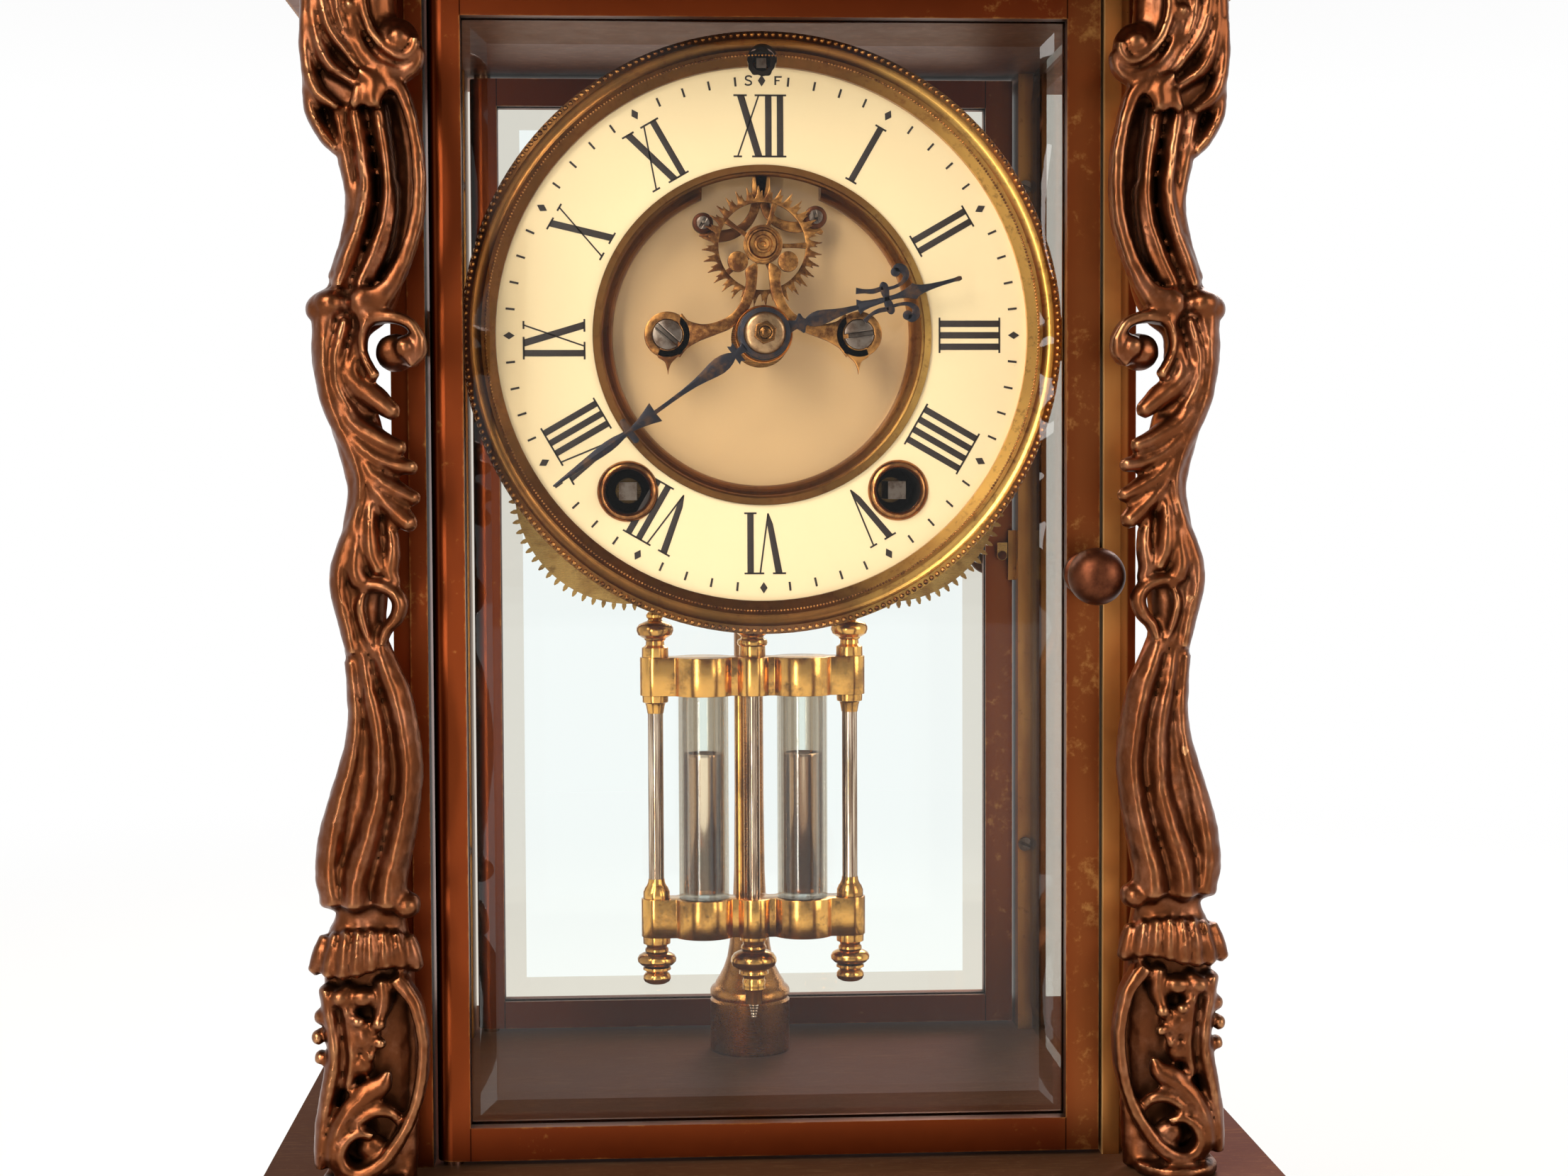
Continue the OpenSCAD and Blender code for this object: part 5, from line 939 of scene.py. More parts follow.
# Leaf lobes, folds and tails, which taper to their tips
LOBES = (
    ((17.6, 158, -2.0, 1.4, 2.4), (12.6, 152.0, -2.6, 2.4, 2.6), (8.8, 148.9, -3.2, 2.3, 2.4),
     (5.4, 146.2, -4.0, 1.6, 1.8)),
    ((17.2, 150, -1.8, 1.4, 2.4), (13.2, 144.6, -2.6, 2.2, 2.6), (8.6, 141.6, -3.2, 2.0, 2.4),
     (4.1, 139.6, -4.2, 1.4, 1.6)),
    ((15.6, 145, -1.8, 1.2, 2.4), (11.4, 139.8, -2.6, 1.9, 2.6), (6.5, 137.0, -3.0, 1.8, 2.4),
     (1.9, 136.1, -4.0, 1.3, 1.6)),
    ((13.4, 140.6, -1.8, 1.2, 2.4), (9.4, 135.0, -2.6, 1.9, 2.6), (5.3, 132.0, -3.0, 1.9, 2.4),
     (1.6, 130.2, -4.0, 1.3, 1.6)),
    ((11.9, 136.5, -1.8, 1.2, 2.4), (8.6, 131.4, -2.6, 2.1, 2.6), (5.0, 127.6, -3.2, 2.2, 2.4),
     (2.4, 125.4, -4.2, 1.6, 1.8)),
    ((11.2, 163.5, -2.2, 1.0, 2.2), (12.7, 157.5, -2.6, 1.5, 2.4), (12.8, 153.5, -2.6, 1.4, 2.4),
     (9.8, 150.5, -2.8, 1.0, 2.0)),
    ((14.4, 163.5, -2.4, 1.2, 2.4), (16.0, 157.0, -2.8, 1.5, 2.6), (15.8, 151.0, -2.8, 1.3, 2.4),
     (12.6, 145.5, -2.6, 0.9, 2.0)),
    ((17.4, 163.5, -2.0, 1.2, 2.4), (18.4, 157.0, -2.4, 1.4, 2.6), (17.2, 149.5, -2.4, 1.2, 2.4),
     (13.8, 142.0, -2.4, 0.8, 2.0)),
    ((9.8, 132, -1.6, 1.0, 2.2), (10.2, 126.5, -2.8, 1.5, 2.4), (10.0, 120.6, -3.6, 1.7, 2.2),
     (8.6, 116.8, -4.0, 1.3, 1.6)),
    ((11.6, 129, -1.6, 1.0, 2.2), (12.6, 122.5, -2.6, 1.6, 2.4), (13.0, 117.6, -3.6, 1.8, 2.2),
     (12.2, 114.6, -4.0, 1.6, 1.6)),
    ((7.0, 127, -1.6, 0.9, 2.0), (6.2, 121.6, -2.6, 1.5, 2.2), (6.6, 117.0, -3.2, 1.5, 2.0),
     (5.6, 114.4, -3.4, 1.0, 1.4)),
    ((14.0, 122, -1.4, 1.2, 2.2), (16.0, 116.0, -2.2, 1.6, 2.4), (15.6, 111.0, -2.6, 1.4, 2.2),
     (14.4, 108.4, -2.8, 1.0, 1.6)),
    ((12.6, 114.4, -3.0, 1.2, 1.8), (9.2, 114.4, -3.6, 1.3, 2.0), (6.4, 113.4, -3.8, 1.4, 2.0),
     (4.8, 111.0, -4.0, 1.6, 2.0), (5.6, 108.2, -3.8, 1.4, 2.0), (7.6, 105.8, -3.2, 1.2, 2.0),
     (8.6, 102.6, -2.8, 0.9, 2.0)),
    ((11.0, 114.4, -2.6, 0.9, 2.0), (12.2, 110.5, -3.2, 1.1, 2.0), (11.4, 106.0, -3.0, 1.1, 2.0),
     (9.6, 101.0, -2.6, 0.9, 2.0)),
    ((9.9, 164.4, -4.6, 1.2, 1.8), (11.2, 160.2, -4.6, 1.0, 1.8), (10.8, 156.4, -4.4, 0.9, 1.8),
     (9.0, 153.0, -4.4, 1.1, 1.6)),
    ((10.6, 208.6, -4.2, 1.3, 1.8), (8.6, 206.6, -5.0, 2.4, 1.6), (8.6, 204.0, -5.2, 2.2, 1.5),
     (7.8, 202.8, -5.4, 1.2, 1.2)),
    ((11.4, 206.0, -4.4, 1.2, 1.6), (11.6, 204.0, -4.8, 1.4, 1.5), (12.4, 202.8, -4.6, 1.0, 1.2)),
    ((18.2, 229, -2.0, 1.2, 2.2), (17.6, 221.0, -3.0, 1.4, 2.2), (16.2, 216.6, -3.4, 1.3, 2.2),
     (13.4, 212.6, -3.4, 1.1, 2.0), (10.4, 209.0, -3.2, 0.8, 1.8)),
    ((20.0, 229, -1.4, 1.2, 2.4), (19.2, 217.0, -2.4, 1.6, 2.4), (16.8, 210.6, -3.0, 1.5, 2.4),
     (11.8, 206.8, -3.0, 1.0, 2.0)),
    ((21.2, 226, -0.8, 1.0, 2.6), (21.0, 213.5, -1.6, 1.5, 2.6), (19.4, 206.0, -2.4, 1.6, 2.6),
     (15.2, 202.4, -2.6, 1.1, 2.2)),
    ((20.8, 213.0, 0.2, 1.2, 2.8), (20.6, 204.0, -0.6, 1.5, 2.8), (18.6, 198.4, -1.2, 1.3, 2.6),
     (16.0, 195.0, -1.2, 0.9, 2.2)),
    ((15.4, 229, -2.4, 1.1, 2.2), (15.2, 222.6, -3.2, 1.3, 2.2), (14.2, 217.6, -3.4, 1.1, 2.0),
     (12.6, 214.6, -3.4, 0.8, 1.6)),
    ((8.2, 22.6, -3.0, 1.0, 1.6), (9.4, 20.4, -3.8, 2.0, 1.6), (12.2, 18.6, -4.0, 2.3, 1.8),
     (15.6, 15.2, -4.0, 2.0, 2.0), (17.8, 11.0, -3.8, 1.7, 2.2), (18.5, 6.8, -3.4, 1.4, 2.2),
     (17.4, 3.6, -3.0, 1.1, 2.0)),
    ((5.6, 12.0, -2.6, 0.8, 1.4), (7.4, 15.0, -3.8, 1.2, 1.6), (10.4, 15.6, -4.2, 1.4, 1.6),
     (13.4, 13.8, -4.2, 1.2, 1.6), (14.4, 11.2, -4.0, 0.9, 1.4)),
    ((15.5, 39.0, -1.8, 1.4, 2.6), (15.2, 33.0, -2.4, 1.6, 2.6), (14.6, 26.0, -2.4, 1.5, 2.6),
     (15.6, 19.6, -2.0, 1.2, 2.4)),
    ((9.0, 40.0, -2.4, 1.6, 2.4), (8.8, 36.4, -2.8, 1.9, 2.4), (9.6, 33.0, -3.2, 1.5, 2.0)),
)
# Bosses and berries: place, half-width, half-height and half-depth
LUMPS = (
    (3.9, 214.9, -4.2, 2.5, 2.5, 2.9), (4.6, 214.2, -1.6, 4.6, 5.2, 4.4),
    (12.7, 221.0, -4.8, 1.2, 1.3, 1.3), (3.2, 158.4, -4.4, 2.3, 2.4, 2.9),
    (5.4, 157.6, -1.4, 3.8, 3.6, 3.8), (17.2, 166.6, -1.6, 3.4, 2.9, 4.4),
    (20.0, 165.8, -0.4, 2.1, 2.4, 3.6), (11.0, 166.7, -3.6, 3.0, 3.0, 3.3),
    (4.3, 54.3, -3.2, 2.7, 2.5, 3.4), (11.4, 8.2, -2.6, 2.9, 2.9, 2.6), (9.7, 32.0, -4.6, 1.5, 1.4, 1.5),
    (13.4, 32.6, -4.8, 1.3, 1.2, 1.4), (9.4, 28.4, -4.4, 1.2, 1.2, 1.4), (12.6, 37.0, -3.6, 2.6, 2.0, 2.4),
    (16.6, 37.0, -3.4, 2.3, 2.0, 2.4), (12.4, 29.6, -3.0, 2.9, 3.2, 2.8), (13.0, 24.4, -2.8, 2.4, 2.6, 2.4),
    (11.4, 26.2, -4.2, 1.1, 1.2, 1.4), (21.4, 29.0, -0.8, 1.4, 1.5, 2.0), (20.9, 25.2, -0.8, 1.3, 1.4, 2.0),
    (20.6, 33.0, -1.0, 1.5, 1.6, 2.2), (15.4, 34.4, -4.2, 1.2, 1.2, 1.4),
)
COLLAR_FOLDS = 8
# Fineness and depth in millimetres of the casting's unevenness
CAST_WAVES = ((0.35, 0.16), (0.9, 0.06))
CAST_GRAIN = 0.52 * MM


def pillar_place(across, up, back):
    """A place on the right pillar from its three distances in millimetres."""
    return Vector(((PILLAR_IN + across) * MM, DOOR_FRONT + (back - PILLAR_AHEAD) * MM, FLOOR_TOP + up * MM))


def limb(work, rows, flat=2.0, keel=0.0, sides=18, steps=5):
    """A closed cast limb along rows; flat squares its section and keel raises a ridge along its front."""
    rows = smooth_way(rows, steps)
    rings = []
    spots = [pillar_place(*row[:3]) for row in rows]
    for i, row in enumerate(rows):
        ahead = spots[min(i + 1, len(rows) - 1)] - spots[max(i - 1, 0)]
        ahead.normalize()
        front = Vector((0, -1, 0))
        side = ahead.cross(front).normalized()
        front = side.cross(ahead).normalized()
        wide, deep = max(row[3], 0.15) * MM, max(row[4], 0.15) * MM
        ring = []
        for k in range(sides):
            turn = 2 * math.pi * k / sides
            c, s = math.cos(turn), math.sin(turn)
            c = math.copysign(abs(c) ** (2 / flat), c)
            s = math.copysign(abs(s) ** (2 / flat), s)
            if keel and s > 0.9:
                s *= 1 + keel
            ring.append(work.verts.new(spots[i] + side * c * wide + front * s * deep))
        rings.append(ring)
    first = spots[0] - (spots[1] - spots[0]).normalized() * rows[0][3] * 0.7 * MM
    last = spots[-1] + (spots[-1] - spots[-2]).normalized() * rows[-1][3] * 0.7 * MM
    close_limb(work, first, rings, last)


def lump(work, across, up, back, wide, tall, deep):
    """A cast boss."""
    made = bmesh.ops.create_icosphere(work, subdivisions=3, radius=1.0)
    centre = pillar_place(across, up, back)
    for vertex in made["verts"]:
        x, y, z = vertex.co
        vertex.co = centre + Vector((x * wide, y * deep, z * tall)) * MM


def collar(work):
    """The pleated leaf skirt between the stems and the bottom scroll."""
    for k in range(COLLAR_FOLDS):
        share = k / (COLLAR_FOLDS - 1)
        spread = 2 * share - 1
        top = (12.0 + 8.0 * spread, 49.6 - 1.6 * spread**2, -3.8 + 3.0 * spread**2)
        low = (12.2 + 9.4 * spread, 42.0 + 1.8 * math.sin(6 * share) * 0.5, -5.2 + 3.6 * spread**2)
        middle = [(a + b) / 2 for a, b in zip(top, low)]
        fold = (middle[0], middle[1], middle[2] - 0.2, 1.5, 2.2)
        limb(work, ((*top, 1.0, 2.0), fold, (*low, 1.5, 1.6)), keel=0.1)


def pillar_form(work):
    """All limbs of the right pillar, still as overlapping closed shells."""
    limb(work, CORE, 2.6)
    for rows in RIMS:
        limb(work, rows, 3.6)
    for rows in STEMS:
        limb(work, rows, 2.0, 0.12)
    for rows in LOBES:
        limb(work, rows, 2.0, 0.10)
    for row in LUMPS:
        lump(work, *row)
    collar(work)
    middle = pillar_place(13.2, 0, 0)
    for low, high in ((0.0, 2.4), (227.6, 230.0)):
        profile = [(0, low), (7.6, low), (8.0, low + 0.4), (8.0, high - 0.4), (7.6, high), (0, high)]
        lathe(work, [(r * MM, z * MM) for r, z in profile], middle, axis="Z", sides=48)


def cast(mesh, voxel, smooth):
    """Melts overlapping shells into one skin and softens it, as a casting is."""
    holder = bpy.data.objects.new("cast", mesh)
    bpy.context.scene.collection.objects.link(holder)
    remesh = holder.modifiers.new("melt", "REMESH")
    remesh.mode = "VOXEL"
    remesh.voxel_size = voxel
    soft = holder.modifiers.new("soften", "SMOOTH")
    soft.factor = 0.5
    soft.iterations = smooth
    return settled(holder, "cast")


class CLOCK_OT_pillars(bpy.types.Operator):
    """Casts the two scroll pillars with their volutes, leaves and stems"""

    bl_idname = "clock.pillars"
    bl_label = "Scroll pillars"

    def execute(self, context):
        skin = cast(filled("pillar_shells", pillar_form), CAST_GRAIN, 3)
        outward = [vertex.normal.copy() for vertex in skin.vertices]
        for vertex, way_out in zip(skin.vertices, outward):
            place = vertex.co * 1000
            wobble = sum(noise.noise(place * fineness) * depth for fineness, depth in CAST_WAVES)
            vertex.co += way_out * wobble * MM
        for side, node in ((1, "pillar_right"), (-1, "pillar_left")):
            mesh = skin.copy()
            mesh.name = node
            if side < 0:
                mesh.transform(Matrix.Scale(-1, 4, (1, 0, 0)))
                mesh.flip_normals()
            seat_piece("cast_" + node, mesh, "cast_bronze", "case", node)
        return {"FINISHED"}


# Flat work: outlines in millimetres, cut from sheet and stood up facing the front


def mirrored(rows):
    """An outline from rows of a distance along and a half-width."""
    return [(u, v) for u, v in rows] + [(u, -v) for u, v in reversed(rows)]


def strip(points, halves, steps=6):
    """Outline of a bent strip with its own half-width at each point."""
    way = smooth_way([(x, y, half) for (x, y), half in zip(points, halves)], steps)
    left = []
    right = []
    for i, spot in enumerate(way):
        ahead = (way[min(i + 1, len(way) - 1)] - way[max(i - 1, 0)]).xy.normalized()
        side = Vector((-ahead.y, ahead.x)) * max(spot.z, 0.05)
        left.append(tuple(spot.xy + side))
        right.append(tuple(spot.xy - side))
    return left + right[::-1]


def disc(centre, radius, count=48):
    """A round outline."""
    turns = [2 * math.pi * k / count for k in range(count)]
    return [(centre[0] + radius * math.cos(t), centre[1] + radius * math.sin(t)) for t in turns]


def eased_outline(points, steps=4):
    """A closed outline that bends smoothly through its points."""
    spots = [Vector((x, y)) for x, y in points]
    count = len(spots)
    outline = []
    for i in range(count):
        four = [spots[(i + k) % count] for k in (-1, 0, 1, 2)]
        outline += [tuple(bend(*four, k / steps)) for k in range(steps)]
    return outline


def flat_mesh(shapes, thick, ease):
    """Flat plates of one thickness with eased edges; a shape is an outline followed by its holes."""
    work = bmesh.new()
    for loops in shapes:
        curve = bpy.data.curves.new("outline", "CURVE")
        curve.dimensions = "2D"
        curve.fill_mode = "BOTH"
        curve.extrude = thick / 2 - ease
        curve.bevel_depth = ease
        curve.bevel_resolution = 1
        curve.offset = -ease
        for loop in loops:
            spline = curve.splines.new("POLY")
            spline.points.add(len(loop) - 1)
            for point, (x, y) in zip(spline.points, loop):
                point.co = (x, y, 0, 1)
            spline.use_cyclic_u = True
        holder = bpy.data.objects.new("outline", curve)
        bpy.context.scene.collection.objects.link(holder)
        mesh = settled(holder, "outline")
        part = bmesh.new()
        part.from_mesh(mesh)
        bmesh.ops.remove_doubles(part, verts=part.verts, dist=0.002)
        bmesh.ops.recalc_face_normals(part, faces=part.faces)
        part.to_mesh(mesh)
        part.free()
        work.from_mesh(mesh)
        bpy.data.meshes.remove(mesh)
    whole = bpy.data.meshes.new("flat")
    work.to_mesh(whole)
    work.free()
    return whole


def at_front(centre, depth, turn=90.0):
    """Stands flat work up at a depth in millimetres, with its X pointing to the clock angle turn."""
    a = math.radians(turn)
    rows = ((math.sin(a), -math.cos(a), 0, 0), (0, 0, -1, 0), (math.cos(a), math.sin(a), 0, 0), (0, 0, 0, 1))
    place = Matrix.Translation((centre[0] * MM, DOOR_FRONT + depth * MM, DIAL.z + centre[1] * MM))
    return place @ Matrix(rows) @ Matrix.Scale(MM, 4)


def cut_sheet(name, shapes, thick, ease, place, slot, body, *nodes):
    """A flat piece that stands for the given nodes."""
    mesh = flat_mesh(shapes, thick, ease)
    mesh.transform(place)
    mesh.name = name
    return seat_piece(name, mesh, slot, body, *nodes)


def turned(name, profile, centre, slot, body, *nodes, sides=64):
    """A turned piece facing the front: profile rows are a radius and a depth in millimetres."""
    middle = Vector((centre[0] * MM, DOOR_FRONT, DIAL.z + centre[1] * MM))
    return lathed(name, profile, middle, "Y", slot, body, nodes, sides)


def kept_part(name, node, low, high, slot, body):
    """A copy of a node's solid between two depths in millimetres from the door's front, its cuts closed."""
    work = bmesh.new()
    work.from_mesh(NODES[node].data)
    bmesh.ops.remove_doubles(work, verts=work.verts, dist=0.001 * MM)
    for depth, way in ((low, -1), (high, 1)):
        every = work.verts[:] + work.edges[:] + work.faces[:]
        spot = Vector((0, DOOR_FRONT + depth * MM, 0))
        bmesh.ops.bisect_plane(
            work, geom=every, plane_co=spot, plane_no=(0, way, 0), clear_outer=True, dist=1e-7
        )
        rim = [edge for edge in work.edges if edge.is_boundary]
        if rim:
            bmesh.ops.holes_fill(work, edges=rim, sides=0)
    bmesh.ops.recalc_face_normals(work, faces=work.faces)
    mesh = bpy.data.meshes.new(name)
    work.to_mesh(mesh)
    work.free()
    return seat_piece(name, mesh, slot, body)


# Hands: outlines along the hand's own line, out from the centre; turns are clock angles in degrees
HOUR_TURN = 74.3
MINUTE_TURN = 234.3
HOUR_DEPTH = 11.45
MINUTE_DEPTH = 8.8
HOUR_STEM = (
    (4.6, 1.5), (6.0, 1.0), (6.7, 0.85), (7.1, 1.3), (7.6, 2.0), (8.0, 1.9), (8.3, 1.0), (8.7, 0.65),
    (9.3, 1.05), (10.2, 1.4), (11.4, 1.55), (12.8, 1.35), (14.4, 1.0), (16.4, 0.7), (19.6, 0.45),
)
HOUR_POINT = (
    (19.2, 0.35), (19.5, 1.55), (20.4, 1.0), (21.8, 0.75), (23.4, 0.6), (25.4, 0.5), (26.8, 0.45),
    (27.8, 0.55), (29.2, 0.85), (30.2, 1.25), (31.1, 1.65), (31.7, 1.2), (32.8, 0.85), (34.6, 0.6),
    (37.0, 0.42), (39.4, 0.38), (40.4, 0.5), (40.9, 0.3),
)
HOUR_BAR = (
    (25.4, 3.5), (24.7, 2.9), (24.6, 1.6), (24.8, 0.2), (24.6, -1.2), (24.9, -2.7), (25.6, -3.2),
    (26.3, -2.6), (26.3, -1.2), (26.0, 0.2), (26.3, 1.6), (26.2, 2.9),
)
UPPER_HORN = ((26.0, 1.9), (27.6, 1.9), (29.2, 2.3), (30.3, 3.4), (30.1, 4.7), (29.2, 5.3), (28.4, 5.1))
LOWER_HORN = (
    (26.0, -1.7), (27.6, -1.7), (29.2, -2.1), (30.3, -3.2), (30.1, -4.4), (29.2, -4.9), (28.4, -4.6),
)
HORN_HALVES = (0.35, 0.32, 0.4, 0.6, 0.85, 0.9, 0.6)
HOUR_SHAPES = [
    [disc((0, 0), 5.3), disc((0, 0), 2.6)],
    [mirrored(HOUR_STEM)],
    [mirrored(HOUR_POINT)],
    [eased_outline(HOUR_BAR)],
    [strip(((25.3, 2.3), (23.2, 2.2), (21.4, 2.7), (19.9, 3.2)), (0.45, 0.5, 0.42, 0.62))],
    [strip(((25.3, -2.0), (23.2, -1.8), (21.4, -2.2), (19.9, -3.1)), (0.45, 0.45, 0.36, 0.5))],
    [strip(UPPER_HORN, HORN_HALVES)],
    [strip(LOWER_HORN, HORN_HALVES)],
    [disc((28.5, 4.7), 0.95, 24)],
    [disc((28.5, -4.2), 0.95, 24)],
]
MINUTE_BLADE = (
    (4.6, 1.2), (5.6, 0.7), (6.3, 0.7), (6.3, 2.2), (7.0, 1.75), (7.6, 2.2), (7.6, 0.7), (8.4, 1.15),
    (9.6, 1.55), (11.0, 1.7), (12.6, 1.5), (14.6, 1.1), (17.0, 0.72), (20.0, 0.5), (23.4, 0.42),
    (26.6, 0.42), (26.5, 2.2), (28.4, 1.5), (30.2, 0.95), (31.6, 0.6), (32.3, 0.5), (32.3, 2.5),
    (32.7, 2.75), (33.2, 2.75), (33.6, 2.4), (33.7, 0.55), (34.6, 0.65), (36.2, 0.95), (38.0, 1.1),
    (40.0, 1.05), (43.0, 0.82), (46.5, 0.55), (49.6, 0.34), (51.4, 0.18),
)
MINUTE_SHAPES = [
    [disc((0, 0), 5.05), disc((0, 0), 2.2)],
    [mirrored(MINUTE_BLADE)],
]
HOUR_COLLET = (
    (2.0, 11.2), (3.2, 10.9), (4.9, 11.0), (5.5, 11.5), (5.75, 12.1), (5.7, 12.9), (3.0, 13.1), (2.0, 13.1),
    (2.0, 11.2),
)
WASHER = ((1.3, 7.45), (3.4, 7.5), (3.95, 7.75), (4.2, 8.15), (4.2, 8.27), (1.3, 8.27), (1.3, 7.45))
STUD_END = ((0, 5.75), (0.7, 5.8), (1.15, 6.1), (1.15, 7.9), (0, 7.9))
NUT_REACH = 2.35
NUT_DEPTH = 6.7


class CLOCK_OT_hands(bpy.types.Operator):
    """Cuts the two blued hands, their collets and the nut that holds them"""

    bl_idname = "clock.hands"
    bl_label = "Hands"

    def execute(self, context):
        middle = (0, 0)
        place = at_front(middle, HOUR_DEPTH, HOUR_TURN)
        cut_sheet("hour_blade", HOUR_SHAPES, 0.9, 0.12, place, "blued_steel", "hour", "hour_hand")
        place = at_front(middle, MINUTE_DEPTH, MINUTE_TURN)
        cut_sheet("minute_blade", MINUTE_SHAPES, 0.9, 0.12, place, "blued_steel", "centre", "minute_hand")
        turned("hour_collet", HOUR_COLLET, middle, "gilt_brass", "hour", "hour_hand")
        turned("washer", WASHER, middle, "hub_steel", "centre", "hand_nut")
        turns = [math.radians(a) for a in range(20, 380, 60)]
        hexagon = [(NUT_REACH * math.cos(a), NUT_REACH * math.sin(a)) for a in turns]
        nut = [[hexagon, disc(middle, 1.25, 32)]]
        place = at_front(middle, NUT_DEPTH)
        cut_sheet("hex_nut", nut, 1.6, 0.22, place, "stand_brass", "centre", "hand_nut")
        turned("stud_end", STUD_END, middle, "stand_brass", "centre")
        return {"FINISHED"}


# Escapement: millimetres right of and above the dial's centre, with depths from the door's front
BRIDGE_ARM = (
    (16.6, 3.9), (15.1, 2.9), (13.4, 2.3), (11.6, 2.1), (9.2, 2.6), (6.6, 3.9), (4.8, 6.0), (3.8, 8.6),
    (3.4, 10.8), (3.5, 12.9), (1.2, 14.2), (1.2, 10.9), (1.6, 8.3), (2.7, 5.5), (4.5, 2.9), (6.6, 1.2),
    (9.2, 0.1), (12.6, -1.2), (15.2, -2.7), (17.0, -4.3),
)
BRIDGE_TAIL = (
    (15.9, -3.2), (17.2, -4.5), (18.3, -5.6), (18.8, -6.8), (19.0, -7.9), (19.25, -6.6), (19.7, -5.3),
    (21.2, -4.0), (19.1, -1.0),
)
BRIDGE_BOSS = (
    (0, 13.75), (0.45, 13.7), (0.6, 13.2), (1.15, 13.15), (1.3, 13.5), (1.7, 13.55), (1.85, 13.3),
    (2.55, 13.25), (2.75, 13.5), (2.85, 13.9), (3.2, 13.95), (3.3, 13.7), (3.7, 13.75), (3.8, 14.2),
    (3.8, 15.4), (0, 15.4),
)
BRIDGE_FOOT = 19.1
BRIDGE_DEPTH = 14.7
SPOKE_TURNS = (145, 73, 1, -71, -143)
TEETH = 32
# One tooth: a radius, and a share of the step to the next tooth
TOOTH = (
    (9.55, -0.46), (9.95, -0.40), (10.45, -0.36), (11.15, -0.36), (10.75, -0.20), (11.0, -0.12),
    (11.6, -0.08), (12.1, -0.03), (12.1, 0.03), (11.5, 0.07), (10.8, 0.15), (10.1, 0.26), (9.7, 0.38),
)
ESCAPE_UP = 17.9
ESCAPE_DEPTH = 18.5
ESCAPE_PIVOT = ((0, 14.5), (0.5, 14.5), (0.5, 16.6), (1.0, 17.0), (1.0, 19.7), (0, 19.7))
# Pallets, left and right: place, the collar's radius and the turn of the screw's slot
PALLETS = ((-11.8, 22.7, 2.1, 60), (10.9, 23.9, 2.3, 105))
PALLET_AXIS_UP = 41
PALLET_DEPTH = 21.75
LEFT_ARM = (
    (0, 41), (-0.3, 31), (-1.1, 26.4), (-2.2, 23.7), (-4.0, 21.7), (-6.4, 20.5), (-9.4, 20.2),
    (-12.2, 21.2),
)
RIGHT_ARM = (
    (0, 41), (0.3, 31), (0.8, 26.2), (1.9, 24.0), (4.0, 22.6), (6.7, 22.0), (9.8, 22.3), (12.4, 20.8),
)


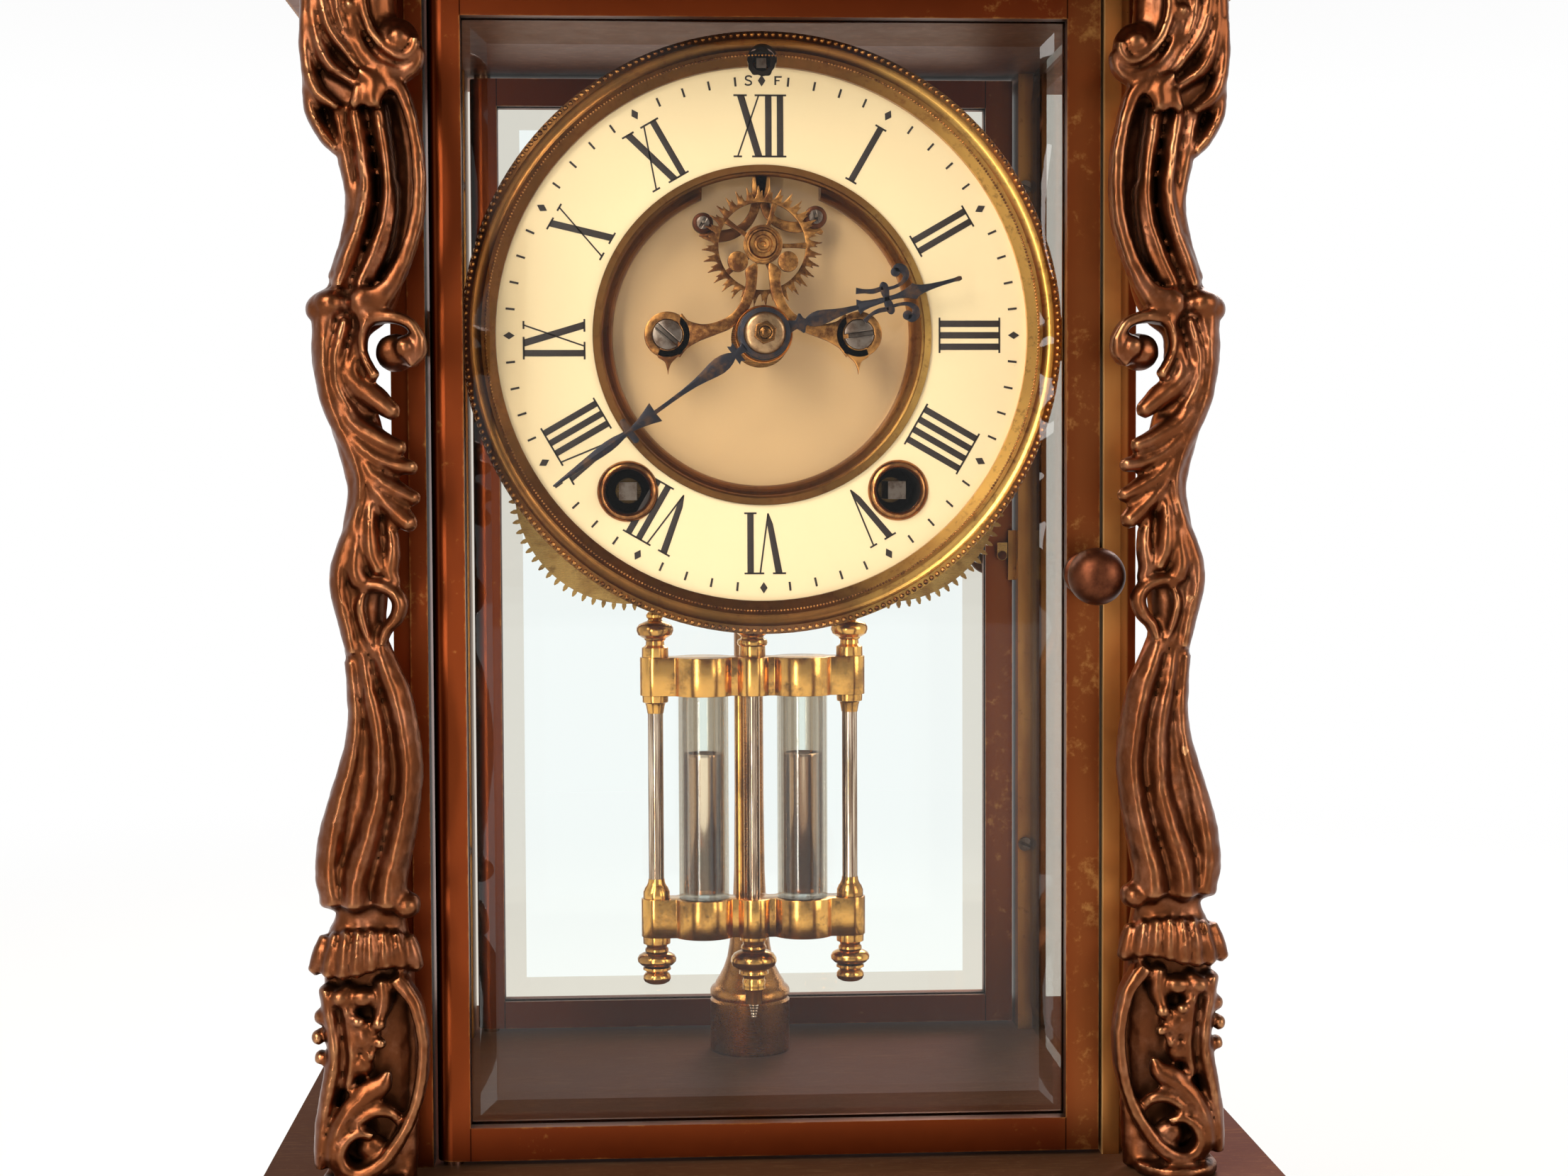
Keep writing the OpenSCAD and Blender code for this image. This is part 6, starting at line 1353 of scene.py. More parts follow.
class CLOCK_OT_escapement(bpy.types.Operator):
    """Cuts the escape wheel, its bridge and screws and the pallets that show above the centre"""

    bl_idname = "clock.escapement"
    bl_label = "Escapement"

    def execute(self, context):
        self.make_wheel()
        self.make_bridge()
        self.make_pallets()
        return {"FINISHED"}

    def make_wheel(self):
        step = 2 * math.pi / TEETH
        start = math.atan2(6.0, 10.9) + (0.24 - 0.5) * step
        rim = []
        for i in range(TEETH):
            for radius, share in TOOTH:
                turn = start + (i + share) * step
                rim.append((radius * math.cos(turn), radius * math.sin(turn)))
        shapes = [[rim, disc((0, 0), 8.75, 96)], [disc((0, 0), 2.9), disc((0, 0), 0.4, 16)]]
        for turn in SPOKE_TURNS:
            a = math.radians(turn)
            along = [(r * math.cos(a), r * math.sin(a)) for r in (2.5, 5.7, 9.0)]
            shapes.append([strip(along, (0.55, 0.42, 0.62), 3)])
        middle = (0, ESCAPE_UP)
        place = at_front(middle, ESCAPE_DEPTH)
        cut_sheet("escape_disc", shapes, 0.9, 0.08, place, "aged_brass", "escape", "escape_wheel")
        kept_part("escape_arbor", "escape_wheel", 19.6, 59.5, "steel", "escape")
        turned("escape_pivot", ESCAPE_PIVOT, middle, "steel", "escape")

    def make_bridge(self):
        shapes = []
        for side in (1, -1):
            foot = (BRIDGE_FOOT * side, 0)
            shapes.append([disc(foot, 4.6, 64), disc(foot, 3.05, 48)])
            for outline in (eased_outline(BRIDGE_ARM, 3), eased_outline(BRIDGE_TAIL, 3)):
                shapes.append([[(x * side, y) for x, y in outline]])
            shapes.append([disc((5.0 * side, 14.5), 2.05)])
        shapes.append([disc((0, ESCAPE_UP), 3.9)])
        place = at_front((0, 0), BRIDGE_DEPTH)
        cut_sheet("bridge_plate", shapes, 1.4, 0.16, place, "aged_brass", "case", "escape_bridge")
        turned("bridge_boss", BRIDGE_BOSS, (0, ESCAPE_UP), "aged_brass", "case")
        for label, side, turn in (("left", -1, -42), ("right", 1, 8)):
            foot = (BRIDGE_FOOT * side, 0)
            profile = rod(3.1, 15.3, 26.9)
            turned("bridge_foot_" + label, profile, foot, "aged_brass", "case")
            slotted_screw("bridge_screw_" + label, foot, 3.0, 13.4, 2.0, 0.85, turn, "case", "bridge_screws")

    def make_pallets(self):
        arms = [
            [strip(LEFT_ARM, (1.6, 1.5, 1.0, 0.9, 0.95, 1.1, 1.2, 1.0))],
            [strip(RIGHT_ARM, (1.6, 1.5, 1.0, 0.9, 0.95, 1.1, 1.1, 0.35))],
            [disc((0, PALLET_AXIS_UP), 2.6)],
        ]
        for x, z, radius, turn in PALLETS:
            arms.append([disc((x, z), radius * 0.95)])
        place = at_front((0, 0), PALLET_DEPTH)
        cut_sheet("pallet_arms", arms, 1.5, 0.15, place, "aged_brass", "pallets", "pallet_anchor")
        kept_part("pallet_crutch", "pallet_anchor", 22.6, 75, "steel", "pallets")
        pin = rod(0.3, 17.6, 21.0)
        for label, (x, z, radius, turn) in zip(("left", "right"), PALLETS):
            spot = (x, z)
            profile = (
                (0, 19.7), (radius * 0.7, 19.6), (radius * 0.95, 19.8), (radius, 20.2), (radius, 21.4),
                (0, 21.4),
            )
            turned("pallet_collar_" + label, profile, spot, "knob_bronze", "pallets")
            screw = radius * 0.62
            name = "pallet_screw_" + label
            slotted_screw(name, spot, screw, 19.12, 0.7, 0.5, turn, "pallets", "pallet_anchor")
            turned("pallet_pin_" + label, pin, spot, "steel", "pallets", sides=16)


def slotted_screw(name, centre, radius, front, height, cut, turn, body, *nodes):
    """A screw head facing the front: two raised half-rounds with a slot cut between them, on a round."""
    halves = []
    reach = math.acos(cut / 2 / radius)
    steps = 24
    for side in (1, -1):
        turns = [math.pi / 2 - reach + 2 * reach * k / steps for k in range(steps + 1)]
        halves.append([[(radius * math.cos(a), side * radius * math.sin(a)) for a in turns]])
    crown = height * 0.4
    mesh = flat_mesh(halves, crown, 0.1 * radius)
    mesh.transform(at_front(centre, front + crown / 2, 90 - turn))
    low = flat_mesh([[disc((0, 0), radius)]], height - crown, 0.04 * radius)
    low.transform(at_front(centre, front + crown + (height - crown) / 2))
    work = bmesh.new()
    work.from_mesh(mesh)
    work.from_mesh(low)
    work.to_mesh(mesh)
    work.free()
    bpy.data.meshes.remove(low)
    mesh.name = name
    return seat_piece(name, mesh, "screw_steel", body, *nodes)


# Numerals: strokes in millimetres across to the right and out from the dial's centre, turned to their hour
NUMERAL_FOOT = 35.6
NUMERAL_TOP = 47.7
BAR = 1.28
HAIRLINE = 0.32
SERIF = 0.36
# Each row holds an hour, the bars' places, and for a V or an X the thick stroke's top, then the thin one's
# top and foot
NUMERALS = (
    (1, (0.0,), None),
    (2, (-1.17, 1.17), None),
    (3, (-2.3, 0.0, 2.3), None),
    (4, (-3.45, -1.15, 1.15, 3.45), None),
    (5, (), ("V", -1.9, 1.9, 0.3)),
    (6, (2.64,), ("V", -3.1, 0.7, -0.9)),
    (7, (1.45, 3.8), ("V", -4.3, -0.5, -2.1)),
    (8, (0.4, 2.7, 5.0), ("V", -5.4, -1.6, -3.2)),
    (9, (-3.5,), ("X", -1.5, 2.1, -2.1)),
    (10, (), ("X", -1.8, 1.8, -2.4)),
    (11, (2.4,), ("X", -3.2, 0.4, -3.8)),
    (12, (1.3, 3.64), ("X", -4.24, -0.62, -4.82)),
)


def stroke(before, after, wide):
    """A straight stroke whose ends are cut level; wide is measured across."""
    (x0, y0), (x1, y1) = before, after
    return [(x0 - wide / 2, y0), (x0 + wide / 2, y0), (x1 + wide / 2, y1), (x1 - wide / 2, y1)]


def level(left, right, height):
    """A hairline serif."""
    low = height - SERIF / 2
    high = height + SERIF / 2
    return [(left, low), (right, low), (right, high), (left, high)]


def numeral_strokes(bars, letter):
    """The outlines of one Roman numeral."""
    low, high = NUMERAL_FOOT, NUMERAL_TOP
    strokes = [stroke((x, low), (x, high), BAR) for x in bars]
    out = BAR / 2 + 0.6
    if bars:
        strokes.append(level(bars[0] - out, bars[-1] + out, low))
        strokes.append(level(bars[0] - out, bars[-1] + out, high))
    if letter:
        kind, thick, thin, meet = letter
        if kind == "V":
            near = meet + 0.18 * (thick - meet)
            strokes.append([
                (thick - 0.7, high), (thick + 0.7, high), (near + 0.6, low + 2.2), (meet + 0.12, low),
                (meet - 0.12, low), (near - 0.6, low + 2.2),
            ])
            strokes.append(stroke((meet, low + 0.1), (thin, high), HAIRLINE))
        else:
            strokes.append(stroke((thin, low), (thick, high), BAR * 1.12))
            strokes.append(stroke((meet, low), (thin, high), HAIRLINE))
            strokes.append(level(meet - 0.85, meet + 0.85, low))
            strokes.append(level(thin - 1.35, thin + 1.2, low))
        strokes.append(level(thick - 1.4, thick + 1.25, high))
        strokes.append(level(thin - 0.8, thin + 0.8, high))
    return strokes


def marks_tree(name, pointed):
    """Geometry Nodes: marks evenly round a dial that faces the front, pointed or as bars with gaps."""
    size = (0.0017, 0.0001, 0.0003)
    g = Rule(name, {"Count": 60, "Left out": 5, "Radius": 0.05, "Size": size, "Centre": (0, 0, 0)})
    index = g.wire("GeometryNodeInputIndex")
    turn = index / g.given["Count"] * (-2 * math.pi)
    about = g.made("ShaderNodeCombineXYZ", {"Y": turn})
    values = {"Points": g.ring(), "Rotation": about, "Scale": g.given["Size"]}
    if pointed:
        mark = g.made("GeometryNodeMeshCylinder", {"Vertices": 4, "Radius": 0.5, "Depth": 1.0})
        mark = g.made("GeometryNodeTransform", {0: mark, "Rotation": FACING_FRONT})
    else:
        mark = g.made("GeometryNodeMeshCube")
        left_over = g.wire("ShaderNodeMath", [index, g.given["Left out"]], operation="MODULO")
        values["Selection"] = g.wire("ShaderNodeMath", [left_over, 0.5], operation="GREATER_THAN")
    return g.end(g.made("GeometryNodeInstanceOnPoints", {**values, "Instance": mark}))


# The dial's marks and holes: millimetres from its centre, with depths from the door's front
MARK_DEPTH = 16.96
MARK_THICK = 0.12
MARK_EASE = 0.02
MARK_UP = 50.6
KEYHOLE = (27.2, -31.1)
REGULATOR_UP = 54.3
EYELET = (
    (4.45, 17.3), (4.4, 16.7), (4.6, 16.15), (5.0, 15.85), (5.45, 15.95), (5.85, 16.35), (6.1, 16.8),
    (6.15, 17.05), (4.9, 17.2), (4.45, 17.3),
)
KEYHOLE_WELL = (
    (4.45, 16.9), (4.6, 16.9), (4.6, 32.7), (2.65, 32.7), (2.65, 32.4), (4.45, 32.4), (4.45, 16.9),
)
REGULATOR_WELL = ((1.85, 17.0), (2.0, 17.0), (2.0, 26.9), (1.85, 26.9), (1.85, 17.0))
# The regulator's letters: millimetres out from the dial's centre at twelve, and to the left
LETTER_S = (
    (51.25, 1.95), (51.5, 2.35), (51.45, 2.95), (51.05, 3.2), (50.75, 2.95), (50.6, 2.5), (50.35, 2.1),
    (49.95, 2.1), (49.75, 2.5), (49.75, 3.0), (49.95, 3.35),
)
LETTERS = [
    [strip(LETTER_S, (0.16,) * 11, 3)],
    [[(49.75, -2.55), (49.75, -2.9), (51.5, -2.9), (51.5, -2.55)]],
    [[(51.2, -2.6), (51.2, -4.0), (51.5, -4.05), (51.5, -2.6)]],
    [[(50.5, -2.6), (50.5, -3.6), (50.75, -3.6), (50.75, -2.6)]],
]


class CLOCK_OT_dial(bpy.types.Operator):
    """Fires the numerals and the minute marks on the enamel, and lines its three holes with near-black
    painted shade
    """

    bl_idname = "clock.dial"
    bl_label = "Dial"

    def execute(self, context):
        self.make_numerals()
        self.make_marks()
        self.make_holes()
        return {"FINISHED"}

    def make_numerals(self):
        work = bmesh.new()
        for hour, bars, letter in NUMERALS:
            shapes = [[[(r, -t) for t, r in outline]] for outline in numeral_strokes(bars, letter)]
            mesh = flat_mesh(shapes, MARK_THICK, MARK_EASE)
            mesh.transform(at_front((0, 0), MARK_DEPTH, 30 * hour))
            work.from_mesh(mesh)
            bpy.data.meshes.remove(mesh)
        mesh = flat_mesh(LETTERS, MARK_THICK, MARK_EASE)
        mesh.transform(at_front((0, 0), MARK_DEPTH, 0))
        work.from_mesh(mesh)
        work.to_mesh(mesh)
        work.free()
        mesh.name = "hour_numerals"
        seat_piece("hour_numerals", mesh, "dial_ink", "case", "dial_numerals")

    def make_marks(self):
        places = {"Radius": MARK_UP * MM, "Centre": (0, DOOR_FRONT + MARK_DEPTH * MM, DIAL.z)}
        rows = (
            ("minute_ticks", False, 60, (1.8 * MM, MARK_THICK * MM, 0.42 * MM)),
            ("hour_diamonds", True, 12, (2.3 * MM, MARK_THICK * MM, 1.5 * MM)),
        )
        for name, pointed, count, size in rows:
            tree = marks_tree(name + "_rule", pointed)
            grown(name, tree, "dial_ink", "case", "dial_numerals", Count=count, Size=size, **places)

    def make_holes(self):
        # The keyholes' wells and the regulator's ragged ring and well are near-black: painted shade in the
        # holes
        for label, side in (("left", -1), ("right", 1)):
            spot = (KEYHOLE[0] * side, KEYHOLE[1])
            turned("eyelet_" + label, EYELET, spot, "eyelet_brass", "case", "winding_eyelets")
            turned("keyhole_" + label, KEYHOLE_WELL, spot, "dark_hole", "case", "winding_eyelets")
        rough = []
        for k in range(48):
            turn = 2 * math.pi * k / 48
            ragged = 2.85 + 0.16 * math.sin(5 * turn + 0.6) + 0.10 * math.sin(11 * turn)
            rough.append((ragged * math.cos(turn), ragged * math.sin(turn)))
        shape = [[rough, disc((0, 0), 1.85, 32)]]
        spot = (0, REGULATOR_UP)
        place = at_front(spot, 16.95)
        cut_sheet("regulator_hole", shape, 0.3, 0.05, place, "dark_hole", "case", "winding_eyelets")
        turned("regulator_well", REGULATOR_WELL, spot, "dark_hole", "case", "winding_eyelets")


# A knob with its spindle: radius, and depth in millimetres from its door's face
KNOB_PROFILE = (
    (0, -17.0), (0.9, -16.97), (1.9, -16.8), (2.9, -16.45), (3.8, -15.85), (4.6, -15.0), (5.2, -13.9),
    (5.5, -12.7), (5.45, -11.7), (5.1, -11.0), (4.4, -10.5), (3.2, -10.0), (2.4, -9.2), (2.0, -8.0),
    (1.9, -6.0), (2.1, -4.4), (2.7, -3.0), (3.6, -2.1), (4.3, -1.6), (4.4, -1.1), (4.4, -0.2), (0.8, -0.2),
    (0.8, 9.2), (1.1, 9.2), (1.0, 9.85), (0, 9.9),
)
KNOBS = (("front", 1, "front_door_knob", "front_latch"), ("rear", -1, "rear_door_knob", "rear_latch"))


class CLOCK_OT_knobs(bpy.types.Operator):
    """Turns the domed knobs of both doors"""

    bl_idname = "clock.knobs"
    bl_label = "Door knobs"

    def execute(self, context):
        for label, way, node, body in KNOBS:
            low, high = corners(node)
            middle = Vector(((low.x + high.x) / 2, DOOR_FRONT * way, (low.z + high.z) / 2))
            profile = [(r, y * way) for r, y in KNOB_PROFILE]
            lathed(label + "_knob", profile, middle, "Y", "knob_bronze", body, (node,), 72)
        return {"FINISHED"}


# Pendulum: heights in millimetres up from the glass opening's foot, turned about upright lines
PENDULUM_BACK = 72
LOW_PLATE = (23.6, 32.2)
HIGH_PLATE = (77.9, 86.5)
COLUMN_OFF = 21.8
VIAL_OFF = 11.1
FILLING_HEIGHT = 31.4
GUARD_ROD_AT = (-2.9, PENDULUM_BACK + 2.4)
FOOT_FINIAL = (
    (0, 0.3), (3.05, 0.3), (3.1, -0.3), (3.05, -1.6), (2.4, -1.9), (2.25, -2.4), (2.6, -2.8), (2.65, -3.3),
    (2.4, -3.6), (3.1, -3.8), (4.0, -4.3), (4.38, -5.0), (4.3, -5.7), (3.6, -6.4), (2.7, -6.7), (3.1, -7.0),
    (3.15, -7.5), (2.6, -7.8), (2.3, -8.1), (2.7, -8.4), (3.05, -8.9), (3.1, -9.6), (2.8, -10.2),
    (2.0, -10.65), (0.8, -10.85), (0, -10.9),
)
HEAD_FINIAL = (
    (0, -0.3), (2.95, -0.3), (3.0, 0.3), (2.95, 2.1), (2.5, 2.35), (2.1, 2.7), (2.05, 3.6), (2.4, 3.95),
    (2.45, 4.2), (2.9, 4.4), (3.8, 5.0), (4.15, 5.9), (4.1, 6.6), (3.6, 7.3), (2.6, 7.8), (1.75, 8.1),
    (1.5, 8.5), (1.9, 8.9), (1.95, 9.5), (1.5, 10.1), (0.7, 10.35), (0, 10.4),
)
LOW_COLLAR = (
    (1.6, -0.2), (2.95, -0.2), (3.0, 0.5), (2.95, 1.6), (2.75, 1.9), (2.65, 2.3), (2.2, 2.9), (1.9, 3.6),
    (1.8, 4.4), (1.6, 4.4), (1.6, -0.2),
)
HIGH_COLLAR = (
    (1.6, 0.2), (2.9, 0.2), (2.92, -0.6), (2.85, -1.5), (2.3, -1.75), (2.1, -2.3), (1.9, -3.4),
    (1.82, -4.0), (1.6, -4.0), (1.6, 0.2),
)
ROD_COLLAR = (
    (1.5, -0.2), (2.9, -0.2), (2.95, 0.4), (2.9, 2.3), (3.3, 2.6), (3.45, 3.1), (3.3, 3.7), (2.7, 4.0),
    (2.5, 4.4), (3.1, 4.9), (3.9, 5.6), (4.2, 6.5), (3.9, 7.4), (3.0, 8.1), (2.3, 8.4), (2.1, 9.4),
    (1.5, 9.6), (1.5, -0.2),
)
RATING_PROFILE = (
    (1.25, 0.1), (3.0, 0.1), (3.05, -0.3), (3.0, -1.2), (2.5, -1.5), (2.4, -2.1), (2.8, -2.5), (2.9, -3.0),
    (2.6, -3.4), (3.4, -3.7), (4.5, -4.3), (5.1, -5.2), (5.2, -6.0), (4.8, -6.9), (3.8, -7.6), (3.1, -7.9),
    (3.3, -8.2), (3.3, -8.8), (2.6, -9.1), (2.4, -9.6), (2.45, -10.1), (2.6, -10.4), (2.5, -11.6),
    (2.55, -12.2), (2.0, -12.5), (1.9, -13.0), (1.85, -15.6), (1.25, -15.8), (1.25, 0.1),
)


def upright(name, profile, spot, foot, slot, body, *nodes, sides=48):
    """A piece turned about an upright line: profile rows are a radius and a height above foot."""
    x, back = spot
    middle = Vector((x * MM, DOOR_FRONT + back * MM, GLASS_Z + foot * MM))
    return lathed(name, profile, middle, "Z", slot, body, nodes, sides)


def rod(radius, low, high):
    """Profile of a plain round rod between two places along its axis."""
    return ((0, low), (radius, low), (radius, high), (0, high))


def plate_outline():
    """Plan of a jar plate: two vial lobes, a middle lobe, two end lobes and the bar that joins them."""
    rounds = [(0, 1.9, 3.75)]
    for side in (-1, 1):
        rounds += [(COLUMN_OFF * side, 0, 3.4), (VIAL_OFF * side, 0, 7.05)]

    def reach(x):
        deep = 3.35 if abs(x) <= COLUMN_OFF else 0.0
        for centre, ahead, radius in rounds:
            off = x - centre
            if abs(off) < radius:
                deep = max(deep, ahead + math.sqrt(radius * radius - off * off))
        return deep

    places = [i * 0.15 for i in range(-167, 168)]
    row = [(-25.2, 0.35), *((x, reach(x)) for x in places), (25.2, 0.35)]
    return row + [(x, -y) for x, y in reversed(row)]


class CLOCK_OT_pendulum(bpy.types.Operator):
    """Turns and fits the pendulum: plates, columns, fillings, rod and rating nut"""

    bl_idname = "clock.pendulum"
    bl_label = "Pendulum"

    def execute(self, context):
        for label, (low, high) in (("low", LOW_PLATE), ("high", HIGH_PLATE)):
            name = label + "_jar_plate"
            mesh = flat_mesh([[plate_outline()]], high - low, 0.14)
            middle = Vector((0, DOOR_FRONT + PENDULUM_BACK * MM, GLASS_Z + (low + high) / 2 * MM))
            mesh.transform(Matrix.Translation(middle) @ Matrix.Scale(MM, 4))
            mesh.name = name
            seat_piece(name, mesh, "gilt_brass", "pendulum", "jar_plates")
        for label, side in (("left", -1), ("right", 1)):
            spot = (COLUMN_OFF * side, PENDULUM_BACK)
            for part, profile, foot in (
                ("_foot_finial", FOOT_FINIAL, LOW_PLATE[0]),
                ("_head_finial", HEAD_FINIAL, HIGH_PLATE[1]),
                ("_low_collar", LOW_COLLAR, LOW_PLATE[1]),
                ("_high_collar", HIGH_COLLAR, HIGH_PLATE[0]),
            ):
                upright(label + part, profile, spot, foot, "gilt_brass", "pendulum", "jar_columns")
            column = rod(1.72, LOW_PLATE[1] - 0.5, HIGH_PLATE[0] + 0.5)
            upright(label + "_column", column, spot, 0, "steel", "pendulum", "jar_columns", sides=40)
            self.make_filling(label, side)
        middle = (0, PENDULUM_BACK)
        foot, head = LOW_PLATE[0], HIGH_PLATE[1]
        nut = RATING_PROFILE
        upright("rating_finial", nut, middle, foot, "gilt_brass", "pendulum", "rating_nut", sides=64)
        upright("rod_collar", ROD_COLLAR, middle, head, "gilt_brass", "pendulum", "pendulum_rod")
        self.make_rod(middle)
        return {"FINISHED"}

    def make_filling(self, label, side):
        foot = LOW_PLATE[1] + 1.2
        top = foot + FILLING_HEIGHT
        profile = (
            (0, foot), (4.35, foot), (4.55, foot + 0.3), (4.55, top - 0.9), (4.62, top - 0.5),
            (4.5, top - 0.1), (4.1, top), (3.7, top - 0.5), (2.0, top - 0.9), (0, top - 1.0),
        )
        spot = (VIAL_OFF * side, PENDULUM_BACK)
        upright(label + "_filling", profile, spot, 0, "jar_filling", "pendulum", "jar_fillings")

    def make_rod(self, middle):
        low, high = corners("pendulum_rod")
        top = (high.z - GLASS_Z) / MM
        foot = (low.z - GLASS_Z) / MM
        thread = []
        for k in range(9):
            height = foot + 1.6 + k * 0.65
            wide = min(0.45 + k * 0.13, 1.25)
            thread += [(wide, height), (wide + 0.18, height + 0.3)]
        plate = LOW_PLATE[0]
        profile = [
            (0, foot + 0.2), (0.25, foot + 1.0), *thread, (1.2, foot + 8.0), (1.2, plate + 0.2),
            (1.5, plate + 0.6), (1.5, top), (0, top),
        ]
        upright("pendulum_wire", profile, middle, 0, "steel", "pendulum", "pendulum_rod", sides=32)
        guard = rod(1.03, LOW_PLATE[1] - 0.3, HIGH_PLATE[0] + 0.3)
        upright("guard_rod", guard, GUARD_ROD_AT, 0, "gilt_brass", "pendulum", "pendulum_rod", sides=24)
        block = ((0, -4.0), (2.4, -4.0), (2.95, -3.5), (2.95, -0.4), (2.5, 0), (0, 0))
        block = [(radius, top + height) for radius, height in block]
        upright("suspension_block", block, middle, 0, "gilt_brass", "pendulum", "pendulum_rod")


# Gong: millimetres from the dial's centre, and behind the door's face
GONG_DOWN = 7.0
GONG_BACK = 94.0
GONG_REACH = 46.0
GONG_PITCH = 5.5
GONG_TURNS = 4
GONG_WIRE = 3.2
GONG_BLOCK = 7.0
STAND_PROFILE = (
    (0, 0), (9.2, 0), (9.3, 0.25), (9.3, 11.8), (9.0, 12.1), (8.8, 12.4), (9.0, 12.7), (9.3, 13.1),
    (9.3, 14.2), (8.9, 14.9), (8.2, 15.4), (7.9, 16.2), (7.0, 17.6), (6.1, 19.4), (5.3, 21.8), (4.8, 24.6),
    (4.4, 28.0), (4.0, 33.0), (3.6, 42.0), (3.4, 60.0), (3.35, 104.9), (0, 104.9),
)


def coil_tree(name):
    """Geometry Nodes: a flat spiral of round wire that faces the front."""
    inputs = {
        "Turns": 4.0, "Outer radius": 0.046, "Inner radius": 0.024, "Wire": 0.0032, "Start": 0.0,
        "Centre": (0, 0, 0),
    }
    g = Rule(name, inputs)
    spiral = g.made("GeometryNodeCurveSpiral", {
        "Resolution": 72, "Height": 0.0, "Reverse": True, "Rotations": g.given["Turns"],
        "Start Radius": g.given["Outer radius"], "End Radius": g.given["Inner radius"],
    })
    section = g.made("GeometryNodeCurvePrimitiveCircle", {"Resolution": 16, "Radius": g.half("Wire")})
    wound = {"Curve": spiral, "Profile Curve": section, "Fill Caps": True}
    start = g.made("ShaderNodeCombineXYZ", {"Z": g.given["Start"]})
    coil = g.made("GeometryNodeTransform", {0: g.made("GeometryNodeCurveToMesh", wound), "Rotation": start})
    return g.end(g.stood(coil))


class CLOCK_OT_gong(bpy.types.Operator):
    """Winds the gong's coil and turns the stand that holds it"""

    bl_idname = "clock.gong"
    bl_label = "Gong"

    def execute(self, context):
        sizes = {
            "Turns": float(GONG_TURNS),
            "Outer radius": GONG_REACH * MM,
            "Inner radius": (GONG_REACH - GONG_PITCH * GONG_TURNS) * MM,
            "Wire": GONG_WIRE * MM,
            "Start": math.radians(-90) - math.asin(GONG_BLOCK / 2 / GONG_REACH),
            "Centre": (0, DOOR_FRONT + GONG_BACK * MM, DIAL.z - GONG_DOWN * MM),
        }
        grown("gong_wire", coil_tree("gong_spiral"), "gong_steel", "case", "gong_coil", **sizes)
        floor_up = (FLOOR_TOP - GLASS_Z) / MM
        spot = (0, GONG_BACK)
        upright("stand_column", STAND_PROFILE, spot, floor_up, "stand_brass", "case", "gong_stand", sides=72)
        half = GONG_BLOCK / 2
        square = [(-half, -half), (half, -half), (half, half), (-half, half)]
        place = at_front((0, -GONG_DOWN - GONG_REACH), GONG_BACK)
        cut_sheet("gong_block", [[square]], GONG_BLOCK, 0.5, place, "stand_brass", "case", "gong_stand")
        upright("stand_screw", rod(4.2, -5.6, -3.2), spot, floor_up, "screw_steel", "case", "gong_stand")
        return {"FINISHED"}


def pearl_tree(name):
    """Geometry Nodes: pearls set evenly round a level oblong."""
    g = Rule(name, {"Width": 0.2, "Depth": 0.17, "Pearl": 0.002, "Count": 284, "Centre": (0, 0, 0)})
    values = {"Width": g.given["Width"], "Height": g.given["Depth"]}
    way = g.made("GeometryNodeCurvePrimitiveQuadrilateral", values)
    even = g.made("GeometryNodeResampleCurve", {"Curve": way, "Count": g.given["Count"]})
    lifted = g.made("GeometryNodeTransform", {0: even, "Translation": g.given["Centre"]})
    return g.end(g.set_balls(lifted, "Pearl"))


# A leaf in millimetres across and up: its rib, and one side's lobes; each point holds a half-width too
LEAF_RIB = ((0, 0.4, 1.6), (0, 4, 1.7), (0, 9, 1.5), (0, 14, 1.1), (0, 17.2, 0.5))
LEAF_LOBES = (
    ((0.3, 1.0, 1.3), (2.4, 2.4, 2.0), (4.6, 2.2, 1.8), (6.0, 0.7, 0.9)),
    ((0.3, 4.4, 1.3), (2.4, 6.4, 2.0), (4.4, 6.4, 1.7), (5.6, 4.9, 0.8)),
    ((0.3, 8.8, 1.2), (1.9, 10.9, 1.7), (3.5, 11.0, 1.4), (4.4, 9.8, 0.7)),
    ((0.2, 12.8, 0.9), (1.2, 14.8, 1.1), (2.3, 14.9, 0.7)),
)
LEAF_RELIEF = 0.5
LEAF_RAISED = 0.25
# The plinth's four faces by their outward way, with how far off the middle their side leaves stand
FACES = (((0, -1, 0), 52), ((0, 1, 0), 52), ((1, 0, 0), 44), ((-1, 0, 0), 44))
MIDDLE_LEAF_WIDTH = 1.7


def lobe_form(work, points, sizes, out, sides=10):
    """A closed lobe along points on a surface, each with its half-width; out points away from it."""
    rings = []
    count = len(points)
    for i, point in enumerate(points):
        ahead = points[min(i + 1, count - 1)] - points[max(i - 1, 0)]
        ahead.normalize()
        side = ahead.cross(out).normalized()
        front = side.cross(ahead).normalized()
        turns = [2 * math.pi * k / sides for k in range(sides)]
        offsets = [side * math.cos(turn) + front * math.sin(turn) * LEAF_RELIEF for turn in turns]
        rings.append([work.verts.new(point + offset * sizes[i]) for offset in offsets])
    first = points[0] - (points[1] - points[0]).normalized() * sizes[0] * 0.6
    last = points[-1] + (points[-1] - points[-2]).normalized() * sizes[-1] * 0.6
    close_limb(work, first, rings, last)


def leaf(work, ground, out, wide):
    """A leaf of overlapping lobes on a surface; ground turns a place across and up into a spot on it."""
    lobes = [LEAF_RIB]
    for side in (-1, 1):
        lobes += [[(u * side * wide, v, half) for u, v, half in lobe] for lobe in LEAF_LOBES]
    for lobe in lobes:
        way = smooth_way(lobe, 4)
        spots = [ground(u, v) + out * LEAF_RAISED * half * MM for u, v, half in way]
        lobe_form(work, spots, [max(p.z, 0.25) * MM for p in way], out)


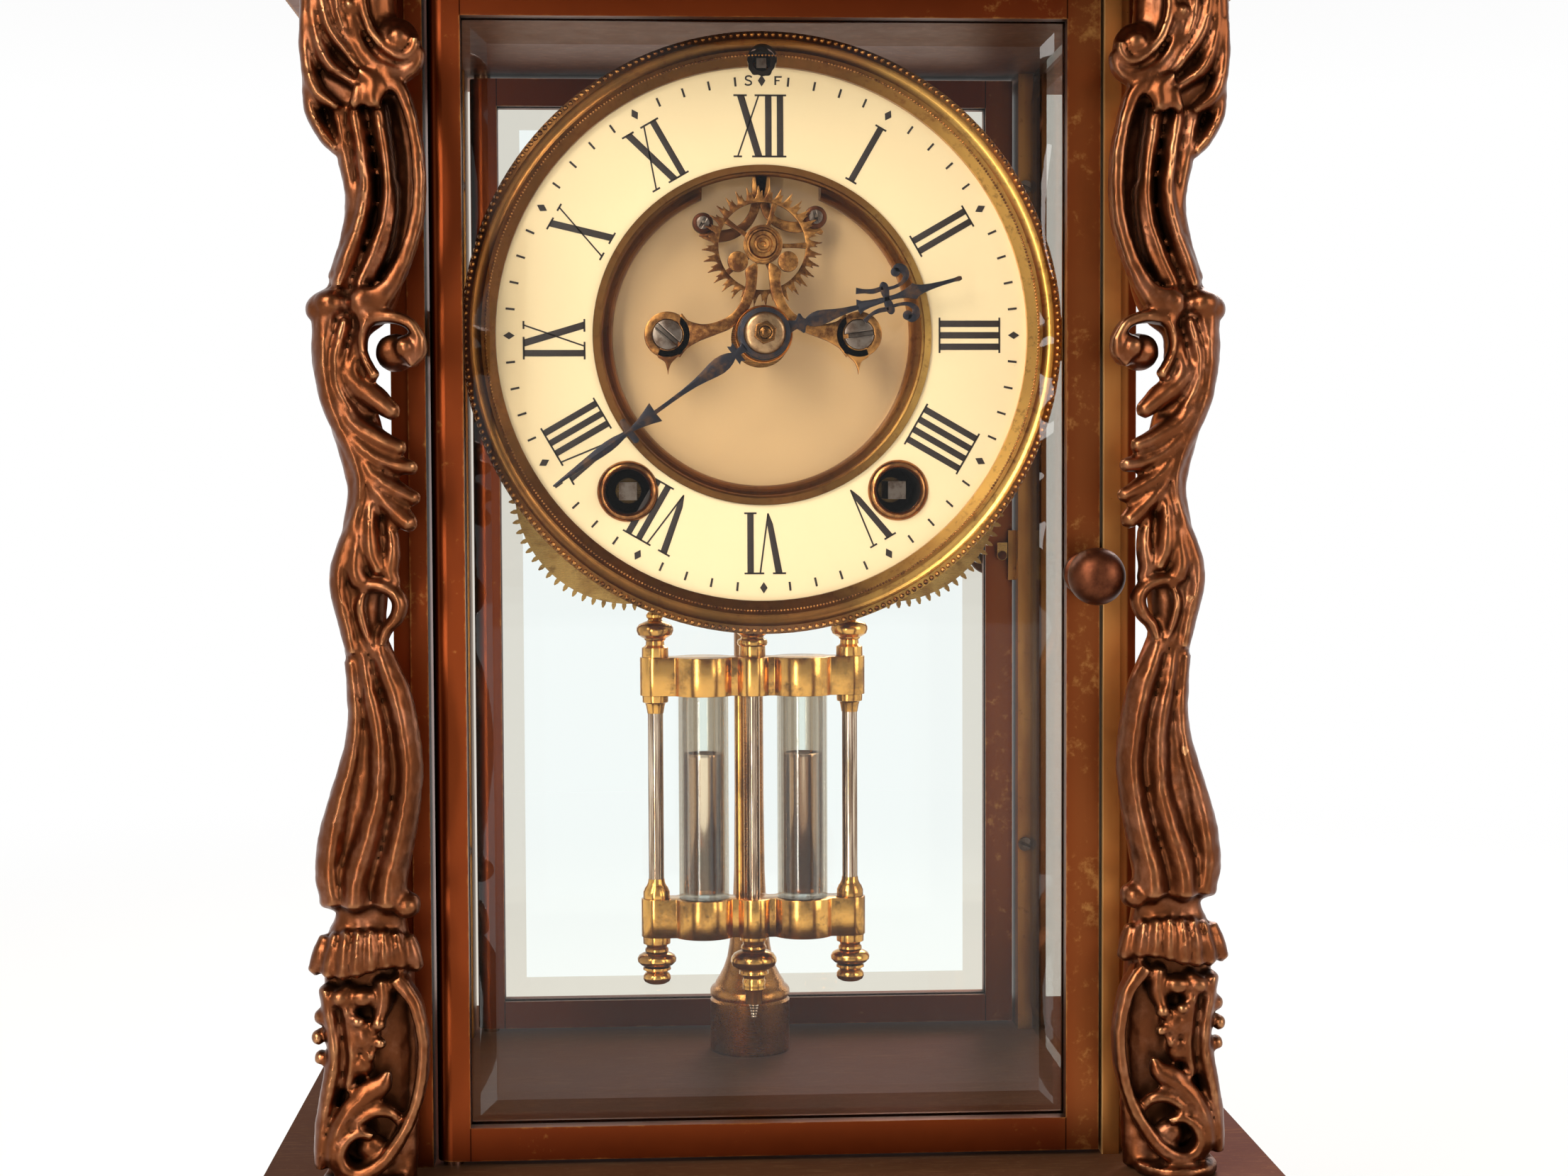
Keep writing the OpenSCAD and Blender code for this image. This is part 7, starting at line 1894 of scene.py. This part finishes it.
def plinth_leaves(work):
    """The leaves in the plinth's hollow: a wide one at the middle of each face and one to each side."""
    plinth = NODES["base_plinth"].data
    loops = [tuple(p.vertices) for p in plinth.polygons]
    shell = BVHTree.FromPolygons([v.co for v in plinth.vertices], loops)
    foot = corners("base_plinth")[0].z + 9.2 * MM
    places = [(out, 0, MIDDLE_LEAF_WIDTH) for out, off in FACES]
    places += [(out, off * side, 1.0) for out, off in FACES for side in (1, -1)]
    for out, across, wide in places:
        out = Vector(out)
        side = Vector((-out.y, out.x, 0))

        def ground(u, v):
            start = out * 0.3 + side * (across + u) * MM + Vector((0, 0, foot + v * MM))
            spot = shell.ray_cast(start, -out)[0]
            if spot is None:
                raise RuntimeError("A leaf misses the plinth")
            return spot

        leaf(work, ground, out, wide)


class CLOCK_OT_mounts(bpy.types.Operator):
    """Casts the leaves and pearls of the base and the cornice"""

    bl_idname = "clock.mounts"
    bl_label = "Cast mounts"

    def execute(self, context):
        tree = pearl_tree("pearl_row")
        for name, node, inset, up, pearl, count in (
            ("plinth_pearls", "base_plinth", 3.3 * MM, 7.65 * MM, 2.3 * MM, 284),
            ("cornice_pearls", "top_canopy", 7.0 * MM, 1.5 * MM, 2.0 * MM, 280),
        ):
            low, high = corners(node)
            places = {"Width": 2 * (high.x - inset), "Depth": 2 * (high.y - inset)}
            places["Centre"] = (0, 0, low.z + up)
            grown(name, tree, "plinth_bronze", "case", Pearl=pearl, Count=count, **places)
        seat_piece("plinth_leaves", filled("plinth_leaves", plinth_leaves), "plinth_bronze", "case")
        return {"FINISHED"}


OPERATORS = [
    CLOCK_OT_studio,
    CLOCK_OT_finishes,
    CLOCK_OT_beads,
    CLOCK_OT_pillars,
    CLOCK_OT_hands,
    CLOCK_OT_escapement,
    CLOCK_OT_dial,
    CLOCK_OT_knobs,
    CLOCK_OT_pendulum,
    CLOCK_OT_gong,
    CLOCK_OT_mounts,
]


class CLOCK_PT_panel(bpy.types.Panel):
    """Lists the clock's sizes and steps in the sidebar"""

    bl_idname = "CLOCK_PT_panel"
    bl_label = "Table clock"
    bl_space_type = "VIEW_3D"
    bl_region_type = "UI"
    bl_category = "Clock"

    def draw(self, context):
        layout = self.layout
        for name in ClockSizes.__annotations__:
            layout.prop(context.scene.clock, name)
        for kind in OPERATORS:
            layout.operator(kind.bl_idname)


CLASSES = [ClockSizes, *OPERATORS, CLOCK_PT_panel]


def register():
    for kind in CLASSES:
        bpy.utils.register_class(kind)
    bpy.types.Scene.clock = bpy.props.PointerProperty(type=ClockSizes)


def unregister():
    del bpy.types.Scene.clock
    for kind in reversed(CLASSES):
        bpy.utils.unregister_class(kind)


def main():
    register()
    for kind in OPERATORS:
        group, step = kind.bl_idname.split(".")
        getattr(getattr(bpy.ops, group), step)()


if __name__ == "__main__":
    main()
